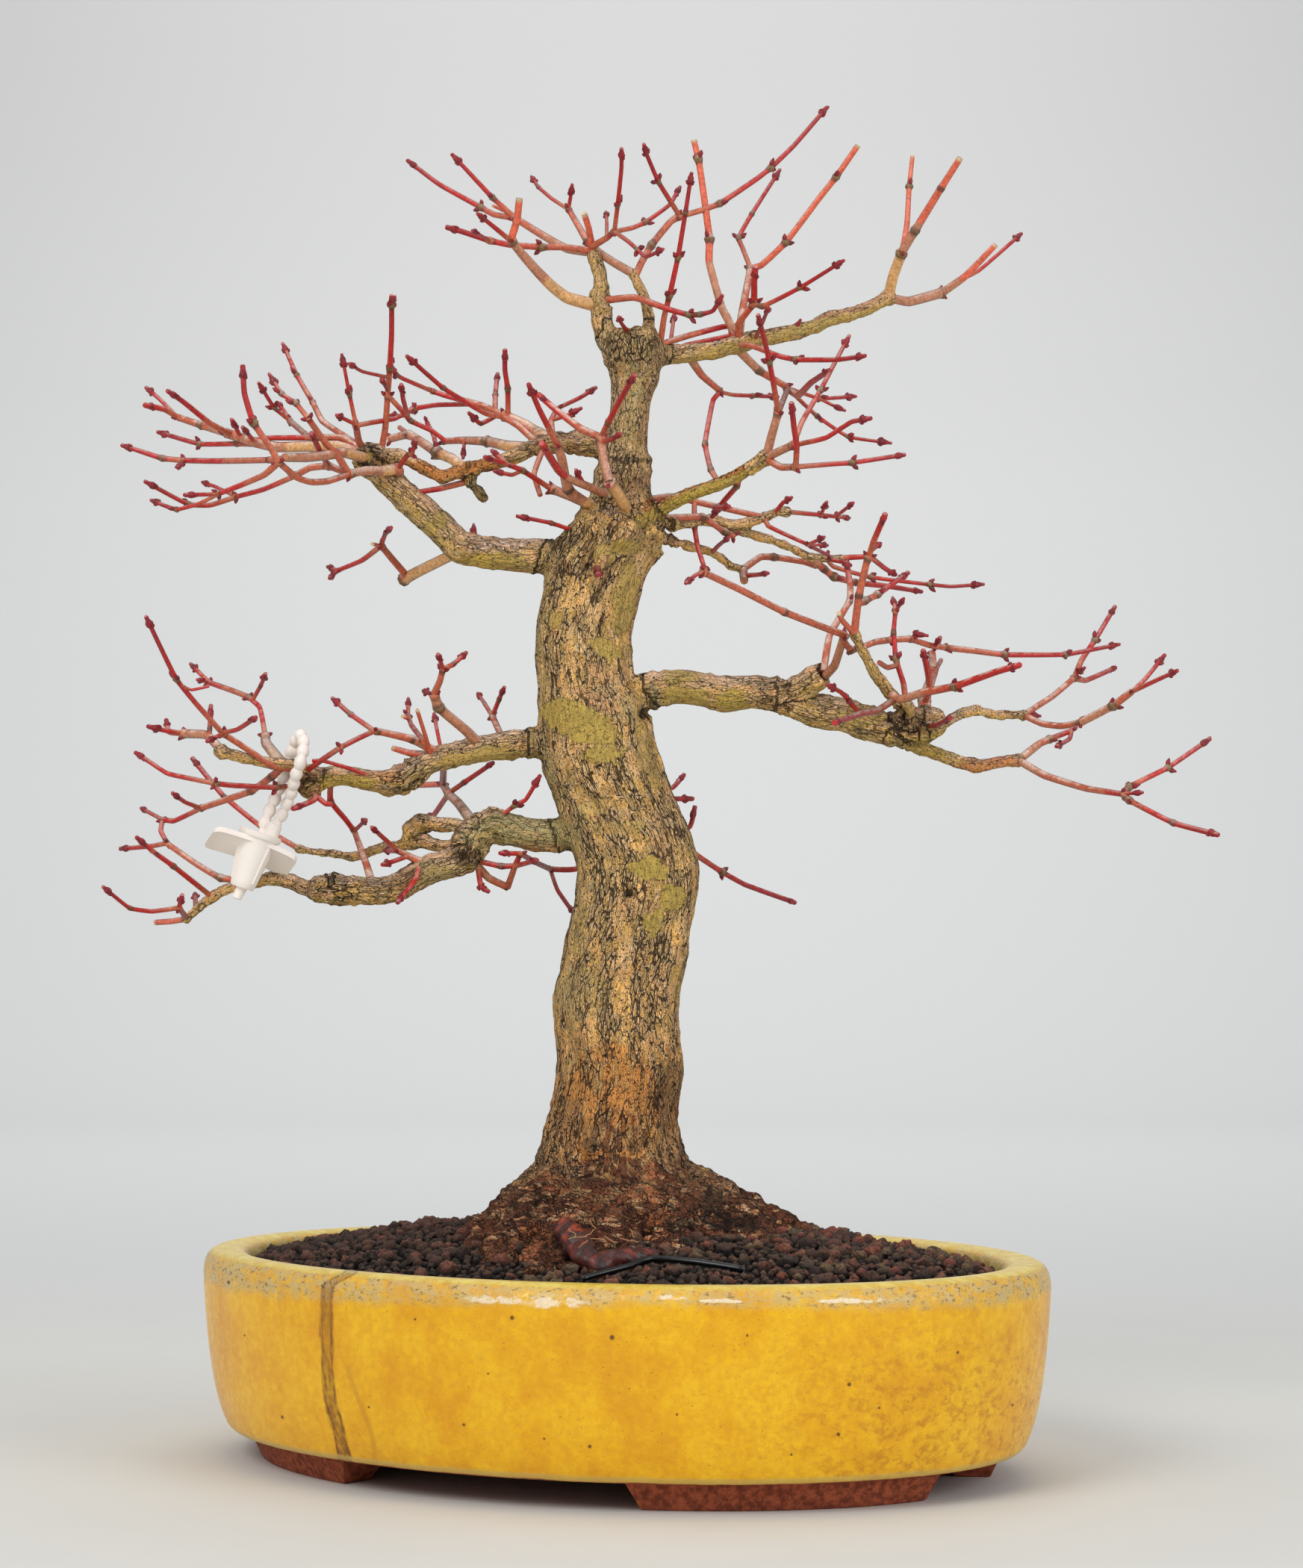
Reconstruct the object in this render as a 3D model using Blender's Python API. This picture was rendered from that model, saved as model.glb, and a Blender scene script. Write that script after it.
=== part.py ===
# A winter maple bonsai in an oval glazed pot: tree, pot, soil, tie wire, drainage screens and a plastic tag.
#
# Sizes are in millimetres and turned into metres by MM. The front of the tree looks along -Y. The origin lies
# on the surface that the feet stand on, under the middle of the whole plant.
# A branch is given as it is seen from the front: x from the middle of the pot and height, and how far it goes
# back (+) or comes forward (-). Its points are then spread along the lines of sight of someone looking at it.
import math

import bpy
import bmesh
from mathutils import Vector

MM = 0.001
CLEARANCE = 0.3                # between two pieces that touch

# Where the plant is looked at from, and the middle of the whole plant from the middle of the pot
EYE_X = 12.0
EYE_Z = 180.0
VIEW_DISTANCE = 1200.0
MIDDLE_X = 12.0
MIDDLE_Y = 0.0

# Pot
POT_TURN = math.radians(-28.0)
POT_HALF_LENGTH = 155.5
POT_HALF_WIDTH = 117.3
POT_HEIGHT = 73.0
FOOT_HEIGHT = 9.6
WALL_SEGMENTS = 48
FLOOR_TOP = 17.0
LIP_WIDTH = 17.3               # from the widest line of the wall to the inner edge of the lip
LIP_START = 64.0               # height where the wall turns into the lip
LIP_POINTS = 8
LIP_SQUARENESS = 3.0           # 2 is a half oval, more is flatter on top
# How far inside the widest line, and height: up the outer wall to the lip, and down the inner wall from it
OUTER_WALL = ((27, 9.4), (13.2, 9.6), (9.2, 11.4), (8, 13.4), (5.9, 19), (2.9, 33), (1.0, 49))
INNER_WALL = ((17.3, 60), (17.6, 36), (20.5, 22), (27, FLOOR_TOP))
FOOT_INSET = 21.0
FOOT_WIDTH = 15.0
FOOT_SEGMENTS = 7
FOOT_SLANT = 0.03              # how much a foot narrows towards the ground, in radians
FOOT_BATTER = 6.0              # how far its outer face leans out
FOOT_OVERLAP = 2.5             # how far it goes up into the floor
SIDE_GAP = math.radians(46.0)  # between the feet, at the middle of a long side
END_GAP = math.radians(29.0)   # between the feet, at an end
DRAIN_SPAN = 62.0              # from the middle of the pot to a drainage hole
DRAIN_RADIUS = 10.0
WIRE_HOLE_RADIUS = 2.6

# Soil
SOIL_EDGE_HEIGHT = 68.5
SOIL_RISE = 14.5
SOIL_RINGS = 7
SOIL_MOULD_TOP = 125.0         # how far up the trunk the soil is cut to fit it
GRIT_HEIGHT = 0.7

# Screens over the drainage holes
SCREEN_SIZE = 32.0
SCREEN_BAR = 1.3
SCREEN_HEIGHT = 1.2
SCREEN_BARS = 4

# Tie wire, seen from the front: x, height, back
WIRE_DIAMETER = 2.2
WIRE_FOOT = 5.0
WIRE_TURN = 34.0
WIRE_LEG_Y = -58.0
WIRE_ROUTE = ((-12, 63.6, -91), (-6, 65.3, -87), (4, 67.9, -81), (12, 70.5, -75), (24, 69.7, -76),
              (34, 68.4, -79), (44, 66.8, -82))

# Tag: strap seen from the front, its beads, and the lock below it
BEAD_DIAMETER = 4.0
BEAD_PITCH = 4.5
STRAP_DIAMETER = 2.4
STRAP_ROUTE = ((-123.2, 216, -15.6), (-121.2, 221.5, -15.2), (-118.4, 226.2, -15), (-115.5, 232.5, -16.2),
               (-113.4, 240.4, -22.4), (-111.6, 245.7, -24.4), (-110.8, 251.4, -21.6), (-112.0, 254.2, -17.4),
               (-113.6, 252.0, -14.0), (-115.6, 247, -12.6), (-118.4, 238.1, -12.2), (-120.5, 232.5, -12.4),
               (-122.9, 227.3, -13), (-124.6, 222, -14.2), (-124.8, 216.4, -15.2))
LOCK_TOP = (-126.4, 217.8, -15.4)
LOCK_END = (-132.2, 201.0, -15.4)
NOZZLE_END = (-134.3, 196.4, -15.4)
COLLAR_RADIUS = 7.6
LOCK_TOP_RADIUS = 6.8
LOCK_END_RADIUS = 4.4
NOZZLE_RADIUS = 2.0
PLATE_LENGTH = 34.0
PLATE_WIDTH = 14.5
PLATE_THICKNESS = 1.1
PLATE_MIDDLE = (-128.6, 213.6, -15.4)
PLATE_LONG_WAY = (0.955, -0.12, -0.27)
PLATE_SAG = 1.6
PLATE_STATIONS = 7

# Trunk: height, left edge and right edge seen from the front, and half its depth
TRUNK_SIDES = 14
TRUNK = ((60, -36, 42, 34), (84, -34, 42, 32), (92, -31.5, 34, 28), (100, -29, 27, 25),
         (112, -26.4, 22.4, 22), (124, -23.4, 21.4, 20), (138, -21.2, 22.8, 20), (160, -22.1, 21.5, 20),
         (178, -19, 24.6, 20), (194, -14.8, 27.4, 19), (208, -14.2, 28.8, 19), (220, -18.6, 25.5, 19),
         (234, -22.8, 19.2, 18), (247, -27.2, 15, 18), (260, -27.8, 11.7, 17), (274, -28, 5.8, 15),
         (290, -29, 4.9, 15), (303, -26.4, 7.6, 15), (314, -25, 12, 16), (323, -22, 17.5, 16),
         (332, -14, 16.5, 14), (342, -10, 11.6, 11), (358, -5, 10.3, 8), (370, -2.4, 10.2, 6.6), (379, -1.2, 12, 7),
         (387, -4, 16, 8), (394, -5.6, 17, 8), (398.5, -3, 13, 6))

# Roots over the soil: back at the start and at the end, start and end width, and the route
ROOTS = (
    (0, -6, 22, 7, "sunk", (12, 104), (26, 95), (42, 88), (56, 82), (72, 74)),
    (-2, -8, 18, 6, "sunk", (-14, 106), (-28, 95), (-40, 86), (-52, 78), (-60, 70)),
    (-8, -48, 15, 6, "sunk", (-12, 100), (-21, 92), (-29, 80), (-36, 70), (-39, 62)),
    (-10, -54, 15, 6, "sunk", (0, 98), (-6, 84), (-9, 74), (-3, 69.6), (10, 66), (18, 60)),
    (6, 58, 18, 6, "sunk", (8, 104), (18, 98), (26, 94), (34, 88), (40, 78)),
    (6, 56, 16, 6, "sunk", (-8, 104), (-16, 97), (-24, 92), (-34, 86), (-40, 76)),
    (6, 44, 14, 6, "sunk", (0, 106), (2, 98), (0, 93), (-4, 84)),
)

# Limbs and shoots: back at the root and at the tip, root and tip width, how it ends, and the route as x and
# height. A third number in a point swells the wood there, as at a ring, a node or a knob.
LIMBS = (
    # upper left limb, bending up to its big pruning scar
    (0, 4, 13, 10, "sunk", (-12, 317), (-24, 317.5), (-35, 318), (-45, 318.8), (-56, 321), (-61, 326.5),
     (-67.5, 332.5), (-75, 338.8), (-81.7, 345.2), (-87, 351.5, 1.35)),
    # right limb, along to the gnarled mass at its end
    (0, -14, 12, 12, "sunk", (2, 269), (10, 270.2), (20, 271.5), (30, 270.4), (38, 268.8, 1.08),
     (50, 269.6), (60, 267.3), (70, 262.8), (80, 261.3), (90, 257.8), (100, 256.6, 1.1), (107, 258, 1.15),
     (111, 258.5)),
    (-6, -6, 10, 9, "cut", (57, 268.5), (64, 271), (69, 274, 1.05), (73.3, 276)),
    # lower left limb one, with the tag, to its scarred knob
    (0, -12, 11.3, 6.5, "knob", (-16, 252), (-27.7, 251.6), (-38, 250.8), (-49.2, 249.2), (-61.7, 246.4),
     (-67.2, 244.6), (-72, 241.2, 1.1), (-76, 238.6, 1.2), (-81, 237.4, 1.25), (-86, 238), (-93, 239.2),
     (-101, 240.4), (-108.7, 236.6, 1.35)),
    # lower left limb two and its long grey and tan ends
    (6, 22, 12, 9.5, "sunk", (-12, 220), (-22, 218.6), (-31, 219.3), (-38, 221.2), (-44, 222.6, 1.12),
     (-49, 220.4, 1.15), (-52.5, 215, 1.25), (-54.5, 210.8, 1.15), (-60, 208.7), (-66, 207.2), (-71, 204.4),
     (-76, 201.2), (-83, 199.4), (-91, 199.4), (-99, 199.6, 1.1), (-104.5, 199.6, 1.1)),
    (22, 34, 5, 2.6, "node", (-54, 216), (-62, 215), (-68.3, 216.6), (-74, 215.6), (-82, 214.9),
     (-87.6, 212.8), (-93.8, 211.4), (-100.1, 212.4), (-106, 213), (-112.6, 214.2, 1.4)),
    (20, 30, 4.2, 6, "sunk", (-50.5, 221.4), (-56.6, 222.5), (-62.8, 222.6), (-68.6, 223.2), (-72.6, 221.8),
     (-73, 217.6)),
    # left middle limb, gnarled, and its orange branch towards the scar
    (0, 10, 9.5, 6, "sunk", (2, 357.5), (-8.2, 357), (-17.3, 358.2), (-26.4, 357.4), (-33, 355.4)),
    (8, 2, 5.6, 4.4, "sunk", (-31, 355.4), (-38.1, 352.4), (-47.5, 350), (-54.4, 348.2), (-62.5, 346),
     (-65.6, 347.6), (-72.4, 351), (-77.6, 353.4), (-84, 353.6)),
    (6, 8, 4.6, 3.8, "knob", (-52, 349), (-52.2, 344.6, 1.15), (-49.2, 340.8), (-47.3, 338.4)),
    # head of the trunk with its two leaders and the top right limb
    (0, 4, 9.6, 4.4, "knob", (2, 390), (-3.6, 395), (-5.6, 401), (-6.6, 409, 1.1), (-5.8, 413), (-6.4, 419),
     (-9, 426.4)),
    (0, -6, 5.4, 3.2, "sunk", (10.6, 391), (11, 401), (10.4, 407), (8.4, 412), (5.5, 418.6, 1.3)),
    (0, 18, 7.4, 4.6, "node", (10, 389), (24.4, 390.2), (34, 391), (41.5, 393, 1.12), (50.3, 395.4),
     (65.4, 398.2), (74.9, 402.2, 1.15), (84.3, 404.4), (93.5, 408.4), (96.2, 410.2, 1.45)),
    # orange right limb in front, its base knobs, and the tan limbs behind it
    (-4, -26, 5.6, 4.6, "node", (8, 328), (12.6, 333), (19.6, 337.2), (30.3, 341.5), (40.2, 345.3),
     (49, 350.4), (52.6, 352.8, 1.4)),
    (4, 30, 3.8, 3.4, "node", (12, 330), (23.6, 329.4), (33, 331), (39.6, 329, 1.25), (47, 330),
     (52, 331.6), (57, 333.4), (60, 333.6, 1.3)),
    (6, 52, 3.8, 2.6, "node", (30.5, 330.8), (38, 329), (45, 326.2), (58.4, 322, 1.2), (63.1, 320),
     (68.2, 317.4, 1.3), (74, 316.9), (80, 317)),
    (6, 40, 4, 2.8, "node", (13, 325.4), (20, 323.4), (25, 321.4, 1.2), (32, 319.6), (36, 317.4),
     (39.7, 314.2, 1.2), (44.4, 313, 1.5)),
    # olive limb that hangs to the right, and the tan one above it
    (-12, 16, 5.4, 4, "node", (97, 253.5), (106, 250.4), (117.9, 245.7), (126.2, 243.5, 1.25), (132, 244.3),
     (141.6, 245.4, 1.35)),
    (-12, 40, 4, 3, "node", (108, 256.4), (115.6, 258.7), (121, 261.8), (126.4, 262.8, 1.3), (133, 261.5),
     (143.4, 261.4, 1.5)),
    (-14, -34, 5, 3.4, "node", (104, 259), (101, 264), (96, 269.6), (92.6, 274, 1.15), (86.7, 284),
     (83.7, 290.2, 1.3)),
    # branch behind the trunk that carries the shoots seen on both its sides
    (12, 74, 9, 4.6, "knob", (3, 221), (5, 226), (7, 231, 1.1), (4, 237), (2, 241)),
    # outer ends of the two lower left limbs
    (-12, -34, 5, 4, "node", (-104.5, 240.6), (-114.7, 243.6), (-121.8, 244.2), (-131, 246),
     (-139.6, 248.4, 1.5)),
    (22, 6, 6, 3, "knob", (-101.5, 200), (-108, 199.6, 1.1), (-114.4, 202.2), (-120, 204, 1.15),
     (-128, 202.4), (-135, 200.8), (-141.4, 198.2), (-146, 194.6), (-152, 189.6, 1.5)),
)

SHOOTS = (
    # from the top of the left leader
    (2, -22, 4.6, 2.8, "node", (-12, 407), (-18, 410), (-23.3, 414), (-28.5, 419.3), (-33.7, 425.2),
     (-38, 430.6, 1.5)),
    (-22, -28, 2.6, 2.4, "cut", (-37.6, 431.6), (-35.8, 438), (-35, 445.6)),
    (-22, -40, 1.8, 1.4, "bud", (-39.4, 430.8), (-44, 435.3), (-50, 440.2)),
    (4, 34, 3, 2.4, "node", (-9, 425.6), (-18, 427.5), (-27, 432.5), (-36.8, 438.7, 1.7)),
    (34, 62, 2, 1.5, "bud", (-37.6, 438.2), (-44.1, 439.8), (-48.6, 442.3, 1.5), (-63.5, 450.6),
     (-75, 459.3)),
    (34, 30, 1.9, 1.4, "bud", (-37.4, 439.8), (-44.7, 446, 1.5), (-53.8, 455.8), (-59.3, 461.7)),
    (34, 40, 1.3, 1, "cut", (-38.4, 439.8), (-44.5, 443)),
    (-6, 4, 3, 2.6, "sunk", (5.5, 418.6, 1.2), (-1.3, 422.5), (-6.5, 426), (-11.4, 430.4, 1.3)),
    (4, -14, 2.4, 1.9, "bud", (-10, 427.6), (-19.4, 428.1), (-27.2, 428.1, 1.5), (-38.2, 428.9),
     (-45.4, 430.4, 1.4), (-55.1, 433.6), (-61.2, 435.3)),
    (-8, -30, 1.1, 1, "bud", (-45.2, 430.2), (-48.6, 432.3), (-51.8, 434.2)),
    (4, 18, 2.4, 1.9, "node", (-11, 429.4), (-14.3, 436.2), (-17.6, 441.8, 1.6)),
    (18, 46, 1.5, 1.2, "bud", (-18, 441.6), (-23.3, 445.4), (-28.2, 449.6, 1.4), (-30.8, 453.5)),
    (18, 10, 1.4, 1.2, "bud", (-17.4, 441.8), (-16.7, 446.7), (-16.2, 450.8)),
    (2, -6, 2.4, 2.2, "cut", (-8.4, 427.6), (-10.4, 435), (-12, 440.3)),
    (2, -12, 2.4, 1.9, "node", (-9, 428.2), (-3.9, 431.4), (-1.2, 433.8, 1.6)),
    (-12, -42, 1.6, 1.4, "bud", (-1.2, 434), (0, 443.4, 1.5), (1.3, 456.5), (1.3, 463.7)),
    (-6, 14, 1.3, 1.1, "bud", (-4, 432), (-3.9, 437), (-4.2, 440.8)),
    (-12, 18, 1.7, 1.4, "bud", (-1, 433.4), (5.2, 435), (9.8, 437, 1.5), (18.5, 443.4), (22.2, 449.8)),
    (-12, -54, 1.6, 1.3, "bud", (-1, 433.4), (3.9, 430), (7.1, 427.1, 1.5), (10, 424.6), (16.2, 427.4)),
    (-6, 8, 2.6, 2.2, "node", (5.5, 417.6), (8.4, 422.5), (12, 428.8, 1.4), (18.8, 437.2),
     (22.2, 439.4, 1.7)),
    (8, -26, 1.8, 1.4, "bud", (21.6, 439), (16.8, 447.6), (14.3, 451.8, 1.5), (10.2, 461.6), (9.2, 465.2)),
    (8, 30, 2, 1.5, "bud", (22.4, 438.8), (30.7, 441.6), (36.4, 443.8, 1.5), (49.6, 452.7),
     (54.4, 456.5, 1.6), (62.9, 464.8), (74.9, 478.8)),
    (-2, -34, 2.2, 1.4, "bud", (14, 393), (16.5, 403), (18.4, 410.7, 1.5), (21.4, 424.4, 1.5),
     (24.1, 440.6, 1.4), (26.3, 455)),
    (4, -30, 2.6, 1.4, "bud", (-4, 408.6), (6, 410), (18.7, 405.6), (25.5, 403.8, 1.5), (29.4, 404, 1.4),
     (33.8, 405.3), (37.3, 411)),
    (-4, -24, 1.5, 1.2, "bud", (4.6, 396.6), (1.5, 400.5), (0.3, 403.2)),
    # along the top right limb
    (2, 14, 3, 2.2, "cut", (42, 394), (40.2, 400), (37, 406.3), (32.5, 422.8), (32.6, 431, 1.6),
     (29.7, 453.3), (28.7, 459.7, 1.5), (27.1, 466.4)),
    (4, 30, 2.8, 2.4, "node", (43, 396), (44, 403.7), (47.2, 420.6, 1.6)),
    (30, 58, 1.7, 1.3, "bud", (47, 420.4), (44.3, 427.9), (43, 431.4, 1.5), (47.7, 440, 1.4), (57.8, 456)),
    (30, 22, 2.2, 2, "cut", (47.6, 420.4), (50.9, 421.5), (59.7, 429.8, 1.5), (71.7, 445.7),
     (77.7, 453.3, 1.5), (85.5, 464.6)),
    (2, -16, 2.6, 2, "bud", (43.4, 395), (43.3, 401.2), (48.2, 408, 1.5), (48.5, 415.8), (49, 421)),
    (-10, -38, 1.8, 1.3, "bud", (48, 407.2), (51.5, 406.9, 1.4), (64.8, 413.6, 1.5), (80.5, 423.4)),
    (-4, -30, 1.6, 1.3, "bud", (49, 395), (52.1, 402.8), (53.7, 406.4)),
    (-2, -46, 2, 1.6, "bud", (41, 392.6), (47.1, 392.9), (57.2, 389.1), (63.4, 387.8, 1.6), (78, 387.8),
     (88, 389.2)),
    (0, 12, 1.8, 1.5, "sunk", (18, 391.6), (24.4, 393), (32.6, 394.8), (40, 396.4)),
    (0, 22, 2.2, 1.8, "sunk", (17, 393.4), (26.3, 396.7), (37.6, 399.6), (43, 400)),
    (0, 16, 1.6, 1.2, "bud", (18.6, 392), (19.8, 401.8, 1.4), (20.3, 404.8)),
    (8, 8, 1.4, 1, "bud", (61.6, 398.4), (65.1, 402.3)),
    (18, 6, 3.9, 3.6, "node", (95.8, 410), (98, 418), (101.1, 426.4, 1.4)),
    (6, 28, 2.2, 1.5, "cut", (101.4, 427), (102.8, 436), (103.7, 449.8, 1.8), (104.9, 460.6)),
    (6, -14, 3, 2.1, "cut", (101.4, 427), (105.8, 434.2, 1.3), (115, 449.2, 1.2), (121.9, 460.1)),
    (18, 34, 3.2, 3.4, "node", (97, 409.4), (103.2, 408.6), (115.4, 411.8, 1.4)),
    (34, 26, 2.9, 2, "cut", (115, 411.6), (123.3, 417.5), (134.4, 429)),
    (30, 56, 1.4, 1.4, "bud", (122.8, 416.4), (128.5, 419.8), (143.6, 433)),
    # under the top right limb
    (2, 16, 3, 2, "node", (25, 389.4), (29.9, 382.2), (36.6, 376.4, 1.4)),
    (16, 42, 1.4, 1.4, "bud", (35.4, 376), (41, 375.2), (48, 374.9, 1.5), (57, 374.5)),
    (-12, 14, 1.9, 1.7, "node", (36, 343.6), (33, 348.6, 1.4), (31, 357.4, 1.4), (31.6, 362),
     (33.9, 373.4, 1.6)),
    (4, 20, 3.2, 2.2, "node", (43, 390.4), (50.2, 383.9, 1.3), (60.1, 378, 1.5)),
    (20, 48, 1.4, 1.3, "bud", (59.6, 377.6), (71.5, 374, 1.5), (84.6, 374.7)),
    (36, 30, 1.1, 1.1, "bud", (70.8, 374), (76.9, 371.2), (80.9, 369.5)),
    (20, 4, 1.5, 1.1, "bud", (60, 377.6), (70.8, 367.6, 1.7), (81.8, 360.3, 1.5), (97.2, 358)),
    (18, -22, 2.4, 1.9, "bud", (60.6, 377), (64, 375), (68.5, 379.5), (75.2, 384)),
    # on the orange right limb
    (-26, -34, 3.2, 2.8, "node", (52.6, 352.6), (54.7, 361), (57, 369.2, 1.3)),
    (-34, -70, 2, 1.7, "bud", (56.8, 369), (55.5, 377.9), (53.8, 387.1, 1.5), (52.8, 391.8), (49.8, 404)),
    (-34, -24, 2.2, 2, "sunk", (57.2, 369), (60.4, 377.6)),
    (-26, -40, 2.8, 2.2, "node", (52.8, 352), (57.8, 349.5), (63.2, 349.5, 1.7)),
    (-40, -24, 1.8, 1.5, "bud", (63, 349.5), (75.4, 350.5), (83, 351, 1.6), (102, 353.9)),
    (-26, -42, 3, 2.8, "node", (53, 353), (58.6, 355.7), (62.6, 357.4, 1.4)),
    (-41, -66, 1.8, 1.7, "bud", (62.4, 357), (73.8, 359.9), (83, 365.6), (90, 366.9)),
    (-42, -10, 1.9, 1.4, "bud", (62.2, 358.4), (65.4, 365.6), (71.9, 376.8, 1.6), (76.9, 386.4),
     (82.3, 396.5)),
    (-40, -60, 2, 1.9, "bud", (63.1, 350), (63.5, 357), (62.6, 363), (61.6, 372.6)),
    (-10, 6, 2, 1.7, "bud", (44.8, 346), (42.2, 342.7, 1.4), (37.5, 337.2), (33.4, 331.6)),
    (-16, -20, 1.8, 1.6, "bud", (35.6, 336.4), (34.2, 335), (39.6, 335.4)),
    # pink and tan twigs behind the orange limb
    (4, 24, 2.4, 2, "sunk", (12, 338.4), (19, 339), (27.3, 337.2), (43.3, 333.5), (53, 331.4)),
    (-2, 14, 2.8, 2, "node", (14, 331), (23, 331.4), (30.1, 331.6, 1.3), (37.8, 326.4, 1.4), (41.5, 324.7)),
    (24, 2, 1.8, 1.6, "node", (27, 336.6), (27.2, 328.4, 1.4), (28.4, 321), (30.7, 313.6)),
    (30, 58, 1.7, 1.4, "node", (60, 333.4), (71.9, 332.4, 1.7), (77.6, 331.8, 1.3)),
    (58, 70, 1.3, 1.2, "bud", (76.6, 331.8), (82.2, 331.3)),
    (58, 44, 1.3, 1.2, "bud", (77, 331.8), (83.6, 336.8)),
    (48, 40, 1.3, 1.2, "bud", (72, 332), (74.2, 337.2)),
    (26, 14, 1.6, 1.3, "bud", (56, 333), (58.6, 336.8), (61.8, 338.7)),
    (26, 6, 1.7, 1.4, "node", (51.6, 331), (53.5, 328.4), (67.5, 321.8, 1.6)),
    (8, -6, 1.4, 1.2, "bud", (67, 321.8), (73.3, 324.6)),
    (8, 20, 1, 1, "bud", (67, 321.8), (74.5, 321.6)),
    (8, 34, 1.4, 1.3, "node", (67, 321.8), (74.7, 318, 1.2)),
    (50, 24, 2, 1.7, "sunk", (78, 317), (84, 317.4), (89, 317.6)),
    (46, 72, 2.7, 1.5, "bud", (68, 317.4), (73, 313.2, 1.2), (76.7, 310.4, 1.5), (84.3, 308.4, 1.3),
     (94.6, 307.2), (107.8, 305.1)),
    (50, 62, 1.6, 1.2, "bud", (73.6, 316.8), (76.3, 314.1), (89.5, 310.3, 1.5), (110.2, 307.7, 1.7),
     (118, 307), (129.8, 307.8)),
    (50, 34, 1.5, 1.5, "bud", (73.6, 316.6), (80, 315.6), (82.6, 314.4)),
    (40, 56, 2.5, 1.9, "node", (43.6, 312.8), (50.6, 317.4), (55.4, 317.4, 1.4), (65.9, 315.7),
     (70.6, 314)),
    (40, 30, 3, 2.8, "knob", (44.4, 313.4), (44.8, 309)),
    (34, 20, 1.8, 1.4, "bud", (44.6, 310.2), (49.9, 311.2), (53.4, 311.7)),
    (22, 8, 1.6, 1.3, "bud", (33.4, 319.4), (36, 321.8), (39.4, 324.4)),
    # from the cut stump and the end of the right limb
    (-6, 12, 2.6, 2.2, "node", (71.4, 278), (75, 289.7), (79.6, 297.6), (82.3, 302.2, 1.4)),
    (12, 22, 2.2, 1.9, "bud", (82.3, 302), (82.3, 307.5), (80.9, 315.8)),
    (-6, -30, 3, 2.8, "node", (74, 274), (76.7, 279), (80.2, 289.8, 1.5)),
    (-30, -84, 2.5, 2.5, "node", (80.2, 289.8), (74.6, 291.8), (59, 297.9, 1.25), (43.4, 305.8),
     (30, 312.2, 2)),
    (-84, -98, 1.5, 1.4, "bud", (30.4, 312), (27.6, 311), (24, 308)),
    (-28, 4, 2.2, 2.2, "node", (80, 287), (82.6, 284.4, 1.5), (91, 287.2), (97, 288.1, 1.4)),
    (4, 26, 2.2, 2, "node", (97, 288.1), (103.4, 288.3, 1.3), (110.4, 286.1), (116.6, 285.2, 1.5)),
    (26, 64, 2.2, 1.3, "bud", (116.6, 285.2), (124.6, 284.3), (136.6, 282.8, 1.6), (158.1, 282.8, 1.7),
     (165.6, 284.1), (177.6, 286.5)),
    (20, 14, 1.6, 1.5, "bud", (112.4, 285.8), (114.2, 289)),
    (12, 10, 1.2, 1.1, "bud", (104, 288.6), (106.6, 289.8), (110, 289.5)),
    (-34, -44, 2.8, 2.4, "node", (83.8, 290), (84.2, 294.7), (85.4, 303.8, 1.2), (88, 314.9),
     (89.1, 318, 1.8)),
    (-44, -60, 2.2, 2.1, "bud", (89, 318), (90.6, 322.9), (94.9, 332.9)),
    (-48, -34, 1.3, 1.2, "bud", (90.2, 319.4), (93.2, 322.4)),
    (-44, -20, 1.8, 1.7, "bud", (89.2, 317.4), (94.6, 313.4), (98.4, 311.1)),
    (-34, -50, 2, 1.8, "cut", (83.4, 290.4), (79.6, 294.7), (78.2, 297.5)),
    (-38, -18, 2.4, 1.7, "bud", (85, 301), (87.6, 301.9, 1.4), (92, 304.2, 1.5), (96.1, 307.1), (103, 312)),
    (-14, -2, 2.2, 1.5, "node", (103.4, 262), (101, 272.6), (98.4, 281, 1.5), (97.9, 286.8),
     (97.6, 290.6, 1.3), (98.3, 298.4, 1.6)),
    (-2, 6, 1.4, 1.2, "bud", (98.2, 298), (97.3, 303.2)),
    (-2, -12, 1.4, 1.2, "bud", (98.4, 298), (101.3, 302.8)),
    (-8, -20, 1.8, 1.8, "knob", (98.6, 278.4), (95.4, 278.2), (92.5, 280)),
    (-8, -24, 1.8, 1.5, "bud", (88, 260.6), (81.8, 266.5, 1.5), (79, 269.4), (73.8, 272.3)),
    (-30, -92, 2.4, 2.2, "bud", (98.4, 266.4), (91.7, 263), (86.1, 261.9), (76.6, 258.6)),
    (-16, -62, 3, 2.2, "bud", (95, 268.4), (100, 267), (107.4, 269.2), (119.3, 271.6, 1.6), (133.5, 276.6),
     (142.4, 279.2)),
    (-10, 24, 5, 2.2, "node", (109.4, 256), (108.4, 266.6, 1.2), (111.4, 276.4, 1.2), (111.2, 284)),
    (-12, -20, 2.4, 2, "bud", (108.4, 266), (110.2, 271), (109.7, 276.3), (108, 284.4)),
    (4, 34, 2, 1.6, "cut", (110.8, 272.6), (112.4, 277.4, 1.3), (114.3, 280.8)),
    (-12, -34, 2, 1.8, "bud", (109, 257.4), (113, 257.8), (117.6, 260.4)),
    # ends of the hanging olive limb
    (16, 30, 3, 2.4, "node", (141.6, 245.6), (149.1, 251.3), (153, 253, 1.5)),
    (30, 40, 2, 1.8, "node", (152.8, 253), (160.4, 255.9, 1.3)),
    (38, 20, 1.6, 1.5, "bud", (160, 255.8), (159.6, 253), (154.8, 250.2)),
    (16, -36, 2.9, 1.9, "node", (141.8, 245), (150.6, 240.1), (165.5, 235.4), (178.4, 233.4, 1.3)),
    (-36, -18, 2, 1.7, "bud", (178.4, 233.2), (180.6, 236, 1.6), (194.2, 242.8, 1.5), (209.6, 253.3)),
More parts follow.
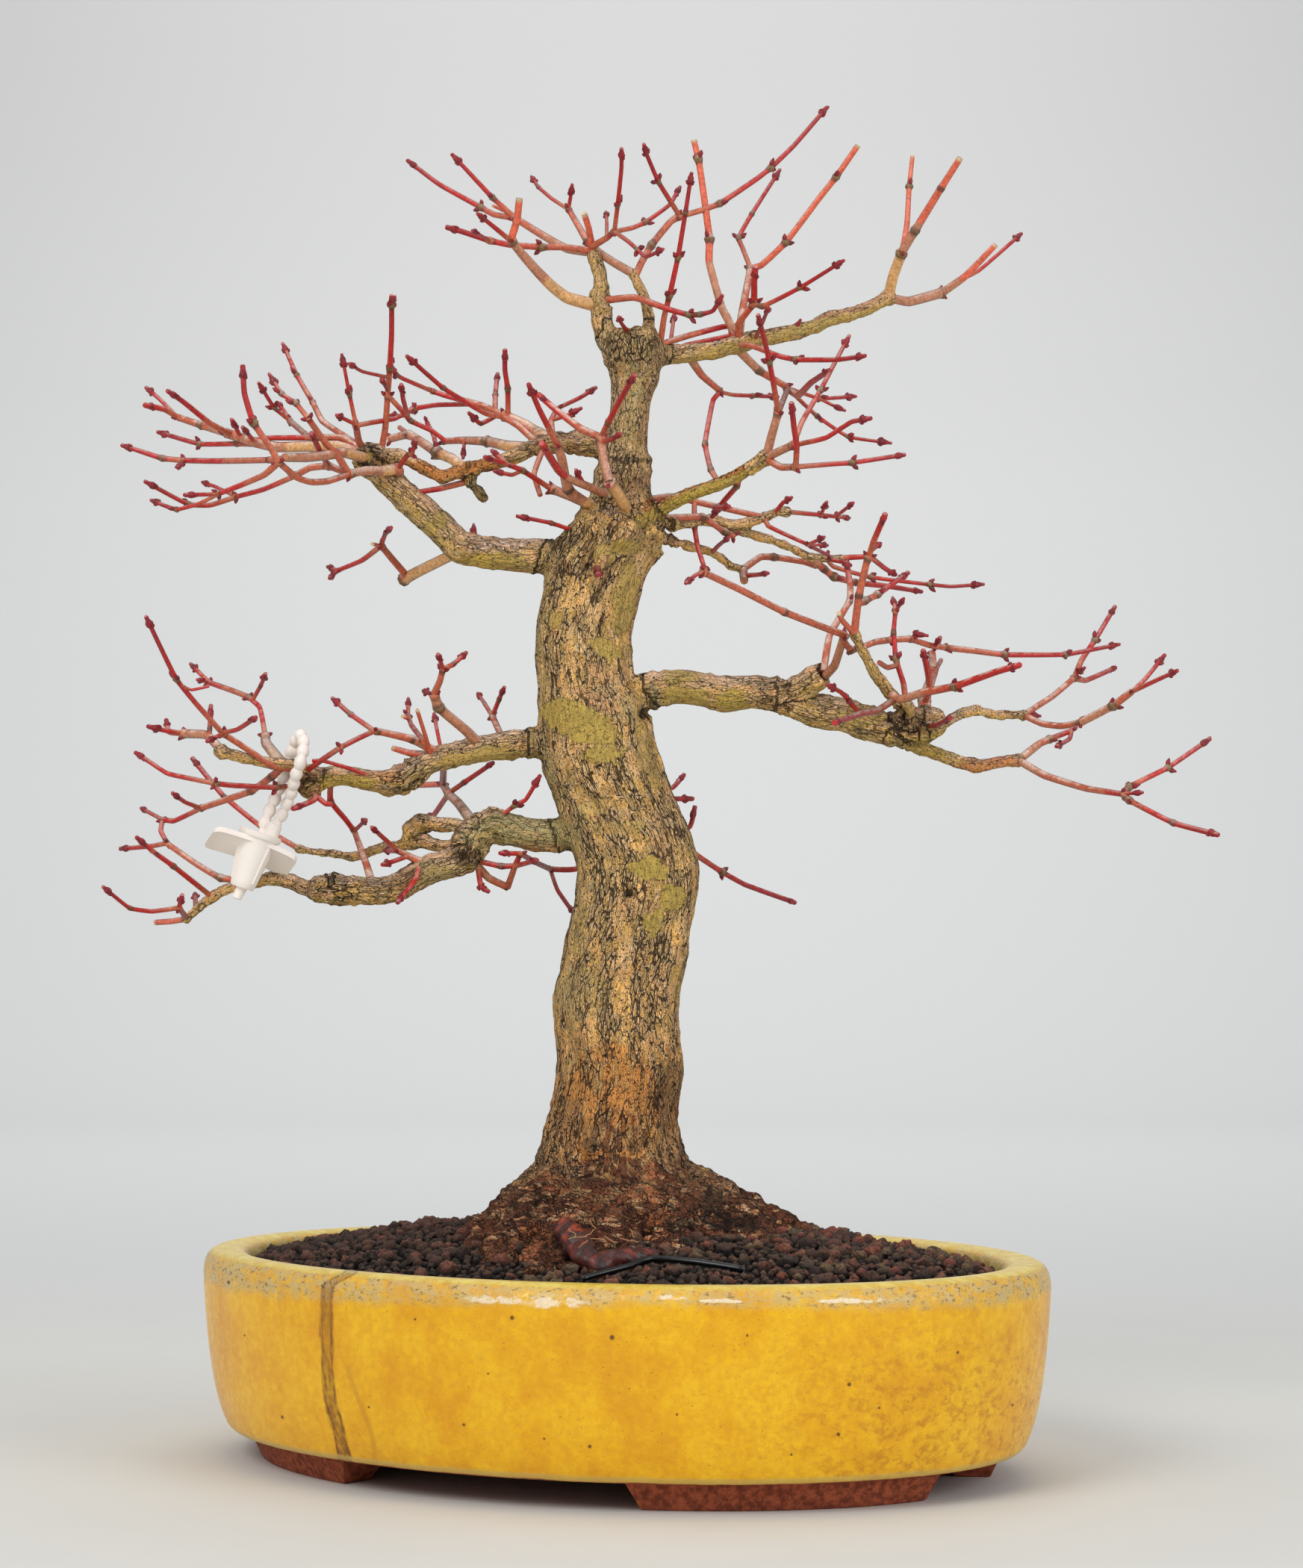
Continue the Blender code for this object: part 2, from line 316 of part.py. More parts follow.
    (-36, -44, 1.4, 1.2, "bud", (178.6, 234), (185.4, 234)),
    (-36, -66, 2, 1.9, "bud", (178.2, 233.4), (180.6, 231.2, 1.6), (196, 223.3, 1.4), (212, 219)),
    (40, 66, 2.2, 2, "node", (143.4, 261.6), (153.6, 268), (161.5, 274.6, 1.9)),
    (66, 78, 2, 1.5, "bud", (161.5, 275), (164, 280.8), (168.8, 288, 1.6), (176.1, 300.1)),
    (66, 96, 1.9, 1.7, "bud", (161.5, 273.6), (165.5, 273.7), (176, 278.2)),
    (66, 60, 1.4, 1.2, "bud", (161.7, 276), (165.2, 278.2)),
    (40, 16, 2.2, 2.2, "node", (143.4, 261), (150, 258.3), (157, 257.5), (163.6, 258.8, 1.5)),
    (16, 4, 2.8, 2.6, "node", (163.6, 258.8), (175.1, 264.8, 1.6), (181.8, 269.8)),
    (4, 16, 1.6, 1.5, "bud", (181.4, 269.4), (186.3, 274), (193.5, 282.8)),
    (4, -22, 1.8, 1.5, "bud", (181.4, 269.4), (186.3, 271.8), (198, 277.2)),
    (40, 48, 1.3, 1.2, "bud", (143.6, 261.6), (149.4, 261)),
    # around the big scar of the upper left limb
    (2, -18, 4.4, 2.8, "node", (-77, 344), (-78.4, 348.4, 1.3), (-83.5, 348), (-89.3, 348.2),
     (-95.4, 346.9, 1.5)),
    (-18, -52, 2.2, 2.2, "node", (-95.4, 346.6), (-102.8, 344.4), (-108.5, 344.1), (-113.5, 345.6),
     (-120.2, 351.2, 1.5)),
    (-52, -64, 2.4, 1.8, "bud", (-120.2, 351.2), (-122.9, 356.1), (-129.1, 365.2, 1.8), (-132.4, 375.7),
     (-133.1, 386)),
    (-18, -34, 2.6, 2, "node", (-95.4, 347.4), (-99.7, 354.2), (-103.5, 358), (-109.9, 367, 1.3)),
    (-34, -22, 1.9, 1.3, "bud", (-109.9, 367), (-114.2, 372.2, 1.5), (-119.3, 375.7, 1.6), (-123.8, 382.9)),
    (-18, 0, 2.4, 2.4, "node", (-95.4, 347.2), (-102.4, 349.8, 1.4), (-109, 349.2), (-114.6, 346.2, 1.5)),
    (0, 24, 2, 1.7, "node", (-114.6, 346), (-125.5, 341.5), (-135.4, 338.8, 1.8)),
    (24, 6, 1.8, 1.5, "bud", (-135.4, 338.6), (-144.4, 335.9), (-152, 336.2, 1.5), (-167.8, 344.5)),
    (24, 44, 1.3, 1.3, "bud", (-135.4, 339.4), (-141.9, 342.2), (-147.2, 344.1)),
    (-52, -36, 2.4, 1.8, "node", (-120.2, 350.8), (-125.4, 346.6), (-135.5, 342.2), (-141.8, 339.8, 1.4)),
    (-36, -48, 1.3, 1.6, "bud", (-141.6, 339.8), (-153.6, 339.5)),
    (-36, -14, 1.5, 1.4, "bud", (-141.6, 339.6), (-148.1, 336.5), (-156.3, 334.4, 1.5), (-165.4, 337.7)),
    (4, 28, 4, 3, "sunk", (-86, 353), (-97, 354.6), (-104.1, 353.6), (-110.4, 352.9), (-118, 352.9)),
    (28, 12, 2.2, 1.9, "node", (-115, 352.8), (-123.5, 352, 1.2), (-141.8, 351.6), (-153.9, 351.8, 1.6)),
    (12, 20, 2, 1.5, "bud", (-153.7, 351.9), (-161.4, 352.6, 1.4), (-170.1, 355.4), (-176, 357.3)),
    (12, -4, 1.4, 1.3, "bud", (-153.7, 351.2), (-156, 349.2)),
    (4, 30, 4, 3.2, "node", (-87, 355.6), (-99, 357), (-110.4, 356.8), (-121, 356.6), (-130.5, 358.8),
     (-139.3, 361.8, 1.1)),
    (30, 46, 2.8, 2.2, "node", (-139, 361.8), (-147.6, 364.4, 1.4), (-156, 367.2, 1.2)),
    (46, 34, 2, 2, "bud", (-156, 367.2), (-160.7, 370), (-168, 371.6)),
    (46, 62, 1.4, 1.5, "bud", (-156.4, 367.4), (-162.6, 373.8), (-167.4, 377.9)),
    (28, 2, 2.2, 1.7, "bud", (-137, 361.6), (-144.3, 364.9), (-153.8, 372.5), (-159.9, 376.8)),
    (22, 54, 1.9, 1.5, "bud", (-126, 357), (-134.9, 357.8, 1.4), (-148.1, 357.7, 1.5), (-163.2, 362)),
    (26, 18, 1.5, 1.5, "bud", (-134, 360.8), (-137, 366.6)),
    (22, 12, 1.5, 1.5, "bud", (-129, 359.2), (-133.1, 363.8)),
    (6, 38, 2.4, 1.7, "sunk", (-88, 357.6), (-97.8, 359.9), (-109.8, 359.9), (-124.3, 359.8),
     (-128, 359.2)),
    (8, 40, 2.4, 1.9, "node", (-92, 359.4), (-97.8, 361.1), (-104.8, 366), (-108.3, 372.8, 1.5)),
    (40, 56, 1.8, 1.3, "bud", (-108.3, 372.8), (-113.9, 382.3, 1.5), (-119, 393.8)),
    (30, 58, 2.2, 2, "node", (-104, 360), (-109.8, 360.6), (-116.3, 366, 1.4)),
    (58, 42, 1.4, 1.3, "bud", (-116.3, 366), (-121.8, 370.6, 1.5), (-127.5, 379.7)),
    (58, 70, 1.3, 1.3, "bud", (-116.3, 366), (-118, 369), (-120.7, 372.6)),
    (-30, -46, 2, 2, "bud", (-102.6, 350), (-105.4, 354.8), (-108.6, 361.6)),
    (10, -20, 2.6, 2.2, "node", (-89, 355), (-91.8, 358.8), (-92.8, 364.4, 1.5)),
    (-20, -30, 1.6, 1.1, "bud", (-92.8, 364.4), (-95.2, 375.6, 1.7), (-98, 390)),
    (-20, -36, 1.5, 1.4, "bud", (-92.8, 365.2), (-99.8, 368)),
    (-20, 12, 1.7, 1.7, "node", (-92.6, 364), (-86.8, 365.4), (-79, 366.8), (-72.6, 370.2, 1.6)),
    (6, -10, 2.4, 2, "node", (-84, 355), (-82.4, 363.4), (-81.6, 375.4, 1.5)),
    (-10, -36, 2, 1.7, "bud", (-81.6, 375.4), (-80.9, 384.7, 1.4), (-80.3, 396.5), (-80.3, 407.6, 1.6),
     (-80.3, 411)),
    (-10, -28, 1.6, 1.5, "bud", (-81.6, 377.4), (-83.8, 380.8)),
    (-18, -50, 1.3, 1.2, "bud", (-81.2, 381), (-90.7, 383.6), (-95.4, 386.4)),
    (-10, 30, 1.9, 1.7, "sunk", (-81.6, 374.6), (-76.9, 370), (-73.4, 366, 1.3), (-65.9, 362.4),
     (-61, 358.8)),
    (-16, -30, 1.7, 1.6, "bud", (-74, 368), (-76.1, 373.7), (-76.8, 379)),
    (-30, -20, 1.8, 1.8, "node", (-76.6, 350), (-74.3, 353.9), (-72.9, 354.4, 1.5)),
    (-20, -30, 1.6, 1.5, "bud", (-73, 353.6), (-71.6, 359.2)),
    # from the left middle limb, up and left
    (6, 12, 5, 3.4, "node", (-22, 359.6), (-28, 361, 1.2), (-33, 364.4), (-40.6, 368, 1.4)),
    (12, 22, 2.4, 1.7, "node", (-40, 368.2), (-48.3, 371.5), (-61.5, 375.1), (-66.2, 376.7, 1.5)),
    (22, -8, 1.6, 1.5, "node", (-66.2, 376.7), (-76.1, 381), (-78.8, 382.6, 1.5), (-80.6, 386.4)),
    (16, 38, 1.6, 1.7, "node", (-50, 372), (-64.4, 371.6), (-71.8, 370.4, 1.7)),
    (38, 12, 1.5, 1.4, "bud", (-71.8, 370.4), (-76.1, 367.8), (-80.6, 367.9)),
    (12, -30, 1.9, 1.5, "bud", (-39.4, 366.8), (-46.9, 368.6), (-62, 377.8, 1.4), (-75, 389.2)),
    (0, -22, 3.2, 2, "sunk", (-24, 357), (-30.1, 359.8), (-35.2, 364.2), (-41, 367.6)),
    (12, -6, 1.8, 1.7, "bud", (-38.4, 367.4), (-39, 377.4, 1.4), (-40, 384), (-40, 391.6)),
    (12, 34, 1.9, 1.5, "bud", (-43.2, 369.6), (-43.4, 375.2, 1.4), (-42.6, 382.9)),
    (12, 0, 1.7, 1.4, "bud", (-42, 367.6), (-48.6, 365, 1.2), (-53, 369)),
    (10, 32, 4.4, 2, "node", (-31, 356.8), (-38.8, 356.9), (-46.3, 358.6, 1.4), (-55.7, 359),
     (-62, 358.6, 1.5)),
    (24, 20, 1.2, 1.2, "bud", (-54.8, 358.6), (-54.8, 352.4)),
    (4, 24, 4, 2.6, "node", (-54, 350), (-58.7, 352.4), (-64, 354.6, 1.5), (-74, 361, 1.2), (-81, 359.4)),
    (12, 30, 1.7, 1.5, "node", (-63.8, 354.6), (-65.2, 360.5), (-67.6, 365.4, 1.3)),
    (18, 34, 1.7, 1.6, "cut", (-73, 360.6), (-77.4, 363.6)),
    (8, 2, 2.2, 1.8, "sunk", (-55, 343.6), (-62.9, 341.8), (-71.6, 340.4)),
    # in front of the trunk, from the gnarled shoulder
    (-20, -64, 3.2, 2.5, "bud", (-4, 338), (-9.6, 342.2), (-17.6, 345.5), (-21.3, 348.8), (-27, 358)),
    (-22, -34, 4, 3, "node", (-5, 333), (-11.8, 337.1), (-17.6, 341.6, 1.2), (-19.8, 352.4),
     (-21.6, 357.8, 1.2)),
    (-34, -58, 2.2, 1.8, "bud", (-21.6, 357.6), (-27.8, 370), (-31.7, 379.2)),
    (-22, -8, 4, 3, "node", (-5, 334), (-15.4, 338.6), (-23.9, 341.8, 1.4)),
    (-8, -24, 2, 1.8, "node", (-23.8, 342), (-33.7, 348.2, 1.4), (-38.8, 350.3)),
    (-24, -40, 1.8, 1.7, "bud", (-38, 350), (-47.2, 353)),
    (-24, -14, 1.7, 1.7, "bud", (-39, 350.2), (-44.6, 355.4)),
    (-20, -8, 1.5, 1.4, "bud", (-34.6, 348), (-37.4, 346.7), (-43.8, 348)),
    (0, -12, 2, 1.8, "knob", (-25.6, 354.6), (-29.6, 347), (-27.4, 339.4)),
    (-22, -30, 4.4, 4.2, "node", (7, 328), (4.7, 331.9), (-0.2, 340.3), (-3, 344.4, 1.2)),
    (-30, -26, 3.2, 3.2, "node", (-3, 344), (-5.2, 353.4), (-6, 360, 1.5)),
    (-26, -60, 2, 1.9, "bud", (-5.6, 360.4), (-3.3, 365.6, 1.3), (2.1, 375.6), (6, 382.4)),
    (-26, -44, 1.7, 1.6, "bud", (-4.4, 359.2), (-1.8, 359.5), (1, 361.4)),
    (-26, -12, 2.8, 2, "bud", (-6.2, 360), (-13.3, 363.3), (-22.8, 370.6), (-28.4, 375.6)),
    (-4, 16, 2.2, 1.8, "node", (-22, 361), (-23.5, 366.2), (-21.4, 370.4, 1.4)),
    (16, 30, 1.5, 1.5, "bud", (-21.4, 370.4), (-13.2, 374.3), (-7.6, 377.9)),
    (16, 4, 1.5, 1.4, "bud", (-22.6, 366.4), (-17.6, 368), (-12.7, 370.6)),
    (-20, -34, 1.5, 1.3, "bud", (-12.6, 343.2), (-14.9, 348.6)),
    (-6, -26, 1.6, 1.4, "bud", (-10, 326.4), (-23.5, 329.5, 1.4), (-35.8, 332)),
    (-27, -33, 2.2, 1.9, "bud", (-7.8, 317.6), (-7.6, 316), (-6.8, 311)),
    # under the upper left limb
    (4, 30, 3.8, 4, "knob", (-55, 318.8), (-64.9, 315.1), (-70.7, 312.2), (-75.8, 309.4, 1.25)),
    (28, 14, 2.4, 2.2, "node", (-75.2, 311), (-79.4, 316.3), (-83.8, 321.6, 1.5)),
    (14, -6, 1.8, 1.5, "bud", (-83.6, 322), (-82, 326.2, 1.3), (-80.1, 328)),
    (14, 40, 1.9, 1.6, "node", (-83.8, 320.8), (-90.4, 316.3), (-99.2, 312.6, 1.4)),
    (40, 48, 1.4, 1.4, "bud", (-99, 312.7), (-102.7, 314)),
    (40, 30, 1.4, 1.4, "bud", (-99, 312.4), (-102, 309.8)),
    (14, 4, 1.3, 1.3, "cut", (-84, 321.4), (-86.8, 322.1)),
    (8, 8, 1.4, 1.1, "bud", (-50.6, 325), (-51, 329.2)),
    # on top of the first lower left limb
    (-2, -24, 3.6, 3.2, "node", (-47.4, 250.6), (-53.4, 255.8), (-63.1, 264.1, 1.4), (-64.9, 269, 1.2)),
    (-24, -30, 2.4, 2, "node", (-64.6, 268.6), (-62.8, 273.4), (-61.7, 277.8, 1.3)),
    (-30, -42, 1.6, 1.6, "bud", (-61.8, 277.8), (-63.5, 283)),
    (-30, -18, 1.8, 1.6, "bud", (-61.6, 277.8), (-58.2, 279.3, 1.2), (-53.4, 283.6)),
    (-24, -10, 1.6, 1.6, "bud", (-65, 267.8), (-68.6, 270)),
    (2, 18, 2.4, 2.2, "node", (-41, 254.8), (-44.2, 261, 1.4)),
    (18, 40, 1.6, 1.2, "bud", (-44.2, 261), (-46.8, 265.2, 1.2), (-49.4, 269.2)),
    (18, 6, 1.7, 1.4, "bud", (-44.2, 261), (-41.8, 267, 1.3), (-39.9, 271.4)),
    (-8, -34, 1.7, 1.4, "cut", (-65.8, 248), (-68.6, 256.4), (-70.8, 263.2)),
    (-4, 12, 1.3, 1.4, "bud", (-62.4, 249.6), (-63.8, 256.4), (-64.8, 262)),
    (-8, 22, 2, 1.6, "node", (-70.6, 251.6), (-72.9, 258), (-74, 261.6, 1.2)),
    (22, 30, 1.5, 1.4, "bud", (-74, 261.4), (-73.9, 267.3)),
    (22, 12, 1.4, 1.4, "cut", (-73.6, 260), (-76, 261)),
    (-6, -20, 3.2, 2.2, "node", (-60, 248), (-65.8, 249.4), (-72.6, 252.8, 1.15), (-81.8, 255),
     (-85.9, 255.8, 1.5)),
    (-20, 4, 1.9, 1.6, "bud", (-85.9, 255.8), (-94.2, 261.6, 1.4), (-100.8, 267.4)),
    (-20, -42, 1.9, 1.9, "node", (-85.9, 255.6), (-92, 252.9), (-98, 249.8, 1.5)),
    (-42, -26, 1.9, 1.9, "sunk", (-98, 249.8), (-104.5, 245.4), (-110, 241.5)),
    (-10, -4, 3, 1.8, "cut", (-66, 246.6), (-72.7, 247.8), (-79.5, 249.7)),
    (-16, -30, 1.4, 1.3, "sunk", (-84, 240.2), (-94.1, 242.4), (-104, 245.2), (-107.6, 245.2)),
    # outer end of the first lower left limb
    (-34, -16, 3, 3, "node", (-139.6, 249), (-145.1, 254.3), (-153.6, 254.8, 1.4)),
    (-16, -4, 1.8, 1.7, "bud", (-153.4, 254.8), (-158.4, 255.4), (-159.4, 259.8)),
    (-16, -28, 1.7, 1.7, "bud", (-153.6, 255.2), (-160, 256), (-166, 257.4)),
    (-18, -40, 2.2, 2.2, "node", (-112, 240.6), (-121.7, 243.4), (-129.5, 248.5), (-139.5, 255, 1.5)),
    (-40, -78, 1.9, 1.5, "bud", (-139.5, 255), (-149, 265.6), (-156, 274.3, 1.6), (-166.9, 296.5)),
    (-58, -40, 1, 1, "sunk", (-153, 271.8), (-150.6, 270.3), (-144.4, 271.6)),
    (-40, -66, 1.6, 1.7, "bud", (-139.5, 255.4), (-134.2, 256.3), (-127.6, 260.6)),
    (-30, -24, 1.5, 1.5, "bud", (-144.2, 253.6), (-144, 256.5, 1.2), (-143.6, 265.2)),
    (-38, -52, 1.6, 1.5, "bud", (-139.4, 254), (-145, 252)),
    (-22, 6, 4, 3.2, "node", (-118.6, 244.6), (-124, 251.4, 1.1), (-124.4, 254.4, 1.1)),
    (6, 24, 1.8, 1.7, "node", (-124.4, 254), (-126.4, 264.1), (-130.4, 267.8, 1.7)),
    (24, 50, 2, 1.9, "node", (-129.8, 267.6), (-135.7, 269.9), (-144.5, 273, 1.5)),
    (50, 62, 1.6, 1.4, "bud", (-144.5, 273.4), (-151, 279.6)),
    (50, 40, 1.2, 1.2, "bud", (-144.5, 273), (-148.6, 273.9)),
    (20, 4, 1.5, 1.4, "bud", (-128.4, 267.4), (-126, 271.9, 1.2), (-124.3, 276.2)),
    (-16, -31, 1.8, 1.8, "sunk", (-110, 238.2), (-113.4, 236.7), (-116.4, 236)),
    (-31, -52, 1.8, 1.9, "node", (-115.4, 236.2), (-120.4, 235.8, 1.5), (-135.5, 236.5),
     (-142.1, 237.2, 1.5)),
    (-52, -30, 1.7, 1.6, "bud", (-142.1, 237.2), (-158.7, 240.7), (-164.2, 244.2), (-170.3, 248.2)),
    (26, 64, 2, 1.8, "bud", (-112.6, 214.6), (-125.7, 222), (-138.6, 232.4, 1.2), (-143.8, 238.4),
     (-150.2, 246.3)),
    (-28, 8, 2.6, 2.2, "node", (-118, 243), (-122, 239.6, 1.2), (-129.2, 234.6, 1.3), (-147.1, 228.4, 1.5)),
    (8, 24, 1.8, 1.8, "node", (-147.1, 228.2), (-156.4, 224), (-160.4, 224.4, 1.4)),
    (24, 44, 1.5, 1.5, "bud", (-160.4, 224.4), (-168, 228.5)),
    (24, 14, 1.7, 1.7, "node", (-160.6, 224.2), (-161, 220.5), (-158.8, 216.2, 1.5)),
    (8, -10, 1.6, 1.5, "bud", (-147, 228.8), (-152.5, 230.6), (-157.1, 233.9)),
    (14, 30, 1.7, 1.5, "bud", (-158.8, 216), (-164.8, 215), (-175.7, 214.1)),
    (6, 14, 2.4, 2, "sunk", (-131, 204.4), (-139.9, 203.9, 1.4), (-148.4, 208.8), (-158.8, 216)),
    (-14, -30, 2, 1.9, "bud", (-105.8, 235.6), (-106.8, 231.6), (-114.6, 228.2)),
    (-12, 10, 2, 1.7, "sunk", (-106.6, 232.4), (-102.8, 230), (-100.6, 230)),
    (-8, 10, 2, 1.9, "node", (-101.3, 239), (-101.2, 231, 1.3), (-96, 224.6), (-92.8, 220.4, 1.5)),
    (10, 24, 1.9, 3, "sunk", (-92.8, 220.4), (-88.5, 208.6), (-86.2, 201)),
    (10, -8, 1.4, 1.3, "bud", (-92.6, 220.6), (-88.6, 224.5)),
    # around the second lower left limb
    (18, 40, 4, 2.6, "node", (-51, 224), (-56, 230.1), (-59.6, 233.6, 1.2), (-61.6, 237, 1.2)),
    (40, -2, 2.4, 2.2, "sunk", (-61.6, 237), (-61.3, 244.6)),
    (38, 60, 2, 2, "cut", (-61.6, 236.8), (-71.4, 236.6)),
    (36, 8, 1.8, 1.7, "bud", (-59.4, 234), (-54, 237.6, 1.3), (-43.8, 244.6)),
    (34, 56, 1.9, 1.8, "node", (-59.6, 233.4), (-62.9, 228.7), (-65.2, 225.4, 1.2)),
    (14, -14, 1.6, 1.5, "bud", (-43, 226), (-36.2, 229.5, 1.5), (-32.4, 231.5), (-27.2, 240.2)),
    (14, 2, 3.2, 2.4, "knob", (-48.6, 209.4), (-45.4, 203.9), (-38.6, 200.6, 1.2)),
    (2, -16, 2.4, 1.9, "node", (-38.8, 201.2), (-36.1, 208), (-34.2, 212.4, 1.3)),
    (-8, -26, 1.8, 1.7, "bud", (-36.2, 208), (-28.2, 210.2)),
    (12, -6, 2, 1.6, "bud", (-49.6, 206.4), (-48.1, 201.1), (-45.1, 198.8)),
    (16, -10, 1.9, 1.8, "sunk", (-50, 210.4), (-40.9, 208, 1.3), (-35.6, 208.2)),
    (72, 30, 2, 1.9, "node", (3.4, 238), (-14, 207.4), (-23.6, 206.9, 1.3)),
    (30, 0, 2, 1.9, "sunk", (-23.4, 206.9), (-28.1, 209), (-34.2, 212.4)),
    (30, 58, 1.5, 1.5, "bud", (-23.8, 206.4), (-21.1, 199.6), (-15.4, 191.4)),
    (0, -24, 1.7, 1.6, "bud", (-34, 212.6), (-41.6, 212.6)),
    (18, -12, 3.4, 2, "node", (-60, 208.6), (-69.4, 209.6, 1.2), (-78, 213.8, 1.2)),
    (-12, -36, 1.8, 1.4, "bud", (-77.8, 213.7), (-86.8, 221.9)),
    (-10, 4, 1.6, 1.6, "bud", (-77, 213.4), (-82.2, 213.6)),
    (-2, -26, 1.7, 1.6, "bud", (-73.6, 211.4), (-79.9, 209.4), (-83, 208.5)),
    (14, -28, 2, 1.7, "bud", (-70.6, 208.6), (-71, 203.8), (-77.6, 195)),
    (8, -24, 1.9, 1.8, "node", (-142.6, 197.6), (-156.5, 208, 1.4), (-163.1, 212.7)),
    (-24, -32, 1.8, 1.6, "bud", (-162.8, 212.5), (-169.7, 218.3)),
    (6, -14, 2, 1.8, "node", (-151, 189.6), (-154.4, 193.4, 1.6)),
    (-14, -20, 1.7, 1.6, "bud", (-154.4, 193.4), (-153.3, 198)),
    (-14, -40, 1.6, 1.4, "bud", (-154.4, 193.2), (-164, 192.1), (-171.8, 193.3, 1.3), (-181.4, 200.9)),
    (6, 24, 1.8, 1.6, "bud", (-148.6, 193.4), (-148.8, 198.4)),
    (6, 22, 2, 1.9, "cut", (-151, 189.2), (-157, 188.6), (-162.6, 188.2)),
    # shoots of the branch behind the trunk
    (70, 92, 2, 1.6, "bud", (2.6, 236), (19, 235.5), (23.6, 240.4)),
    (60, 62, 1.8, 1.7, "bud", (5, 232), (20, 231.8), (26.8, 231.8)),
    (50, 36, 1.7, 1.6, "bud", (6, 229), (25, 221.6), (27.4, 229.4)),
    (44, 96, 2.2, 1.7, "bud", (5, 226), (28.5, 211.5), (36.8, 206, 1.6), (45, 201.5), (62.7, 195.1)),
    (74, 128, 3, 1.7, "bud", (2, 240), (-4, 248, 1.2), (-8, 262), (-6, 272)),
    (74, 116, 3, 1.7, "bud", (2.4, 239), (8, 246, 1.2), (7, 258), (3, 268)),
)

THIN_WOOD = 4.3                # wood thinner than this keeps no rings or nodes
THIN_SLACK = 1.0
THICK_SLACK = 0.6
BUD_LENGTH = 2.6
BUD_SWELL = 1.45
COLOURS = {
    "tree": ((0.45, 0.33, 0.2), 0.8),
    "pot": ((0.8, 0.46, 0.06), 0.25),
    "soil": ((0.07, 0.045, 0.035), 0.95),
    "tie_wire": ((0.02, 0.02, 0.02), 0.5),
    "tag": ((0.85, 0.83, 0.79), 0.45),
    "screen_left": ((0.03, 0.03, 0.03), 0.6),
    "screen_right": ((0.03, 0.03, 0.03), 0.6),
}


def at(x, z, back):
    """A reading seen from the front, as a place in the part's frame, in metres."""
    spread = (VIEW_DISTANCE + back) / VIEW_DISTANCE
    across = EYE_X + (x - EYE_X) * spread
    return Vector((across - MIDDLE_X, back - MIDDLE_Y, EYE_Z + (z - EYE_Z) * spread)) * MM


def pot_point(angle, inset, height):
    """A point of the turned oval, in metres: angle from its long axis, and how far inside the widest line."""
    x = (POT_HALF_LENGTH - inset) * math.cos(angle)
    y = (POT_HALF_WIDTH - inset) * math.sin(angle)
    turned_x = x * math.cos(POT_TURN) - y * math.sin(POT_TURN)
    turned_y = x * math.sin(POT_TURN) + y * math.cos(POT_TURN)
    return Vector((turned_x - MIDDLE_X, turned_y - MIDDLE_Y, height)) * MM


def clear_scene():
    for old in list(bpy.data.objects):
        bpy.data.objects.remove(old, do_unlink=True)


def mesh_object(name, build):
    """A new object whose mesh `build` fills, with its faces pointing outwards."""
    shape = bmesh.new()
    build(shape)
    bmesh.ops.recalc_face_normals(shape, faces=shape.faces)
    mesh = bpy.data.meshes.new(name)
    shape.to_mesh(mesh)
    shape.free()
    made = bpy.data.objects.new(name, mesh)
    bpy.context.scene.collection.objects.link(made)
    return made


def loft(shape, rings, closed=False):
    """Quads between one ring of points and the next, and a cap at each end unless the loft closes on itself."""
    loops = [[shape.verts.new(point) for point in ring] for ring in rings]
    pairs = list(zip(loops, loops[1:]))
    if closed:
        pairs.append((loops[-1], loops[0]))
    for lower, upper in pairs:
        count = len(lower)
        for index in range(count):
            after = (index + 1) % count
            shape.faces.new((lower[index], lower[after], upper[after], upper[index]))
    if not closed:
        shape.faces.new(reversed(loops[0]))
        shape.faces.new(loops[-1])
    return loops


def join_all(name, pieces, operation="UNION"):
    """One Boolean on a collection of the other pieces, applied, with those pieces then removed."""
    base, others = pieces[0], pieces[1:]
    group = bpy.data.collections.new(name + "_pieces")
    bpy.context.scene.collection.children.link(group)
    for piece in others:
        bpy.context.scene.collection.objects.unlink(piece)
        group.objects.link(piece)
    join = base.modifiers.new("join", "BOOLEAN")
    join.operation = operation
    join.operand_type = "COLLECTION"
    join.collection = group
    join.solver = "MANIFOLD"
    evaluated = base.evaluated_get(bpy.context.evaluated_depsgraph_get())
    mesh = bpy.data.meshes.new_from_object(evaluated)
    base.modifiers.clear()
    base.data = mesh
    base.name = name
    mesh.name = name
    for piece in list(group.objects):
        bpy.data.objects.remove(piece, do_unlink=True)
    bpy.data.collections.remove(group)
    return base


def keep_largest(piece):
    """Drops the loose scraps and fills the sealed hollows that a union can leave."""
    shape = bmesh.new()
    shape.from_mesh(piece.data)
    seen = set()
    islands = []
    for start in shape.verts:
        if start in seen:
            continue
        seen.add(start)
        island = [start]
        for vert in island:
            for edge in vert.link_edges:
                other = edge.other_vert(vert)
                if other not in seen:
                    seen.add(other)
                    island.append(other)
        islands.append(island)
    islands.sort(key=len)
    bmesh.ops.delete(shape, geom=[vert for island in islands[:-1] for vert in island], context="VERTS")
    shape.to_mesh(piece.data)
    shape.free()
    return piece


def paint(piece):
    colour, roughness = COLOURS[piece.name]
    material = bpy.data.materials.new(piece.name)
    material.use_nodes = True
    shader = material.node_tree.nodes["Principled BSDF"]
    shader.inputs["Base Color"].default_value = (*colour, 1.0)
    shader.inputs["Roughness"].default_value = roughness
    piece.data.materials.clear()
    piece.data.materials.append(material)
    piece.data.shade_smooth()
    piece.data.set_sharp_from_angle(angle=math.radians(35))


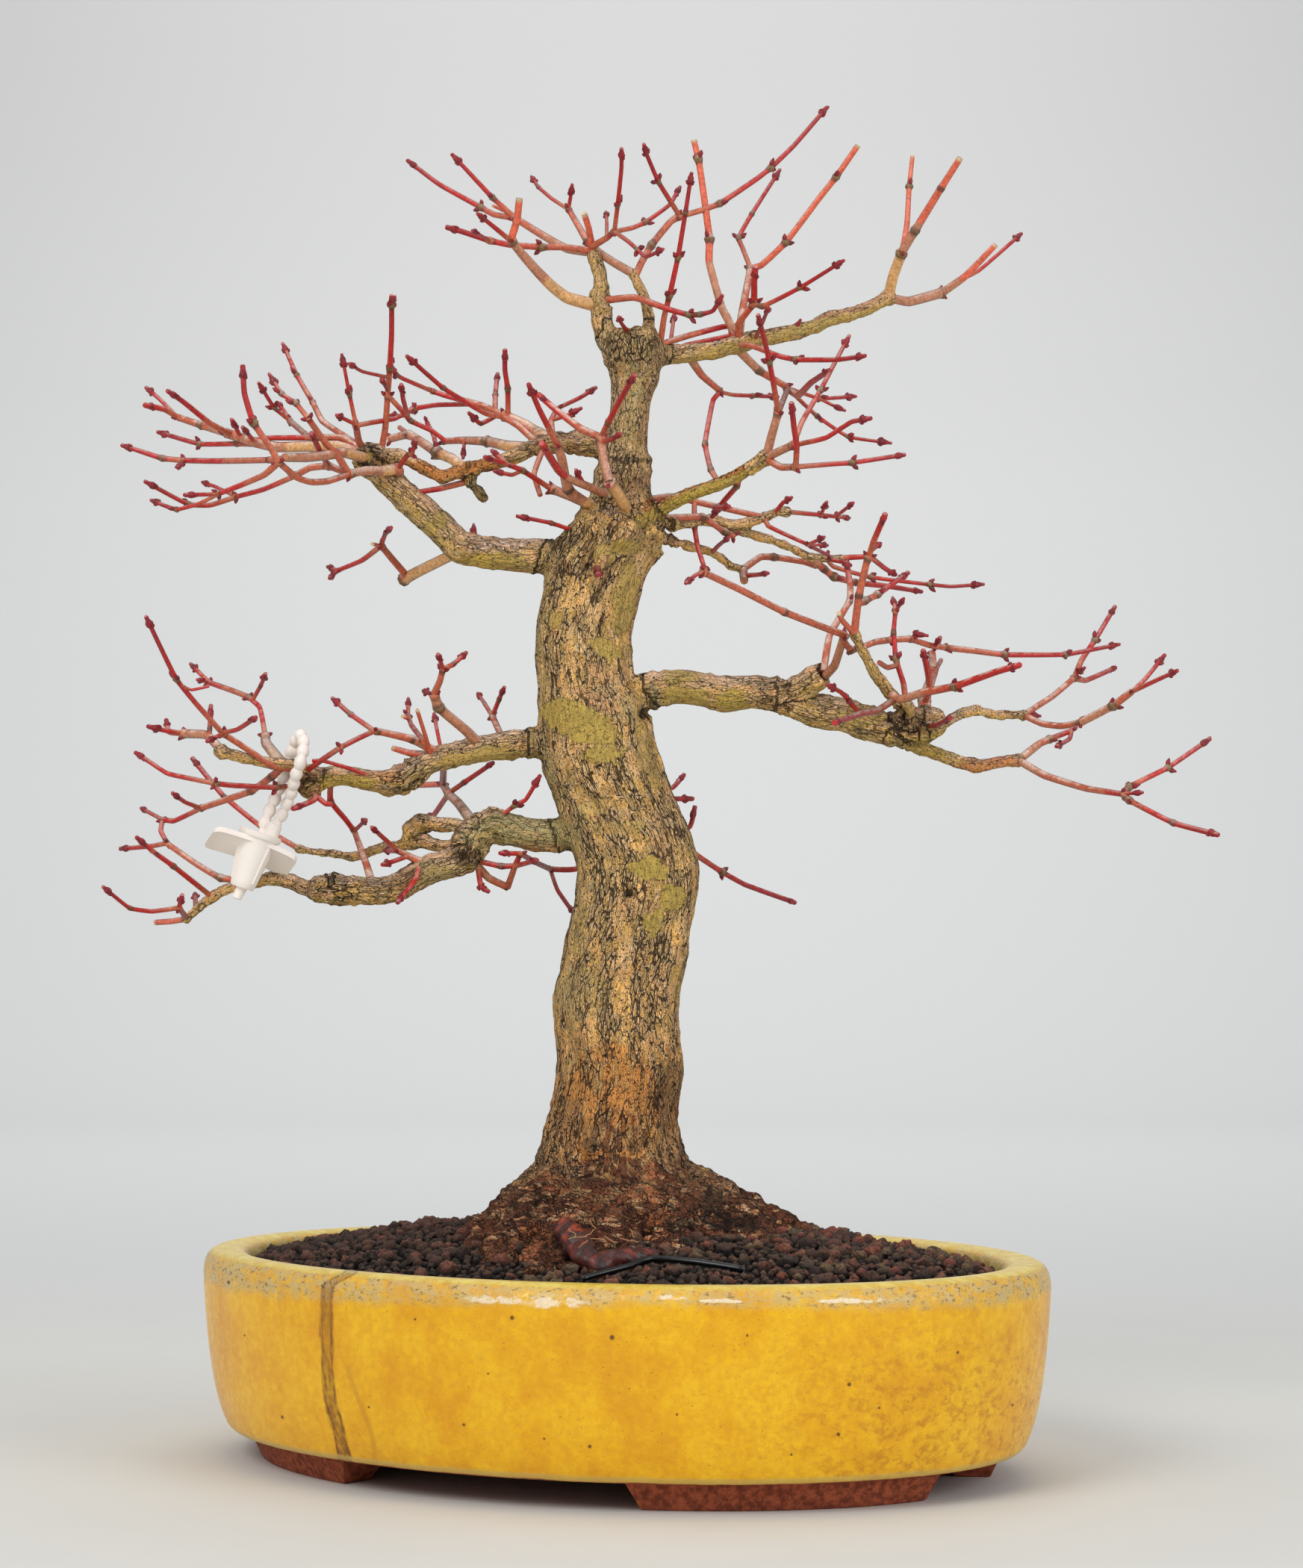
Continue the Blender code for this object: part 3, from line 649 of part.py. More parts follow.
def ring_frames(points):
    """A direction and a side at each point of a route, with the side carried along without twist."""
    frames = []
    side = None
    for index, point in enumerate(points):
        before = points[max(index - 1, 0)]
        after = points[min(index + 1, len(points) - 1)]
        along = (after - before).normalized()
        if side is None:
            side = along.cross(Vector((0.3, 0.9, 0.2))).normalized()
        side = (side - along * side.dot(along)).normalized()
        frames.append((along, side))
    return frames


def tube_rings(points, radii, sides):
    rings = []
    for point, radius, (along, side) in zip(points, radii, ring_frames(points)):
        other = along.cross(side)
        ring = []
        for index in range(sides):
            angle = math.tau * index / sides
            ring.append(point + (side * math.cos(angle) + other * math.sin(angle)) * radius)
        rings.append(ring)
    return rings


def sides_for(width):
    for limit, sides in ((3.05, 3), (4.9, 4), (7.0, 5), (9.7, 6)):
        if width < limit:
            return sides
    return 8


class Wood:
    """The grown axes so far, so that what comes next can start at the depth of what it grows from."""

    def __init__(self):
        self.samples = []

    def add(self, reading):
        for (x0, z0, b0, r0), (x1, z1, b1, r1) in zip(reading, reading[1:]):
            steps = max(1, int(math.hypot(x1 - x0, z1 - z0) / 1.5))
            for step in range(steps + 1):
                t = step / steps
                self.samples.append((x0 + (x1 - x0) * t, z0 + (z1 - z0) * t,
                                     b0 + (b1 - b0) * t, r0 + (r1 - r0) * t))

    def nearest(self, x, z, back):
        best = None
        for sample in self.samples:
            apart = math.hypot(sample[0] - x, sample[1] - z)
            reach = max(0.0, apart - sample[3])
            cost = reach * 6 + apart + 0.35 * abs(sample[2] - back)
            if best is None or cost < best[0]:
                best = (cost, sample)
        return best[1]


def straighten(route, slack):
    """The route without the points that lie within `slack` of a straight run."""
    (x0, z0, _), (x1, z1, _) = route[0], route[-1]
    length = math.hypot(x1 - x0, z1 - z0)
    furthest, distance = None, slack
    for index in range(1, len(route) - 1):
        x, z, swell = route[index]
        if length > 0.1:
            away = abs((x1 - x0) * (z - z0) - (z1 - z0) * (x - x0)) / length
        else:
            away = math.hypot(x - x0, z - z0)
        if swell > 1.05:
            away += slack * 6 * (swell - 1)
        if away > distance:
            furthest, distance = index, away
    if furthest is None:
        return [route[0], route[-1]]
    return straighten(route[:furthest + 1], slack)[:-1] + straighten(route[furthest:], slack)


def reading_of(entry, wood):
    """The route of a limb or shoot as x, height, back and radius, rooted in what it grows from."""
    back_start, back_end, width_start, width_end, ending = entry[:5]
    thin = max(width_start, width_end) < THIN_WOOD
    route = [(*point[:2], 1.0 if thin or len(point) == 2 else point[2]) for point in entry[5:]]
    route = straighten(route, THIN_SLACK if thin else THICK_SLACK)
    root_x, root_z = route[0][:2]
    if wood.samples:
        parent = wood.nearest(root_x, root_z, back_start)
        back_start = parent[2]
        route[0] = (parent[0] * 0.7 + root_x * 0.3, parent[1] * 0.7 + root_z * 0.3, 1.0)
    if ending == "sunk" and wood.samples:
        back_end = wood.nearest(route[-1][0], route[-1][1], back_end)[2]
    run = [0.0]
    for (x0, z0, _), (x1, z1, _) in zip(route, route[1:]):
        run.append(run[-1] + math.hypot(x1 - x0, z1 - z0))
    reading = []
    for (x, z, swell), distance in zip(route, run):
        t = distance / run[-1]
        width = width_start + (width_end - width_start) * t
        reading.append((x, z, back_start + (back_end - back_start) * t, width * swell * 0.5))
    return reading


def grow(name, entry, wood, extra=0.0):
    """One limb or shoot as a closed tube with its own ending."""
    reading = reading_of(entry, wood)
    wood.add(reading)
    ending = entry[4]
    points = [at(x, z, back) for x, z, back, radius in reading]
    radii = [(radius * (VIEW_DISTANCE + back) / VIEW_DISTANCE + extra) * MM for x, z, back, radius in reading]
    tip = None
    if extra:
        points[-1] += (points[-1] - points[-2]).normalized() * extra * MM
    if ending == "bud":
        along = (points[-1] - points[-2]).normalized()
        tip = points[-1]
        points[-1] = tip - along * min(BUD_LENGTH * MM, (points[-1] - points[-2]).length * 0.6)
        radii[-1] *= BUD_SWELL
    elif ending == "knob":
        along = (points[-1] - points[-2]).normalized()
        points.append(points[-1] + along * radii[-1] * 0.7)
        radii.append(radii[-1] * 0.6)
    rings = tube_rings(points, radii, sides_for(max(entry[2], entry[3])))

    def build(shape):
        loops = loft(shape, rings)
        if tip is not None:
            bmesh.ops.delete(shape, geom=[face for face in shape.faces if set(face.verts) == set(loops[-1])],
                             context="FACES_ONLY")
            point = shape.verts.new(tip)
            for index, vert in enumerate(loops[-1]):
                shape.faces.new((vert, loops[-1][(index + 1) % len(loops[-1])], point))

    return mesh_object(name, build)


def trunk(name, wood, extra=0.0, top=None):
    rings = []
    reading = []
    for height, left, right, depth in TRUNK:
        if top is not None and height > top:
            break
        low = extra if height == TRUNK[0][0] else 0.0
        middle = at((left + right) * 0.5, height - low, 0)
        half = (right - left) * 0.5
        reading.append(((left + right) * 0.5, height, 0, half * 0.8))
        ring = []
        for index in range(TRUNK_SIDES):
            angle = math.tau * index / TRUNK_SIDES
            swell = 1.0 + 0.05 * math.sin(3 * angle + height * 0.045) + 0.035 * math.sin(5 * angle - height * 0.07)
            swell = 1.0 if abs(math.sin(angle)) < 0.2 else swell
            ring.append(middle + Vector((math.cos(angle) * (half * swell + extra),
                                         math.sin(angle) * (depth * swell + extra), 0)) * MM)
        rings.append(ring)
    wood.add(reading)
    return mesh_object(name, lambda shape: loft(shape, rings))


def make_tree():
    wood = Wood()
    pieces = [trunk("tree", wood)]
    for index, entry in enumerate(ROOTS):
        pieces.append(grow("root_%d" % index, entry, wood))
    for index, entry in enumerate(LIMBS):
        pieces.append(grow("limb_%d" % index, entry, wood))
    for index, entry in enumerate(SHOOTS):
        pieces.append(grow("shoot_%d" % index, entry, wood))
    return keep_largest(join_all("tree", pieces))


def root_mould():
    """The foot of the tree with its roots, a clearance larger all round, to take out of the soil."""
    wood = Wood()
    pieces = [trunk("mould", wood, CLEARANCE, SOIL_MOULD_TOP)]
    for index, entry in enumerate(ROOTS):
        pieces.append(grow("mould_%d" % index, entry, wood, CLEARANCE))
    return join_all("mould", pieces)


def foot(name, start, end):
    """One foot: a piece of the foot ring between two angles, with ends that slant inwards."""
    def build(shape):
        rings = []
        for index in range(FOOT_SEGMENTS + 1):
            angle = start + (end - start) * index / FOOT_SEGMENTS
            slant = FOOT_SLANT * (1 - 2 * index / FOOT_SEGMENTS)
            top = FOOT_HEIGHT + FOOT_OVERLAP
            rings.append([pot_point(angle + slant, FOOT_INSET, 0),
                          pot_point(angle - slant, FOOT_INSET - FOOT_BATTER, top),
                          pot_point(angle - slant, FOOT_INSET + FOOT_WIDTH, top),
                          pot_point(angle + slant, FOOT_INSET + FOOT_WIDTH - FOOT_BATTER * 0.5, 0)])
        loft(shape, rings)
    return mesh_object(name, build)


def upright(name, x, y, radius, low, high, sides=12):
    """A plain upright round bar, used to cut a hole."""
    def build(shape):
        turns = [math.tau * k / sides for k in range(sides)]
        loft(shape, [[Vector((x + radius * math.cos(turn), y + radius * math.sin(turn), height)) * MM
                      for turn in turns] for height in (low, high)])
    return mesh_object(name, build)


def drain_place(side):
    centre = pot_point(0, POT_HALF_LENGTH - DRAIN_SPAN, 0) / MM
    other = pot_point(math.pi, POT_HALF_LENGTH - DRAIN_SPAN, 0) / MM
    return centre if side > 0 else other


def wire_points(below=WIRE_FOOT):
    """The stretch on the soil, with a leg that goes down at each end through the soil and the floor of the pot."""
    over = [at(*reading) for reading in WIRE_ROUTE]
    legs = []
    for end, lean in ((over[0], 2.0), (over[-1], -2.0)):
        x = end.x + lean * MM
        legs.append([Vector((x, WIRE_LEG_Y * MM, WIRE_TURN * MM)), Vector((x, WIRE_LEG_Y * MM, below * MM))])
    return legs[0][::-1] + over + legs[1]


def wall_ring(inset, height):
    return [pot_point(math.tau * k / WALL_SEGMENTS, inset, height) for k in range(WALL_SEGMENTS)]


def lip_outline():
    """The rounded lip from the outer wall over to the inner one: half of a squared oval."""
    half = LIP_WIDTH * 0.5
    outline = []
    for step in range(LIP_POINTS + 1):
        turn = math.pi * step / LIP_POINTS
        across = abs(math.cos(turn)) ** (2 / LIP_SQUARENESS) * (1 if turn < math.pi * 0.5 else -1)
        rise = abs(math.sin(turn)) ** (2 / LIP_SQUARENESS)
        outline.append((half - half * across, LIP_START + (POT_HEIGHT - LIP_START) * rise))
    return outline


def make_pot():
    def build(shape):
        rings = []
        for inset, height in (*OUTER_WALL, *lip_outline(), *INNER_WALL):
            rings.append(wall_ring(inset, height))
        loft(shape, rings)

    pieces = [mesh_object("pot", build)]
    side = SIDE_GAP * 0.5
    end = END_GAP * 0.5
    quarter = math.pi * 0.5
    half = math.pi
    spans = ((end, quarter - side), (quarter + side, half - end),
             (half + end, half + quarter - side), (half + quarter + side, 2 * half - end))
    for index, (start, stop) in enumerate(spans):
        pieces.append(foot("foot_%d" % index, start, stop))
    pot = join_all("pot", pieces)
    cutters = []
    for side in (-1, 1):
        place = drain_place(side)
        cutters.append(upright("drain_cut_%d" % side, place.x, place.y, DRAIN_RADIUS, 4, FLOOR_TOP + 5, 20))
    legs = wire_points()
    for index, leg in enumerate((legs[0], legs[-1])):
        name = "wire_cut_%d" % index
        cutters.append(upright(name, leg.x / MM, leg.y / MM, WIRE_HOLE_RADIUS, 4, FLOOR_TOP + 5))
    return join_all("pot", [pot] + cutters, "DIFFERENCE")


def soil_height(angle, share):
    """The mound: highest at the trunk, low at the lip, with a coarse gritty relief."""
    mound = SOIL_EDGE_HEIGHT + SOIL_RISE * (1 - share ** 2.2)
    waves = ((23, 31, 0), (14, -47, 2), (5, 83, 0))
    grit = sum(math.sin(angle * turns + share * rings + shift) for turns, rings, shift in waves) / len(waves)
    return mound + (GRIT_HEIGHT * grit if share < 0.98 else 0)


def make_soil():
    inset = LIP_WIDTH + CLEARANCE + 0.2
    bottom = FLOOR_TOP + CLEARANCE

    def build(shape):
        rings = []
        for wall_inset, height in reversed(INNER_WALL):
            spare = wall_inset + CLEARANCE * 1.15
            low = max(height, bottom)
            rings.append(wall_ring(spare, low))
        for step in range(SOIL_RINGS):
            share = 1 - step / SOIL_RINGS
            ring = []
            for k in range(WALL_SEGMENTS):
                angle = math.tau * k / WALL_SEGMENTS
                edge = pot_point(angle, inset, 0)
                middle = Vector((-MIDDLE_X, -MIDDLE_Y, 0)) * MM
                place = middle + (edge - middle) * share
                place.z = soil_height(angle, share) * MM
                ring.append(place)
            rings.append(ring)
        loft(shape, rings)

    soil = mesh_object("soil", build)
    cutters = [root_mould()]
    reach = SCREEN_SIZE * 0.5 + CLEARANCE * 2
    for side in (-1, 1):
        place = drain_place(side)
        top = FLOOR_TOP + SCREEN_HEIGHT + CLEARANCE * 2
        cutters.append(box_at("pocket_%d" % side, place.x, place.y, reach, 10, top))
    channel = wire_points(10.0)
    radii = [(WIRE_DIAMETER * 0.5 + CLEARANCE * 2) * MM] * len(channel)
    cutters.append(mesh_object("channel", lambda shape: loft(shape, tube_rings(channel, radii, 8))))
    return join_all("soil", [soil] + cutters, "DIFFERENCE")


def box_at(name, x, y, reach, low, high):
    corners = ((1, 1), (-1, 1), (-1, -1), (1, -1))

    def build(shape):
        loft(shape, [[turned(x, y, u * reach, v * reach, height) for u, v in corners] for height in (low, high)])
    return mesh_object(name, build)


def turned(x, y, along, across, height):
    return Vector((x + along * math.cos(POT_TURN) - across * math.sin(POT_TURN),
                   y + along * math.sin(POT_TURN) + across * math.cos(POT_TURN), height)) * MM


def make_screen(name, side):
    """A square plastic mesh that covers a drainage hole: crossing bars in one moulding."""
    place = drain_place(side)
    low = FLOOR_TOP + CLEARANCE
    high = low + SCREEN_HEIGHT
    half = SCREEN_SIZE * 0.5
    pieces = []
    for index in range(SCREEN_BARS):
        offset = -half + SCREEN_BAR * 0.5 + (SCREEN_SIZE - SCREEN_BAR) * index / (SCREEN_BARS - 1)
        for along in (True, False):
            near, far = offset - SCREEN_BAR * 0.5, offset + SCREEN_BAR * 0.5
            reach = half if along else half - SCREEN_BAR * 0.4
            corners = ((reach, far), (-reach, far), (-reach, near), (reach, near))
            if not along:
                corners = [(v, u) for u, v in corners]
            spare = 0.0 if along else 0.15

            def build(shape, corners=corners, spare=spare):
                loft(shape, [[turned(place.x, place.y, u, v, height) for u, v in corners]
                             for height in (low + spare, high - spare)])

            pieces.append(mesh_object("%s_bar" % name, build))
    return join_all(name, pieces)


def make_wire():
    points = wire_points()
    points.insert(0, points[0] + Vector((-7, 0, -0.4)) * MM)
    points.append(points[-1] + Vector((7, 0, -0.4)) * MM)
    radius = WIRE_DIAMETER * 0.5 * MM
    return mesh_object("tie_wire", lambda shape: loft(shape, tube_rings(points, [radius] * len(points), 8)))


def strap_points():
    """The strap's route, read as a smooth curve through its own points."""
    route = [at(*reading) for reading in STRAP_ROUTE]
    smooth = []
    for index in range(len(route) - 1):
        before = route[max(index - 1, 0)]
        start, end = route[index], route[index + 1]
        after = route[min(index + 2, len(route) - 1)]
        for step in range(4):
            t = step / 4
            smooth.append(0.5 * ((2 * start) + (end - before) * t + (2 * before - 5 * start + 4 * end - after) * t * t
                                 + (3 * start - before - 3 * end + after) * t * t * t))
    smooth.append(route[-1])
    return smooth


def beaded(route):
    """Stations and radii along a route that swells into beads."""
    stations, radii = [route[0]], [STRAP_DIAMETER * 0.5 * MM]
    steps = ((0.3, BEAD_DIAMETER * 0.5), (0.7, BEAD_DIAMETER * 0.5), (1.0, STRAP_DIAMETER * 0.5))
    travelled = 0.0
    turn = 0
    for before, after in zip(route, route[1:]):
        length = (after - before).length
        while True:
            share, radius = steps[turn % 3]
            due = (turn // 3 + share) * BEAD_PITCH * MM
            if due > travelled + length:
                break
            stations.append(before.lerp(after, (due - travelled) / length))
            radii.append(radius * MM)
            turn += 1
        travelled += length
    stations.append(route[-1])
    radii.append(STRAP_DIAMETER * 0.5 * MM)
    return stations, radii


def make_tag():
    stations, radii = beaded(strap_points())
    pieces = [mesh_object("tag", lambda shape: loft(shape, tube_rings(stations, radii, 6)))]
    top, low, nozzle = at(*LOCK_TOP), at(*LOCK_END), at(*NOZZLE_END)
    axis = (low - top).normalized()
    profile = ((top - axis * 2.2 * MM, COLLAR_RADIUS), (top, COLLAR_RADIUS), (top, LOCK_TOP_RADIUS),
               (low, LOCK_END_RADIUS), (low, NOZZLE_RADIUS), (nozzle, NOZZLE_RADIUS * 0.9))
    places = [point + axis * 0.02 * MM * index for index, (point, radius) in enumerate(profile)]
    rings = tube_rings(places, [radius * MM for point, radius in profile], 12)
    pieces.append(mesh_object("lock", lambda shape: loft(shape, rings)))
    pieces.append(make_plate(axis))
    return join_all("tag", pieces)


def make_plate(axis):
    """The writing plate: a thin slab across the lock, bent a little about its middle."""
    middle = at(*PLATE_MIDDLE)
    long_way = Vector(PLATE_LONG_WAY).normalized()
    short_way = (axis - long_way * axis.dot(long_way)).normalized()
    face = long_way.cross(short_way)
    rings = []
    for step in range(PLATE_STATIONS):
        u = step / (PLATE_STATIONS - 1) - 0.5
        sag = 4 * u * u * PLATE_SAG
        centre = middle + long_way * u * PLATE_LENGTH * MM + short_way * sag * MM
        ends = 1.0 if step in (0, PLATE_STATIONS - 1) else 0.6
        half = PLATE_WIDTH * 0.5 * (1 - 0.56 * abs(u) * ends)
        thin = PLATE_THICKNESS * 0.5
        rings.append([centre + (short_way * v * half + face * w * thin) * MM
                      for v, w in ((-1, -1), (1, -1), (1, 1), (-1, 1))])
    return mesh_object("plate", lambda shape: loft(shape, rings))


clear_scene()
for piece in (make_tree(), make_pot(), make_soil(), make_wire(), make_tag(),
              make_screen("screen_left", -1), make_screen("screen_right", 1)):
    paint(piece)
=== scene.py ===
import math
import random

import bmesh
import bpy
import numpy as np
from mathutils import Matrix, Vector, noise
from mathutils.bvhtree import BVHTree
from mathutils.kdtree import KDTree


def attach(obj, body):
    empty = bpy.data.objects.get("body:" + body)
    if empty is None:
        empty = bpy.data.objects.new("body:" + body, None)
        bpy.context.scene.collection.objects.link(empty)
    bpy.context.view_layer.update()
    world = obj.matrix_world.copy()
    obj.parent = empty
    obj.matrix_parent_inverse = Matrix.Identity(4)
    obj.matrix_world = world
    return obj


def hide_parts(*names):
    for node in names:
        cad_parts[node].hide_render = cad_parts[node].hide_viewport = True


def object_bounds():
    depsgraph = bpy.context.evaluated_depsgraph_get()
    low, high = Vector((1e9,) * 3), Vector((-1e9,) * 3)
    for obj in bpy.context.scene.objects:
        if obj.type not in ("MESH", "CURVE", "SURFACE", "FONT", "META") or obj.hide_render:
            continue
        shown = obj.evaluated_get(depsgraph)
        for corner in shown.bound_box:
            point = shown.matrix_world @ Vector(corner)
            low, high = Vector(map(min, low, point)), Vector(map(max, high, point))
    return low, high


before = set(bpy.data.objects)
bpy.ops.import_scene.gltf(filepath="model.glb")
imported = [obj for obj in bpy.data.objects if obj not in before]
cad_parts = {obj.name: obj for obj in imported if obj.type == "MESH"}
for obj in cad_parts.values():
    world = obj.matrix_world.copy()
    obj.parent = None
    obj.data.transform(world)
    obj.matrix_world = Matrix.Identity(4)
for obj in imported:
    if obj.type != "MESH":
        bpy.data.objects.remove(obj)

cadBox = [list(corner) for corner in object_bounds()]
mm = 0.001
dice = random.Random(7)


# camera, lights and backdrop
# the photo is taken from the front, a little above the middle of the trunk, from 1.2 m
viewSettings = {
    "eyeX": 12.0, "eyeZ": 180.0, "distance": 1200.0, "tiltUp": 2.72, "lens": 78.17,
    "middleX": 12.0,          # middle of the plant, from the middle of the pot
    "photoSize": (1745, 2100),
}
lightSettings = {
    "world": {"strength": 0.5, "colour": (0.93, 0.96, 1.0, 1)},
    "key": {"place": (-0.85, -1.15, 1.15), "size": 0.9, "power": 13.0, "colour": (1.0, 0.985, 0.955)},
    "fill": {"place": (1.25, -1.05, 0.7), "size": 1.0, "power": 9.5, "colour": (0.97, 0.985, 1.0)},
    "top": {"place": (0.05, 0.15, 1.5), "size": 1.1, "power": 3.5, "colour": (1.0, 0.995, 0.985)},
    "backdrop": {"place": (0.0, 1.5, 2.2), "size": 1.6, "power": 32.0, "colour": (1.0, 1.0, 1.0)},
}
plantAim = (0, 0.0, 0.2)
wallAim = (0, 3.2, 0.9)
stageSettings = {
    "width": 7.0, "front": -3.2, "back": 2.3, "cove": 0.9, "height": 3.4,
    "floorColour": (0.72, 0.71, 0.67), "paperColour": (0.67, 0.672, 0.66), "highPaper": (0.55, 0.55, 0.54),
    "changeFrom": 0.18, "changeTo": 0.75,     # where the floor's tone turns into the backdrop's
    "wallTones": (0.7, 1.5),                  # heights between which the wall darkens
}


def at(x, z, back):
    # a reading from the front (mm: x from the pot's middle, height, how far back) as a place in metres
    spread = (viewSettings["distance"] + back) / viewSettings["distance"]
    return Vector((viewSettings["eyeX"] + (x - viewSettings["eyeX"]) * spread - viewSettings["middleX"], back,
                   viewSettings["eyeZ"] + (z - viewSettings["eyeZ"]) * spread)) * mm


def deselectAll():
    for thing in bpy.context.selected_objects:
        thing.select_set(False)


def makeActive(thing):
    deselectAll()
    thing.select_set(True)
    bpy.context.view_layer.objects.active = thing


def joinPieces(name, parts):
    makeActive(parts[0])
    for part in parts:
        part.select_set(True)
    bpy.ops.object.join()
    parts[0].name = name
    parts[0].data.name = name
    return parts[0]


def keepInside(piece):
    # no tip reaches past the plant's own box
    low, high = (np.array(corner) for corner in cadBox)
    places = np.zeros(len(piece.data.vertices) * 3)
    piece.data.vertices.foreach_get("co", places)
    places = np.clip(places.reshape(-1, 3), low + 0.02 * mm, high - 0.02 * mm)
    piece.data.vertices.foreach_set("co", places.reshape(-1))
    piece.data.update()


def softBetween(a, b, c, d, t):
    # on a soft curve from b to c; a and d are the points before and after
    return 0.5 * (2 * b + (c - a) * t + (2 * a - 5 * b + 4 * c - d) * t * t
                  + (3 * b - a - 3 * c + d) * t ** 3)


def ringFaces(base, rings, sides):
    # faces between rings of vertices, and a cap at both ends
    faces = []
    for i in range(rings - 1):
        near, far = base + i * sides, base + (i + 1) * sides
        for k in range(sides):
            after = (k + 1) % sides
            faces.append((near + k, near + after, far + after, far + k))
    faces.append(tuple(base + k for k in reversed(range(sides))))
    faces.append(tuple(base + (rings - 1) * sides + k for k in range(sides)))
    return faces


def roundCurve(name, bevel, resolution):
    curve = bpy.data.curves.new(name, "CURVE")
    curve.dimensions = "3D"
    curve.bevel_depth = bevel
    curve.bevel_resolution = resolution
    curve.use_fill_caps = True
    return curve


def addSpline(curve, points, radii):
    # points and radii in metres, the radii against the curve's bevel
    spline = curve.splines.new("POLY")
    spline.points.add(len(points) - 1)
    for spot, point, radius in zip(spline.points, points, radii):
        spot.co = (*point, 1)
        spot.radius = radius


def curvePiece(curve):
    # the curve as a mesh
    made = bpy.data.objects.new(curve.name, curve)
    bpy.context.scene.collection.objects.link(made)
    makeActive(made)
    bpy.ops.object.convert(target="MESH")
    bpy.context.object.data.shade_smooth()
    return bpy.context.object


def storeValues(mesh, name, kind, values):
    layer = mesh.attributes.new(name, kind, "POINT")
    layer.data.foreach_set({"FLOAT": "value", "FLOAT_VECTOR": "vector", "FLOAT_COLOR": "color"}[kind],
                           np.ascontiguousarray(values, dtype=np.float32).reshape(-1))


def storePaint(mesh, name, colours, strength=1.0):
    alpha = np.broadcast_to(strength, len(colours)).reshape(-1, 1)
    storeValues(mesh, name, "FLOAT_COLOR", np.hstack([colours, alpha]))


def meshPiece(name, verts, faces):
    mesh = bpy.data.meshes.new(name)
    mesh.from_pydata([tuple(vert) for vert in verts], [], faces)
    mesh.validate()
    piece = bpy.data.objects.new(name, mesh)
    bpy.context.scene.collection.objects.link(piece)
    return piece


def faceOutwards(piece):
    makeActive(piece)
    bpy.ops.object.mode_set(mode="EDIT")
    bpy.ops.mesh.select_all(action="SELECT")
    bpy.ops.mesh.normals_make_consistent(inside=False)
    bpy.ops.object.mode_set(mode="OBJECT")


def dress(piece, material, node=None):
    # material, body and slot of a finished piece
    piece.data.materials.clear()
    piece.data.materials.append(material)
    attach(piece, "root")
    if node:
        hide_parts(node)
    return piece


def addCamera():
    bpy.ops.object.camera_add(location=(0, -viewSettings["distance"] * mm, viewSettings["eyeZ"] * mm),
                              rotation=(math.radians(90 + viewSettings["tiltUp"]), 0, 0))
    camera = bpy.context.object
    camera.location.x = (viewSettings["eyeX"] - viewSettings["middleX"]) * mm
    camera.data.lens = viewSettings["lens"]
    camera.data.sensor_width = 36.0
    camera.data.sensor_fit = "AUTO"
    camera.data.clip_start = 0.01
    bpy.context.scene.camera = camera


def addLights():
    for name, values in lightSettings.items():
        if name == "world":
            continue
        bpy.ops.object.light_add(type="AREA", location=values["place"])
        lamp = bpy.context.object
        lamp.name = name + "Light"
        lamp.data.shape = "DISK"
        lamp.data.size = values["size"]
        lamp.data.energy = values["power"]
        lamp.data.color = values["colour"]
        aim = Vector(wallAim if name == "backdrop" else plantAim)
        lamp.rotation_euler = (aim - Vector(values["place"])).to_track_quat("-Z", "Y").to_euler()
    world = bpy.data.worlds.new("studio")
    world.use_nodes = True
    background = world.node_tree.nodes["Background"]
    background.inputs["Color"].default_value = lightSettings["world"]["colour"]
    background.inputs["Strength"].default_value = lightSettings["world"]["strength"]
    bpy.context.scene.world = world


def srgb(r, g, b):
    out = []
    for value in (r, g, b):
        value /= 255
        out.append(value / 12.92 if value <= 0.04045 else ((value + 0.055) / 1.055) ** 2.4)
    return (*out, 1.0)


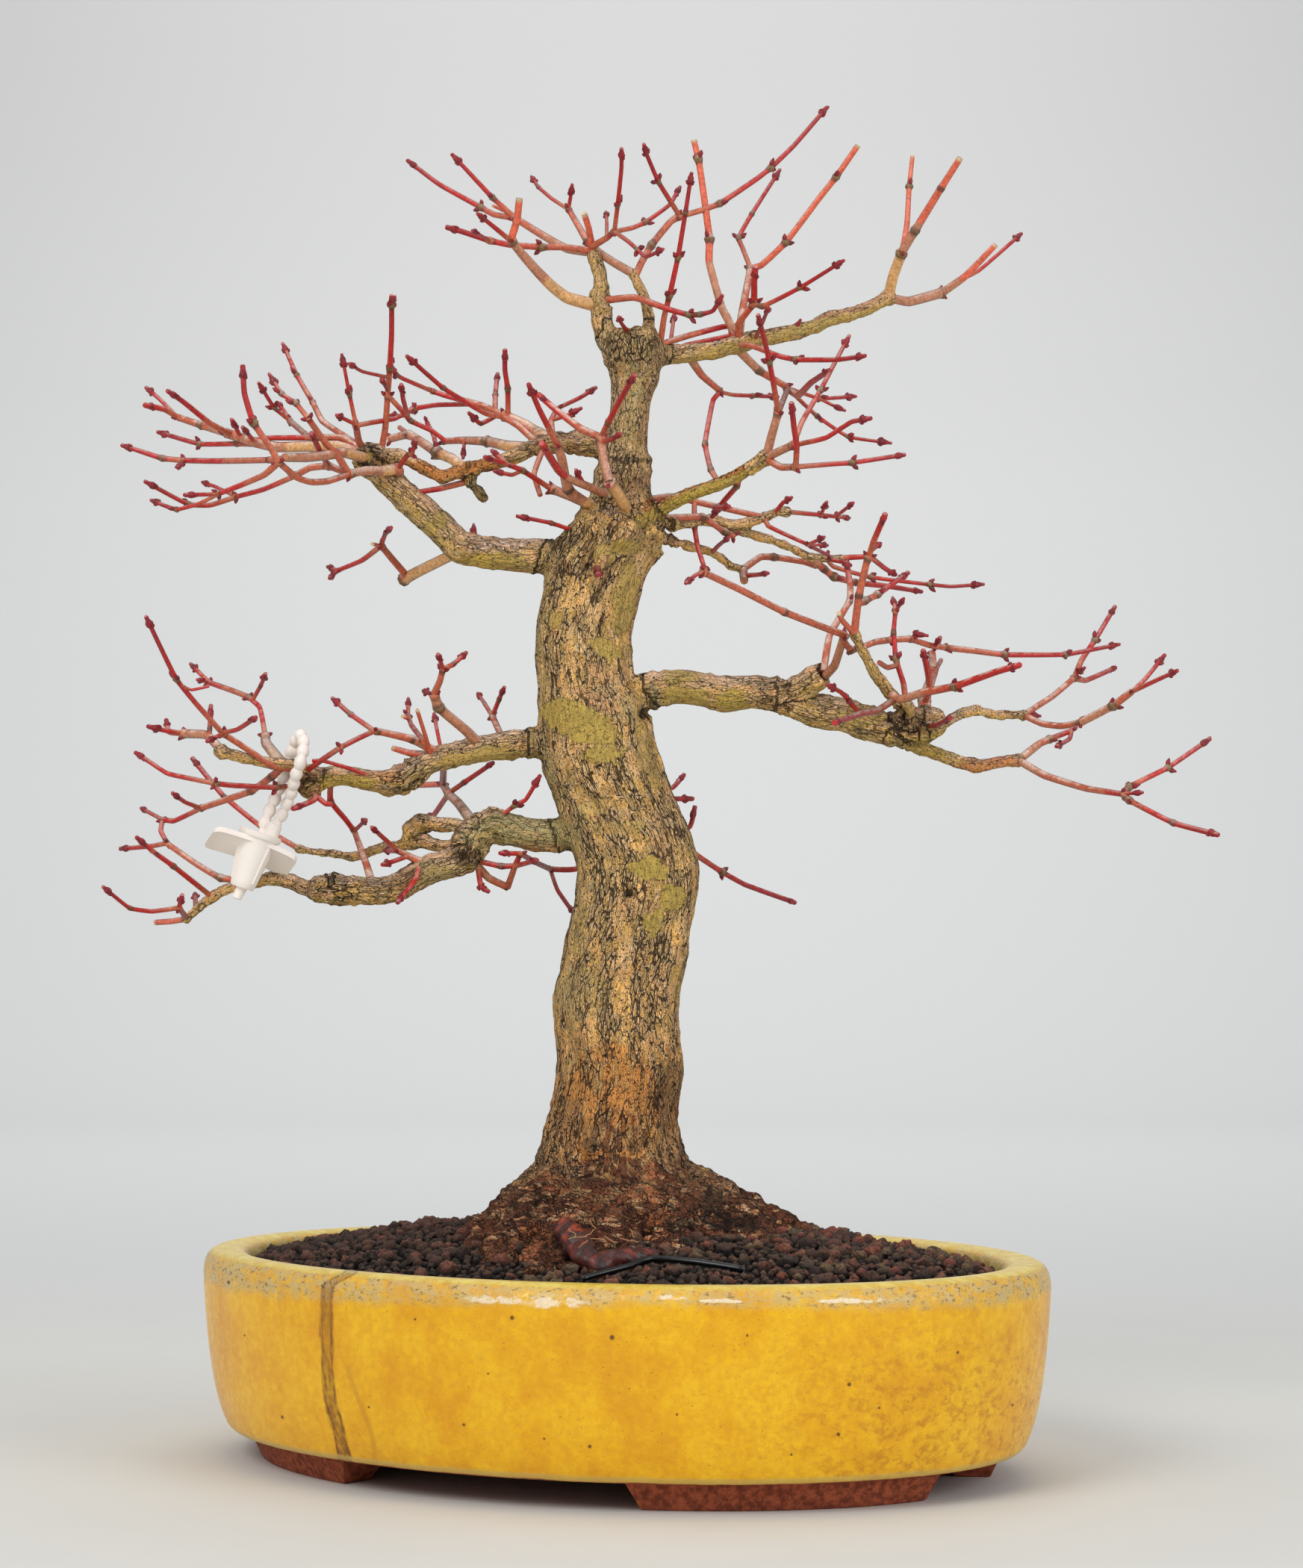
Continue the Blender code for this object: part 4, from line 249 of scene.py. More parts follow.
class Look:
    # the shader tree of one material or group, with a short word for each kind of node
    def __init__(self, tree):
        self.tree = tree
        self.nodes = tree.nodes

    def feed(self, socket, value):
        # a socket takes another socket's output or a plain value
        if hasattr(value, "is_output"):
            self.tree.links.new(value, socket)
        else:
            socket.default_value = value

    def math(self, operation, a, b=0.0):
        made = self.nodes.new("ShaderNodeMath")
        made.operation = operation
        self.feed(made.inputs[0], a)
        self.feed(made.inputs[1], b)
        return made.outputs[0]

    def times(self, *factors):
        product = factors[0]
        for factor in factors[1:]:
            product = self.math("MULTIPLY", product, factor)
        return product

    def plus(self, a, b):
        return self.math("ADD", a, b)

    def minus(self, a, b):
        return self.math("SUBTRACT", a, b)

    def over(self, a, b):
        return self.math("DIVIDE", a, b)

    def most(self, a, b):
        return self.math("MAXIMUM", a, b)

    def square(self, a):
        return self.math("POWER", self.math("ABSOLUTE", a), 2.0)

    def vector(self, operation, a, b):
        made = self.nodes.new("ShaderNodeVectorMath")
        made.operation = operation
        self.feed(made.inputs[0], a)
        self.feed(made.inputs["Scale" if operation == "SCALE" else 1], b)
        return made.outputs["Value" if operation == "DISTANCE" else "Vector"]

    def scaled(self, a, *factors):
        for factor in factors:
            a = self.vector("SCALE", a, factor)
        return a

    def range(self, value, low, high, outLow=0.0, outHigh=1.0):
        made = self.nodes.new("ShaderNodeMapRange")
        made.interpolation_type = "SMOOTHSTEP"
        for label, number in (("Value", value), ("From Min", low), ("From Max", high), ("To Min", outLow),
                              ("To Max", outHigh)):
            self.feed(made.inputs[label], number)
        return made.outputs["Result"]

    def mix(self, factor, a, b):
        made = self.nodes.new("ShaderNodeMix")
        made.data_type = "RGBA"
        for socket, value in (("Factor", factor), ("A", a), ("B", b)):
            self.feed(made.inputs[socket], value)
        return made.outputs["Result"]

    def ramp(self, value, stops):
        made = self.nodes.new("ShaderNodeValToRGB")
        self.feed(made.inputs["Fac"], value)
        ramp = made.color_ramp
        ramp.elements[0].position, ramp.elements[0].color = stops[0]
        ramp.elements[1].position, ramp.elements[1].color = stops[-1]
        for position, colour in stops[1:-1]:
            ramp.elements.new(position).color = colour
        return made.outputs["Color"]

    def noise(self, vector, scale, detail=4.0, rough=0.55, output="Fac"):
        made = self.nodes.new("ShaderNodeTexNoise")
        for label, value in (("Scale", scale), ("Detail", detail), ("Roughness", rough), ("Vector", vector)):
            self.feed(made.inputs[label], value)
        return made.outputs[output]

    def cells(self, vector, scale, feature, output):
        made = self.nodes.new("ShaderNodeTexVoronoi")
        made.feature = feature
        self.feed(made.inputs["Scale"], scale)
        self.feed(made.inputs["Vector"], vector)
        return made.outputs[output]

    def parted(self, kind, value):
        made = self.nodes.new("ShaderNodeSeparate" + kind)
        self.feed(made.inputs[0], value)
        return made.outputs

    def place(self, scale=(1, 1, 1), turn=(0, 0, 0)):
        # Object coordinates in mm, stretched and turned
        mapping = self.nodes.new("ShaderNodeMapping")
        mapping.inputs["Scale"].default_value = tuple(1000 * value for value in scale)
        mapping.inputs["Rotation"].default_value = turn
        self.feed(mapping.inputs["Vector"], self.nodes.new("ShaderNodeTexCoord").outputs["Object"])
        return mapping.outputs["Vector"]

    def attribute(self, name, output="Fac"):
        made = self.nodes.new("ShaderNodeAttribute")
        made.attribute_name = name
        return made.outputs[output]

    def group(self, group, place, values):
        made = self.nodes.new("ShaderNodeGroup")
        made.node_tree = group
        self.feed(made.inputs["Place"], place)
        for label, value in values.items():
            made.inputs[label].default_value = value
        return made.outputs

    def finished(self, colour, roughness, bumps=(), specular=0.5):
        # the Principled shader's inputs; each bump has its height, distance in mm and strength
        shader = self.nodes["Principled BSDF"]
        for label, value in (("Base Color", colour), ("Roughness", roughness),
                             ("Specular IOR Level", specular)):
            self.feed(shader.inputs[label], value)
        last = None
        for height, distance, strength in bumps:
            made = self.nodes.new("ShaderNodeBump")
            made.inputs["Distance"].default_value = distance * mm
            made.inputs["Strength"].default_value = strength
            self.feed(made.inputs["Height"], height)
            if last:
                self.feed(made.inputs["Normal"], last)
            last = made.outputs["Normal"]
        if last:
            self.feed(shader.inputs["Normal"], last)
        return self.material


def newLook(name):
    material = bpy.data.materials.new(name)
    material.use_nodes = True
    look = Look(material.node_tree)
    look.material = material
    return look


def newGroup(name, inputs, outputs):
    # a shader group with a Place vector and named numbers going in, and named values coming out
    group = bpy.data.node_groups.new(name, "ShaderNodeTree")
    group.interface.new_socket("Place", in_out="INPUT", socket_type="NodeSocketVector")
    for label, value in inputs.items():
        group.interface.new_socket(label, in_out="INPUT", socket_type="NodeSocketFloat").default_value = value
    for label in outputs:
        group.interface.new_socket(label, in_out="OUTPUT", socket_type="NodeSocketFloat")
    given = group.nodes.new("NodeGroupInput").outputs
    return Look(group), given, group.nodes.new("NodeGroupOutput").inputs


def addStage():
    # one sheet of paper: floor, a rounded cove, and the wall behind
    sizes = stageSettings
    bpy.ops.mesh.primitive_plane_add(size=1, location=(0, 0, 0))
    sheet = bpy.context.object
    sheet.name = "studioSheet"
    back, cove, coveSteps = sizes["back"], sizes["cove"], 24
    profile = [(sizes["front"], 0.0), (back, 0.0)]
    for step in range(1, coveSteps + 1):
        turn = math.radians(90 * step / coveSteps)
        profile.append((back + cove * math.sin(turn), cove * (1 - math.cos(turn))))
    profile.append((back + cove, sizes["height"]))
    verts = [(side * sizes["width"] / 2, y, z) for y, z in profile for side in (-1, 1)]
    faces = [(2 * i, 2 * i + 1, 2 * i + 3, 2 * i + 2) for i in range(len(profile) - 1)]
    sheet.data.clear_geometry()
    sheet.data.from_pydata(verts, [], faces)
    sheet.data.shade_smooth()
    look = newLook("studioPaper")
    place = look.nodes.new("ShaderNodeTexCoord").outputs["Object"]
    spot = look.parted("XYZ", place)
    change = look.range(spot["Y"], sizes["changeFrom"], sizes["changeTo"])
    rise = look.range(spot["Z"], *sizes["wallTones"])
    cloud = look.range(look.noise(place, 7.0, 5, 0.6), 0.35, 0.75, 0.0, 0.5)
    floor = sizes["floorColour"]
    toned = look.mix(cloud, (*floor, 1), (*(0.93 * value for value in floor), 1))
    paperTone = look.mix(rise, (*sizes["paperColour"], 1), (*sizes["highPaper"], 1))
    sheet.data.materials.append(look.finished(look.mix(change, toned, paperTone), 0.8, specular=0.2))


bpy.context.scene.view_settings.view_transform = "Standard"
deselectAll()
addCamera()
addLights()
addStage()
print("camera, lights and sheet are in place")


# trunk, from the soil to the head: height, left edge and right edge seen from the front, in mm
trunkEdges = (
    (58, -40, 50), (66, -42, 56), (74, -44, 60), (80, -43.4, 60), (85, -40.6, 56), (90, -37.6, 49),
    (95, -33.5, 40.4), (100, -30, 28), (105, -28.3, 24.5), (110, -27.2, 22.5), (115, -26, 21.5),
    (120, -24.3, 21.2), (125, -23.1, 21.5), (130, -22.1, 22.2), (135, -21.4, 23.2), (140, -20.9, 22.8),
    (145, -21.1, 22.3), (150, -21.9, 21.7), (155, -22.1, 21.2), (160, -22.2, 21.5), (165, -21.7, 21.7),
    (170, -20.4, 23), (175, -19.4, 24.5), (180, -18.6, 25), (185, -17.4, 25.2), (190, -16, 26.6),
    (195, -14.6, 27.6), (200, -14.2, 28.4), (205, -13.9, 28.9), (210, -14.2, 28.5), (215, -16.7, 27.2),
    (220, -18.6, 25.5), (225, -20, 23.1), (230, -21.3, 20.8), (235, -23.3, 18.7), (240, -25.7, 17),
    (245, -27.1, 15.5), (250, -27.4, 13.4), (255, -27.6, 12.4), (260, -27.8, 11.7), (265, -27.8, 10),
    (270, -27.6, 6), (275, -28.2, 5.6), (280, -28.8, 5.2), (285, -29, 4.9), (290, -29, 4.8),
    (295, -28.4, 5.6), (300, -27.1, 6.7), (305, -26.2, 8), (310, -25.7, 9.5), (315, -24.8, 12),
    (320, -23.4, 14.6), (325, -20, 16.4), (330, -15.5, 15.6), (335, -12.4, 14), (340, -9.4, 11.6),
    (345, -8.6, 11.8), (350, -7.2, 11.6), (355, -4.4, 10.3), (360, -3.5, 10.2), (365, -3, 10.6),
    (370, -2.5, 11.2), (375, -2.1, 12.2), (380, -2.1, 13.5), (385, -3.6, 15.6), (390, -5.6, 17),
    (395, -5.2, 16.4), (398.5, -3.4, 13),
)

# roots over the soil: back at both ends, width at both ends, ending, and the route as x and height, in mm
roots = (
    (0, -6, 22, 7, "sunk", (12, 104), (26, 95), (42, 88), (56, 82), (72, 74)),
    (-2, -8, 18, 6, "sunk", (-14, 106), (-28, 95), (-40, 86), (-52, 78), (-60, 70)),
    (-8, -48, 15, 6, "sunk", (-12, 100), (-21, 92), (-29, 80), (-36, 70), (-39, 62)),
    (-10, -54, 15, 6, "sunk", (0, 98), (-6, 84), (-9, 74), (-3, 69.6), (10, 66), (18, 60)),
    (6, 58, 18, 6, "sunk", (8, 104), (18, 98), (26, 94), (34, 88), (40, 78)),
    (6, 56, 16, 6, "sunk", (-8, 104), (-16, 97), (-24, 92), (-34, 86), (-40, 76)),
    (6, 44, 14, 6, "sunk", (0, 106), (2, 98), (0, 93), (-4, 84)),
)

# limbs and shoots in the same way; a third number in a point swells the wood there, as at a node or a knob
limbs = (
    # upper left limb, bending up to its big pruning scar
    (0, 4, 13, 10, "sunk", (-12, 317), (-24, 317.5), (-35, 318), (-45, 318.8), (-56, 321), (-61, 326.5),
     (-67.5, 332.5), (-75, 338.8), (-81.7, 345.2), (-87, 351.5, 1.35)),
    # right limb, along to the gnarled mass at its end
    (0, -14, 12, 12, "sunk", (2, 269), (10, 270.2), (20, 271.5), (30, 270.4), (38, 268.8, 1.08), (50, 269.6),
     (60, 267.3), (70, 262.8), (80, 261.3), (90, 257.8), (100, 256.6, 1.1), (107, 258, 1.15), (111, 258.5)),
    (-6, -6, 10, 9, "cut", (57, 268.5), (64, 271), (69, 274, 1.05), (73.3, 276)),
    # lower left limb one, with the tag, to its scarred knob
    (0, -12, 11.3, 6.5, "knob", (-16, 252), (-27.7, 251.6), (-38, 250.8), (-49.2, 249.2), (-61.7, 246.4),
     (-67.2, 244.6), (-72, 241.2, 1.1), (-76, 238.6, 1.2), (-81, 237.4, 1.25), (-86, 238), (-93, 239.2),
     (-101, 240.4), (-108.7, 236.6, 1.35)),
    # lower left limb two and its long grey and tan ends
    (6, 22, 12, 9.5, "sunk", (-12, 220), (-22, 218.6), (-31, 219.3), (-38, 221.2), (-44, 222.6, 1.12),
     (-49, 220.4, 1.15), (-52.5, 215, 1.25), (-54.5, 210.8, 1.15), (-60, 208.7), (-66, 207.2), (-71, 204.4),
     (-76, 201.2), (-83, 199.4), (-91, 199.4), (-99, 199.6, 1.1), (-104.5, 199.6, 1.1)),
    (22, 34, 5, 2.6, "node", (-54, 216), (-62, 215), (-68.3, 216.6), (-74, 215.6), (-82, 214.9),
     (-87.6, 212.8), (-93.8, 211.4), (-100.1, 212.4), (-106, 213), (-112.6, 214.2, 1.4)),
    (20, 30, 4.2, 6, "sunk", (-50.5, 221.4), (-56.6, 222.5), (-62.8, 222.6), (-68.6, 223.2), (-72.6, 221.8),
     (-73, 217.6)),
    # left middle limb, gnarled, and its orange branch towards the scar
    (0, 10, 9.5, 6, "sunk", (2, 357.5), (-8.2, 357), (-17.3, 358.2), (-26.4, 357.4), (-33, 355.4)),
    (8, 2, 5.6, 4.4, "sunk", (-31, 355.4), (-38.1, 352.4), (-47.5, 350), (-54.4, 348.2), (-62.5, 346),
     (-65.6, 347.6), (-72.4, 351), (-77.6, 353.4), (-84, 353.6)),
    (6, 8, 4.6, 3.8, "knob", (-52, 349), (-52.2, 344.6, 1.15), (-49.2, 340.8), (-47.3, 338.4)),
    # head of the trunk with its two leaders and the top right limb
    (0, 4, 9.6, 4.4, "knob", (2, 390), (-3.6, 395), (-5.6, 401), (-6.6, 409, 1.1), (-5.8, 413), (-6.4, 419),
     (-9, 426.4)),
    (0, -6, 5.4, 3.2, "sunk", (10.6, 391), (11, 401), (10.4, 407), (8.4, 412), (5.5, 418.6, 1.3)),
    (0, 18, 7.4, 4.6, "node", (10, 389), (24.4, 390.2), (34, 391), (41.5, 393, 1.12), (50.3, 395.4),
     (65.4, 398.2), (74.9, 402.2, 1.15), (84.3, 404.4), (93.5, 408.4), (96.2, 410.2, 1.45)),
    # orange right limb in front, its base knobs, and the tan limbs behind it
    (-4, -26, 5.6, 4.6, "node", (8, 328), (12.6, 333), (19.6, 337.2), (30.3, 341.5), (40.2, 345.3),
     (49, 350.4), (52.6, 352.8, 1.4)),
    (4, 30, 3.8, 3.4, "node", (12, 330), (23.6, 329.4), (33, 331), (39.6, 329, 1.25), (47, 330), (52, 331.6),
     (57, 333.4), (60, 333.6, 1.3)),
    (6, 52, 3.8, 2.6, "node", (30.5, 330.8), (38, 329), (45, 326.2), (58.4, 322, 1.2), (63.1, 320),
     (68.2, 317.4, 1.3), (74, 316.9), (80, 317)),
    (6, 40, 4, 2.8, "node", (13, 325.4), (20, 323.4), (25, 321.4, 1.2), (32, 319.6), (36, 317.4),
     (39.7, 314.2, 1.2), (44.4, 313, 1.5)),
    # olive limb that hangs to the right, and the tan one above it
    (-12, 16, 5.4, 4, "node", (97, 253.5), (106, 250.4), (117.9, 245.7), (126.2, 243.5, 1.25), (132, 244.3),
     (141.6, 245.4, 1.35)),
    (-12, 40, 4, 3, "node", (108, 256.4), (115.6, 258.7), (121, 261.8), (126.4, 262.8, 1.3), (133, 261.5),
     (143.4, 261.4, 1.5)),
    (-14, -34, 5, 3.4, "node", (104, 259), (101, 264), (96, 269.6), (92.6, 274, 1.15), (86.7, 284),
     (83.7, 290.2, 1.3)),
    # branch behind the trunk that carries the shoots seen on both its sides
    (12, 74, 9, 4.6, "knob", (3, 221), (5, 226), (7, 231, 1.1), (4, 237), (2, 241)),
    # outer ends of the two lower left limbs
    (-12, -34, 5, 4, "node", (-104.5, 240.6), (-114.7, 243.6), (-121.8, 244.2), (-131, 246),
     (-139.6, 248.4, 1.5)),
    (22, 6, 6, 3, "knob", (-101.5, 200), (-108, 199.6, 1.1), (-114.4, 202.2), (-120, 204, 1.15),
     (-128, 202.4), (-135, 200.8), (-141.4, 198.2), (-146, 194.6), (-152, 189.6, 1.5)),
)

shoots = (
    # from the top of the left leader
    (2, -22, 4.6, 2.8, "node", (-12, 407), (-18, 410), (-23.3, 414), (-28.5, 419.3), (-33.7, 425.2),
     (-38, 430.6, 1.5)),
    (-22, -28, 2.6, 2.4, "cut", (-37.6, 431.6), (-35.8, 438), (-35, 445.6)),
    (-22, -40, 1.8, 1.4, "bud", (-39.4, 430.8), (-44, 435.3), (-50, 440.2)),
    (4, 34, 3, 2.4, "node", (-9, 425.6), (-18, 427.5), (-27, 432.5), (-36.8, 438.7, 1.7)),
    (34, 62, 2, 1.5, "bud", (-37.6, 438.2), (-44.1, 439.8), (-48.6, 442.3, 1.5), (-63.5, 450.6),
     (-75, 459.3)),
    (34, 30, 1.9, 1.4, "bud", (-37.4, 439.8), (-44.7, 446, 1.5), (-53.8, 455.8), (-59.3, 461.7)),
    (34, 40, 1.3, 1, "cut", (-38.4, 439.8), (-44.5, 443)),
    (-6, 4, 3, 2.6, "sunk", (5.5, 418.6, 1.2), (-1.3, 422.5), (-6.5, 426), (-11.4, 430.4, 1.3)),
    (4, -14, 2.4, 1.9, "bud", (-10, 427.6), (-19.4, 428.1), (-27.2, 428.1, 1.5), (-38.2, 428.9),
     (-45.4, 430.4, 1.4), (-55.1, 433.6), (-61.2, 435.3)),
    (-8, -30, 1.1, 1, "bud", (-45.2, 430.2), (-48.6, 432.3), (-51.8, 434.2)),
    (4, 18, 2.4, 1.9, "node", (-11, 429.4), (-14.3, 436.2), (-17.6, 441.8, 1.6)),
    (18, 46, 1.5, 1.2, "bud", (-18, 441.6), (-23.3, 445.4), (-28.2, 449.6, 1.4), (-30.8, 453.5)),
    (18, 10, 1.4, 1.2, "bud", (-17.4, 441.8), (-16.7, 446.7), (-16.2, 450.8)),
    (2, -6, 2.4, 2.2, "cut", (-8.4, 427.6), (-10.4, 435), (-12, 440.3)),
    (2, -12, 2.4, 1.9, "node", (-9, 428.2), (-3.9, 431.4), (-1.2, 433.8, 1.6)),
    (-12, -42, 1.6, 1.4, "bud", (-1.2, 434), (0, 443.4, 1.5), (1.3, 456.5), (1.3, 463.7)),
    (-6, 14, 1.3, 1.1, "bud", (-4, 432), (-3.9, 437), (-4.2, 440.8)),
    (-12, 18, 1.7, 1.4, "bud", (-1, 433.4), (5.2, 435), (9.8, 437, 1.5), (18.5, 443.4), (22.2, 449.8)),
    (-12, -54, 1.6, 1.3, "bud", (-1, 433.4), (3.9, 430), (7.1, 427.1, 1.5), (10, 424.6), (16.2, 427.4)),
    (-6, 8, 2.6, 2.2, "node", (5.5, 417.6), (8.4, 422.5), (12, 428.8, 1.4), (18.8, 437.2),
     (22.2, 439.4, 1.7)),
    (8, -26, 1.8, 1.4, "bud", (21.6, 439), (16.8, 447.6), (14.3, 451.8, 1.5), (10.2, 461.6), (9.2, 465.2)),
    (8, 30, 2, 1.5, "bud", (22.4, 438.8), (30.7, 441.6), (36.4, 443.8, 1.5), (49.6, 452.7),
     (54.4, 456.5, 1.6), (62.9, 464.8), (74.9, 478.8)),
    (-2, -34, 2.2, 1.4, "bud", (14, 393), (16.5, 403), (18.4, 410.7, 1.5), (21.4, 424.4, 1.5),
     (24.1, 440.6, 1.4), (26.3, 455)),
    (4, -30, 2.6, 1.4, "bud", (-4, 408.6), (6, 410), (18.7, 405.6), (25.5, 403.8, 1.5), (29.4, 404, 1.4),
     (33.8, 405.3), (37.3, 411)),
    (-4, -24, 1.5, 1.2, "bud", (4.6, 396.6), (1.5, 400.5), (0.3, 403.2)),
    # along the top right limb
    (2, 14, 3, 2.2, "cut", (42, 394), (40.2, 400), (37, 406.3), (32.5, 422.8), (32.6, 431, 1.6),
     (29.7, 453.3), (28.7, 459.7, 1.5), (27.1, 466.4)),
    (4, 30, 2.8, 2.4, "node", (43, 396), (44, 403.7), (47.2, 420.6, 1.6)),
    (30, 58, 1.7, 1.3, "bud", (47, 420.4), (44.3, 427.9), (43, 431.4, 1.5), (47.7, 440, 1.4), (57.8, 456)),
    (30, 22, 2.2, 2, "cut", (47.6, 420.4), (50.9, 421.5), (59.7, 429.8, 1.5), (71.7, 445.7),
     (77.7, 453.3, 1.5), (85.5, 464.6)),
    (2, -16, 2.6, 2, "bud", (43.4, 395), (43.3, 401.2), (48.2, 408, 1.5), (48.5, 415.8), (49, 421)),
    (-10, -38, 1.8, 1.3, "bud", (48, 407.2), (51.5, 406.9, 1.4), (64.8, 413.6, 1.5), (80.5, 423.4)),
    (-4, -30, 1.6, 1.3, "bud", (49, 395), (52.1, 402.8), (53.7, 406.4)),
    (-2, -46, 2, 1.6, "bud", (41, 392.6), (47.1, 392.9), (57.2, 389.1), (63.4, 387.8, 1.6), (78, 387.8),
     (88, 389.2)),
    (0, 12, 1.8, 1.5, "sunk", (18, 391.6), (24.4, 393), (32.6, 394.8), (40, 396.4)),
    (0, 22, 2.2, 1.8, "sunk", (17, 393.4), (26.3, 396.7), (37.6, 399.6), (43, 400)),
    (0, 16, 1.6, 1.2, "bud", (18.6, 392), (19.8, 401.8, 1.4), (20.3, 404.8)),
    (8, 8, 1.4, 1, "bud", (61.6, 398.4), (65.1, 402.3)),
    (18, 6, 3.9, 3.6, "node", (95.8, 410), (98, 418), (101.1, 426.4, 1.4)),
    (6, 28, 2.2, 1.5, "cut", (101.4, 427), (102.8, 436), (103.7, 449.8, 1.8), (104.9, 460.6)),
    (6, -14, 3, 2.1, "cut", (101.4, 427), (105.8, 434.2, 1.3), (115, 449.2, 1.2), (121.9, 460.1)),
    (18, 34, 3.2, 3.4, "node", (97, 409.4), (103.2, 408.6), (115.4, 411.8, 1.4)),
    (34, 26, 2.9, 2, "cut", (115, 411.6), (123.3, 417.5), (134.4, 429)),
    (30, 56, 1.4, 1.4, "bud", (122.8, 416.4), (128.5, 419.8), (143.6, 433)),
    # under the top right limb
    (2, 16, 3, 2, "node", (25, 389.4), (29.9, 382.2), (36.6, 376.4, 1.4)),
    (16, 42, 1.4, 1.4, "bud", (35.4, 376), (41, 375.2), (48, 374.9, 1.5), (57, 374.5)),
    (-12, 14, 1.9, 1.7, "sunk", (36, 343.6), (33, 348.6, 1.4), (31, 357.4, 1.4), (31.6, 362), (33.9, 373.4),
     (36.2, 376.2)),
    (4, 20, 3.2, 2.2, "node", (43, 390.4), (50.2, 383.9, 1.3), (60.1, 378, 1.5)),
    (20, 48, 1.4, 1.3, "bud", (59.6, 377.6), (71.5, 374, 1.5), (84.6, 374.7)),
    (36, 30, 1.1, 1.1, "bud", (70.8, 374), (76.9, 371.2), (80.9, 369.5)),
    (20, 4, 1.5, 1.1, "bud", (60, 377.6), (70.8, 367.6, 1.7), (81.8, 360.3, 1.5), (97.2, 358)),
    (18, -22, 2.4, 1.9, "bud", (60.6, 377), (64, 375), (68.5, 379.5), (75.2, 384)),
    # on the orange right limb
    (-26, -34, 3.2, 2.8, "node", (52.6, 352.6), (54.7, 361), (57, 369.2, 1.3)),
    (-34, -70, 2, 1.7, "bud", (56.8, 369), (55.5, 377.9), (53.8, 387.1, 1.5), (52.8, 391.8), (49.8, 404)),
    (-34, -24, 2.2, 2, "sunk", (57.2, 369), (60.4, 377.6)),
    (-26, -40, 2.8, 2.2, "node", (52.8, 352), (57.8, 349.5), (63.2, 349.5, 1.7)),
    (-40, -24, 1.8, 1.5, "bud", (63, 349.5), (75.4, 350.5), (83, 351, 1.6), (102, 353.9)),
    (-26, -42, 3, 2.8, "node", (53, 353), (58.6, 355.7), (62.6, 357.4, 1.4)),
    (-41, -66, 1.8, 1.7, "bud", (62.4, 357), (73.8, 359.9), (83, 365.6), (90, 366.9)),
    (-42, -10, 1.9, 1.4, "bud", (62.2, 358.4), (65.4, 365.6), (71.9, 376.8, 1.6), (76.9, 386.4),
     (82.3, 396.5)),
    (-40, -60, 2, 1.9, "bud", (63.1, 350), (63.5, 357), (62.6, 363), (61.6, 372.6)),
    (-10, 6, 2, 1.7, "bud", (44.8, 346), (42.2, 342.7, 1.4), (37.5, 337.2), (33.4, 331.6)),
    (-16, -20, 1.8, 1.6, "bud", (35.6, 336.4), (34.2, 335), (39.6, 335.4)),
    # pink and tan twigs behind the orange limb
    (4, 24, 2.4, 2, "sunk", (12, 338.4), (19, 339), (27.3, 337.2), (43.3, 333.5), (53, 331.4)),
    (-2, 14, 2.8, 2, "node", (14, 331), (23, 331.4), (30.1, 331.6, 1.3), (37.8, 326.4, 1.4), (41.5, 324.7)),
    (24, 2, 1.8, 1.6, "node", (27, 336.6), (27.2, 328.4, 1.4), (28.4, 321), (30.7, 313.6)),
    (30, 58, 1.7, 1.4, "node", (60, 333.4), (71.9, 332.4, 1.7), (77.6, 331.8, 1.3)),
    (58, 70, 1.3, 1.2, "bud", (76.6, 331.8), (82.2, 331.3)),
    (58, 44, 1.3, 1.2, "bud", (77, 331.8), (83.6, 336.8)),
    (48, 40, 1.3, 1.2, "bud", (72, 332), (74.2, 337.2)),
    (26, 14, 1.6, 1.3, "bud", (56, 333), (58.6, 336.8), (61.8, 338.7)),
    (26, 6, 1.7, 1.4, "node", (51.6, 331), (53.5, 328.4), (67.5, 321.8, 1.6)),
    (8, -6, 1.4, 1.2, "bud", (67, 321.8), (73.3, 324.6)),
    (8, 20, 1, 1, "bud", (67, 321.8), (74.5, 321.6)),
    (8, 34, 1.4, 1.3, "node", (67, 321.8), (74.7, 318, 1.2)),
    (50, 24, 2, 1.7, "sunk", (78, 317), (84, 317.4), (89, 317.6)),
    (46, 72, 2.7, 1.5, "bud", (68, 317.4), (73, 313.2, 1.2), (76.7, 310.4, 1.5), (84.3, 308.4, 1.3),
     (94.6, 307.2), (107.8, 305.1)),
    (50, 62, 1.6, 1.2, "bud", (73.6, 316.8), (76.3, 314.1), (89.5, 310.3, 1.5), (110.2, 307.7, 1.7),
     (118, 307), (129.8, 307.8)),
    (50, 34, 1.5, 1.5, "bud", (73.6, 316.6), (80, 315.6), (82.6, 314.4)),
    (40, 56, 2.5, 1.9, "node", (43.6, 312.8), (50.6, 317.4), (55.4, 317.4, 1.4), (65.9, 315.7), (70.6, 314)),
    (40, 30, 3, 2.8, "knob", (44.4, 313.4), (44.8, 309)),
    (34, 20, 1.8, 1.4, "bud", (44.6, 310.2), (49.9, 311.2), (53.4, 311.7)),
    (22, 8, 1.6, 1.3, "bud", (33.4, 319.4), (36, 321.8), (39.4, 324.4)),
    # from the cut stump and the end of the right limb
    (-6, 12, 2.6, 2.2, "node", (71.4, 278), (75, 289.7), (79.6, 297.6), (82.3, 302.2, 1.4)),
    (12, 22, 2.2, 1.9, "bud", (82.3, 302), (82.3, 307.5), (80.9, 315.8)),
    (-6, -30, 3, 2.8, "node", (74, 274), (76.7, 279), (80.2, 289.8, 1.5)),
    (-30, -84, 2.5, 2.5, "node", (80.2, 289.8), (74.6, 291.8), (59, 297.9, 1.25), (43.4, 305.8),
     (30, 312.2, 2)),
    (-84, -98, 1.5, 1.4, "bud", (30.4, 312), (27.6, 311), (24, 308)),
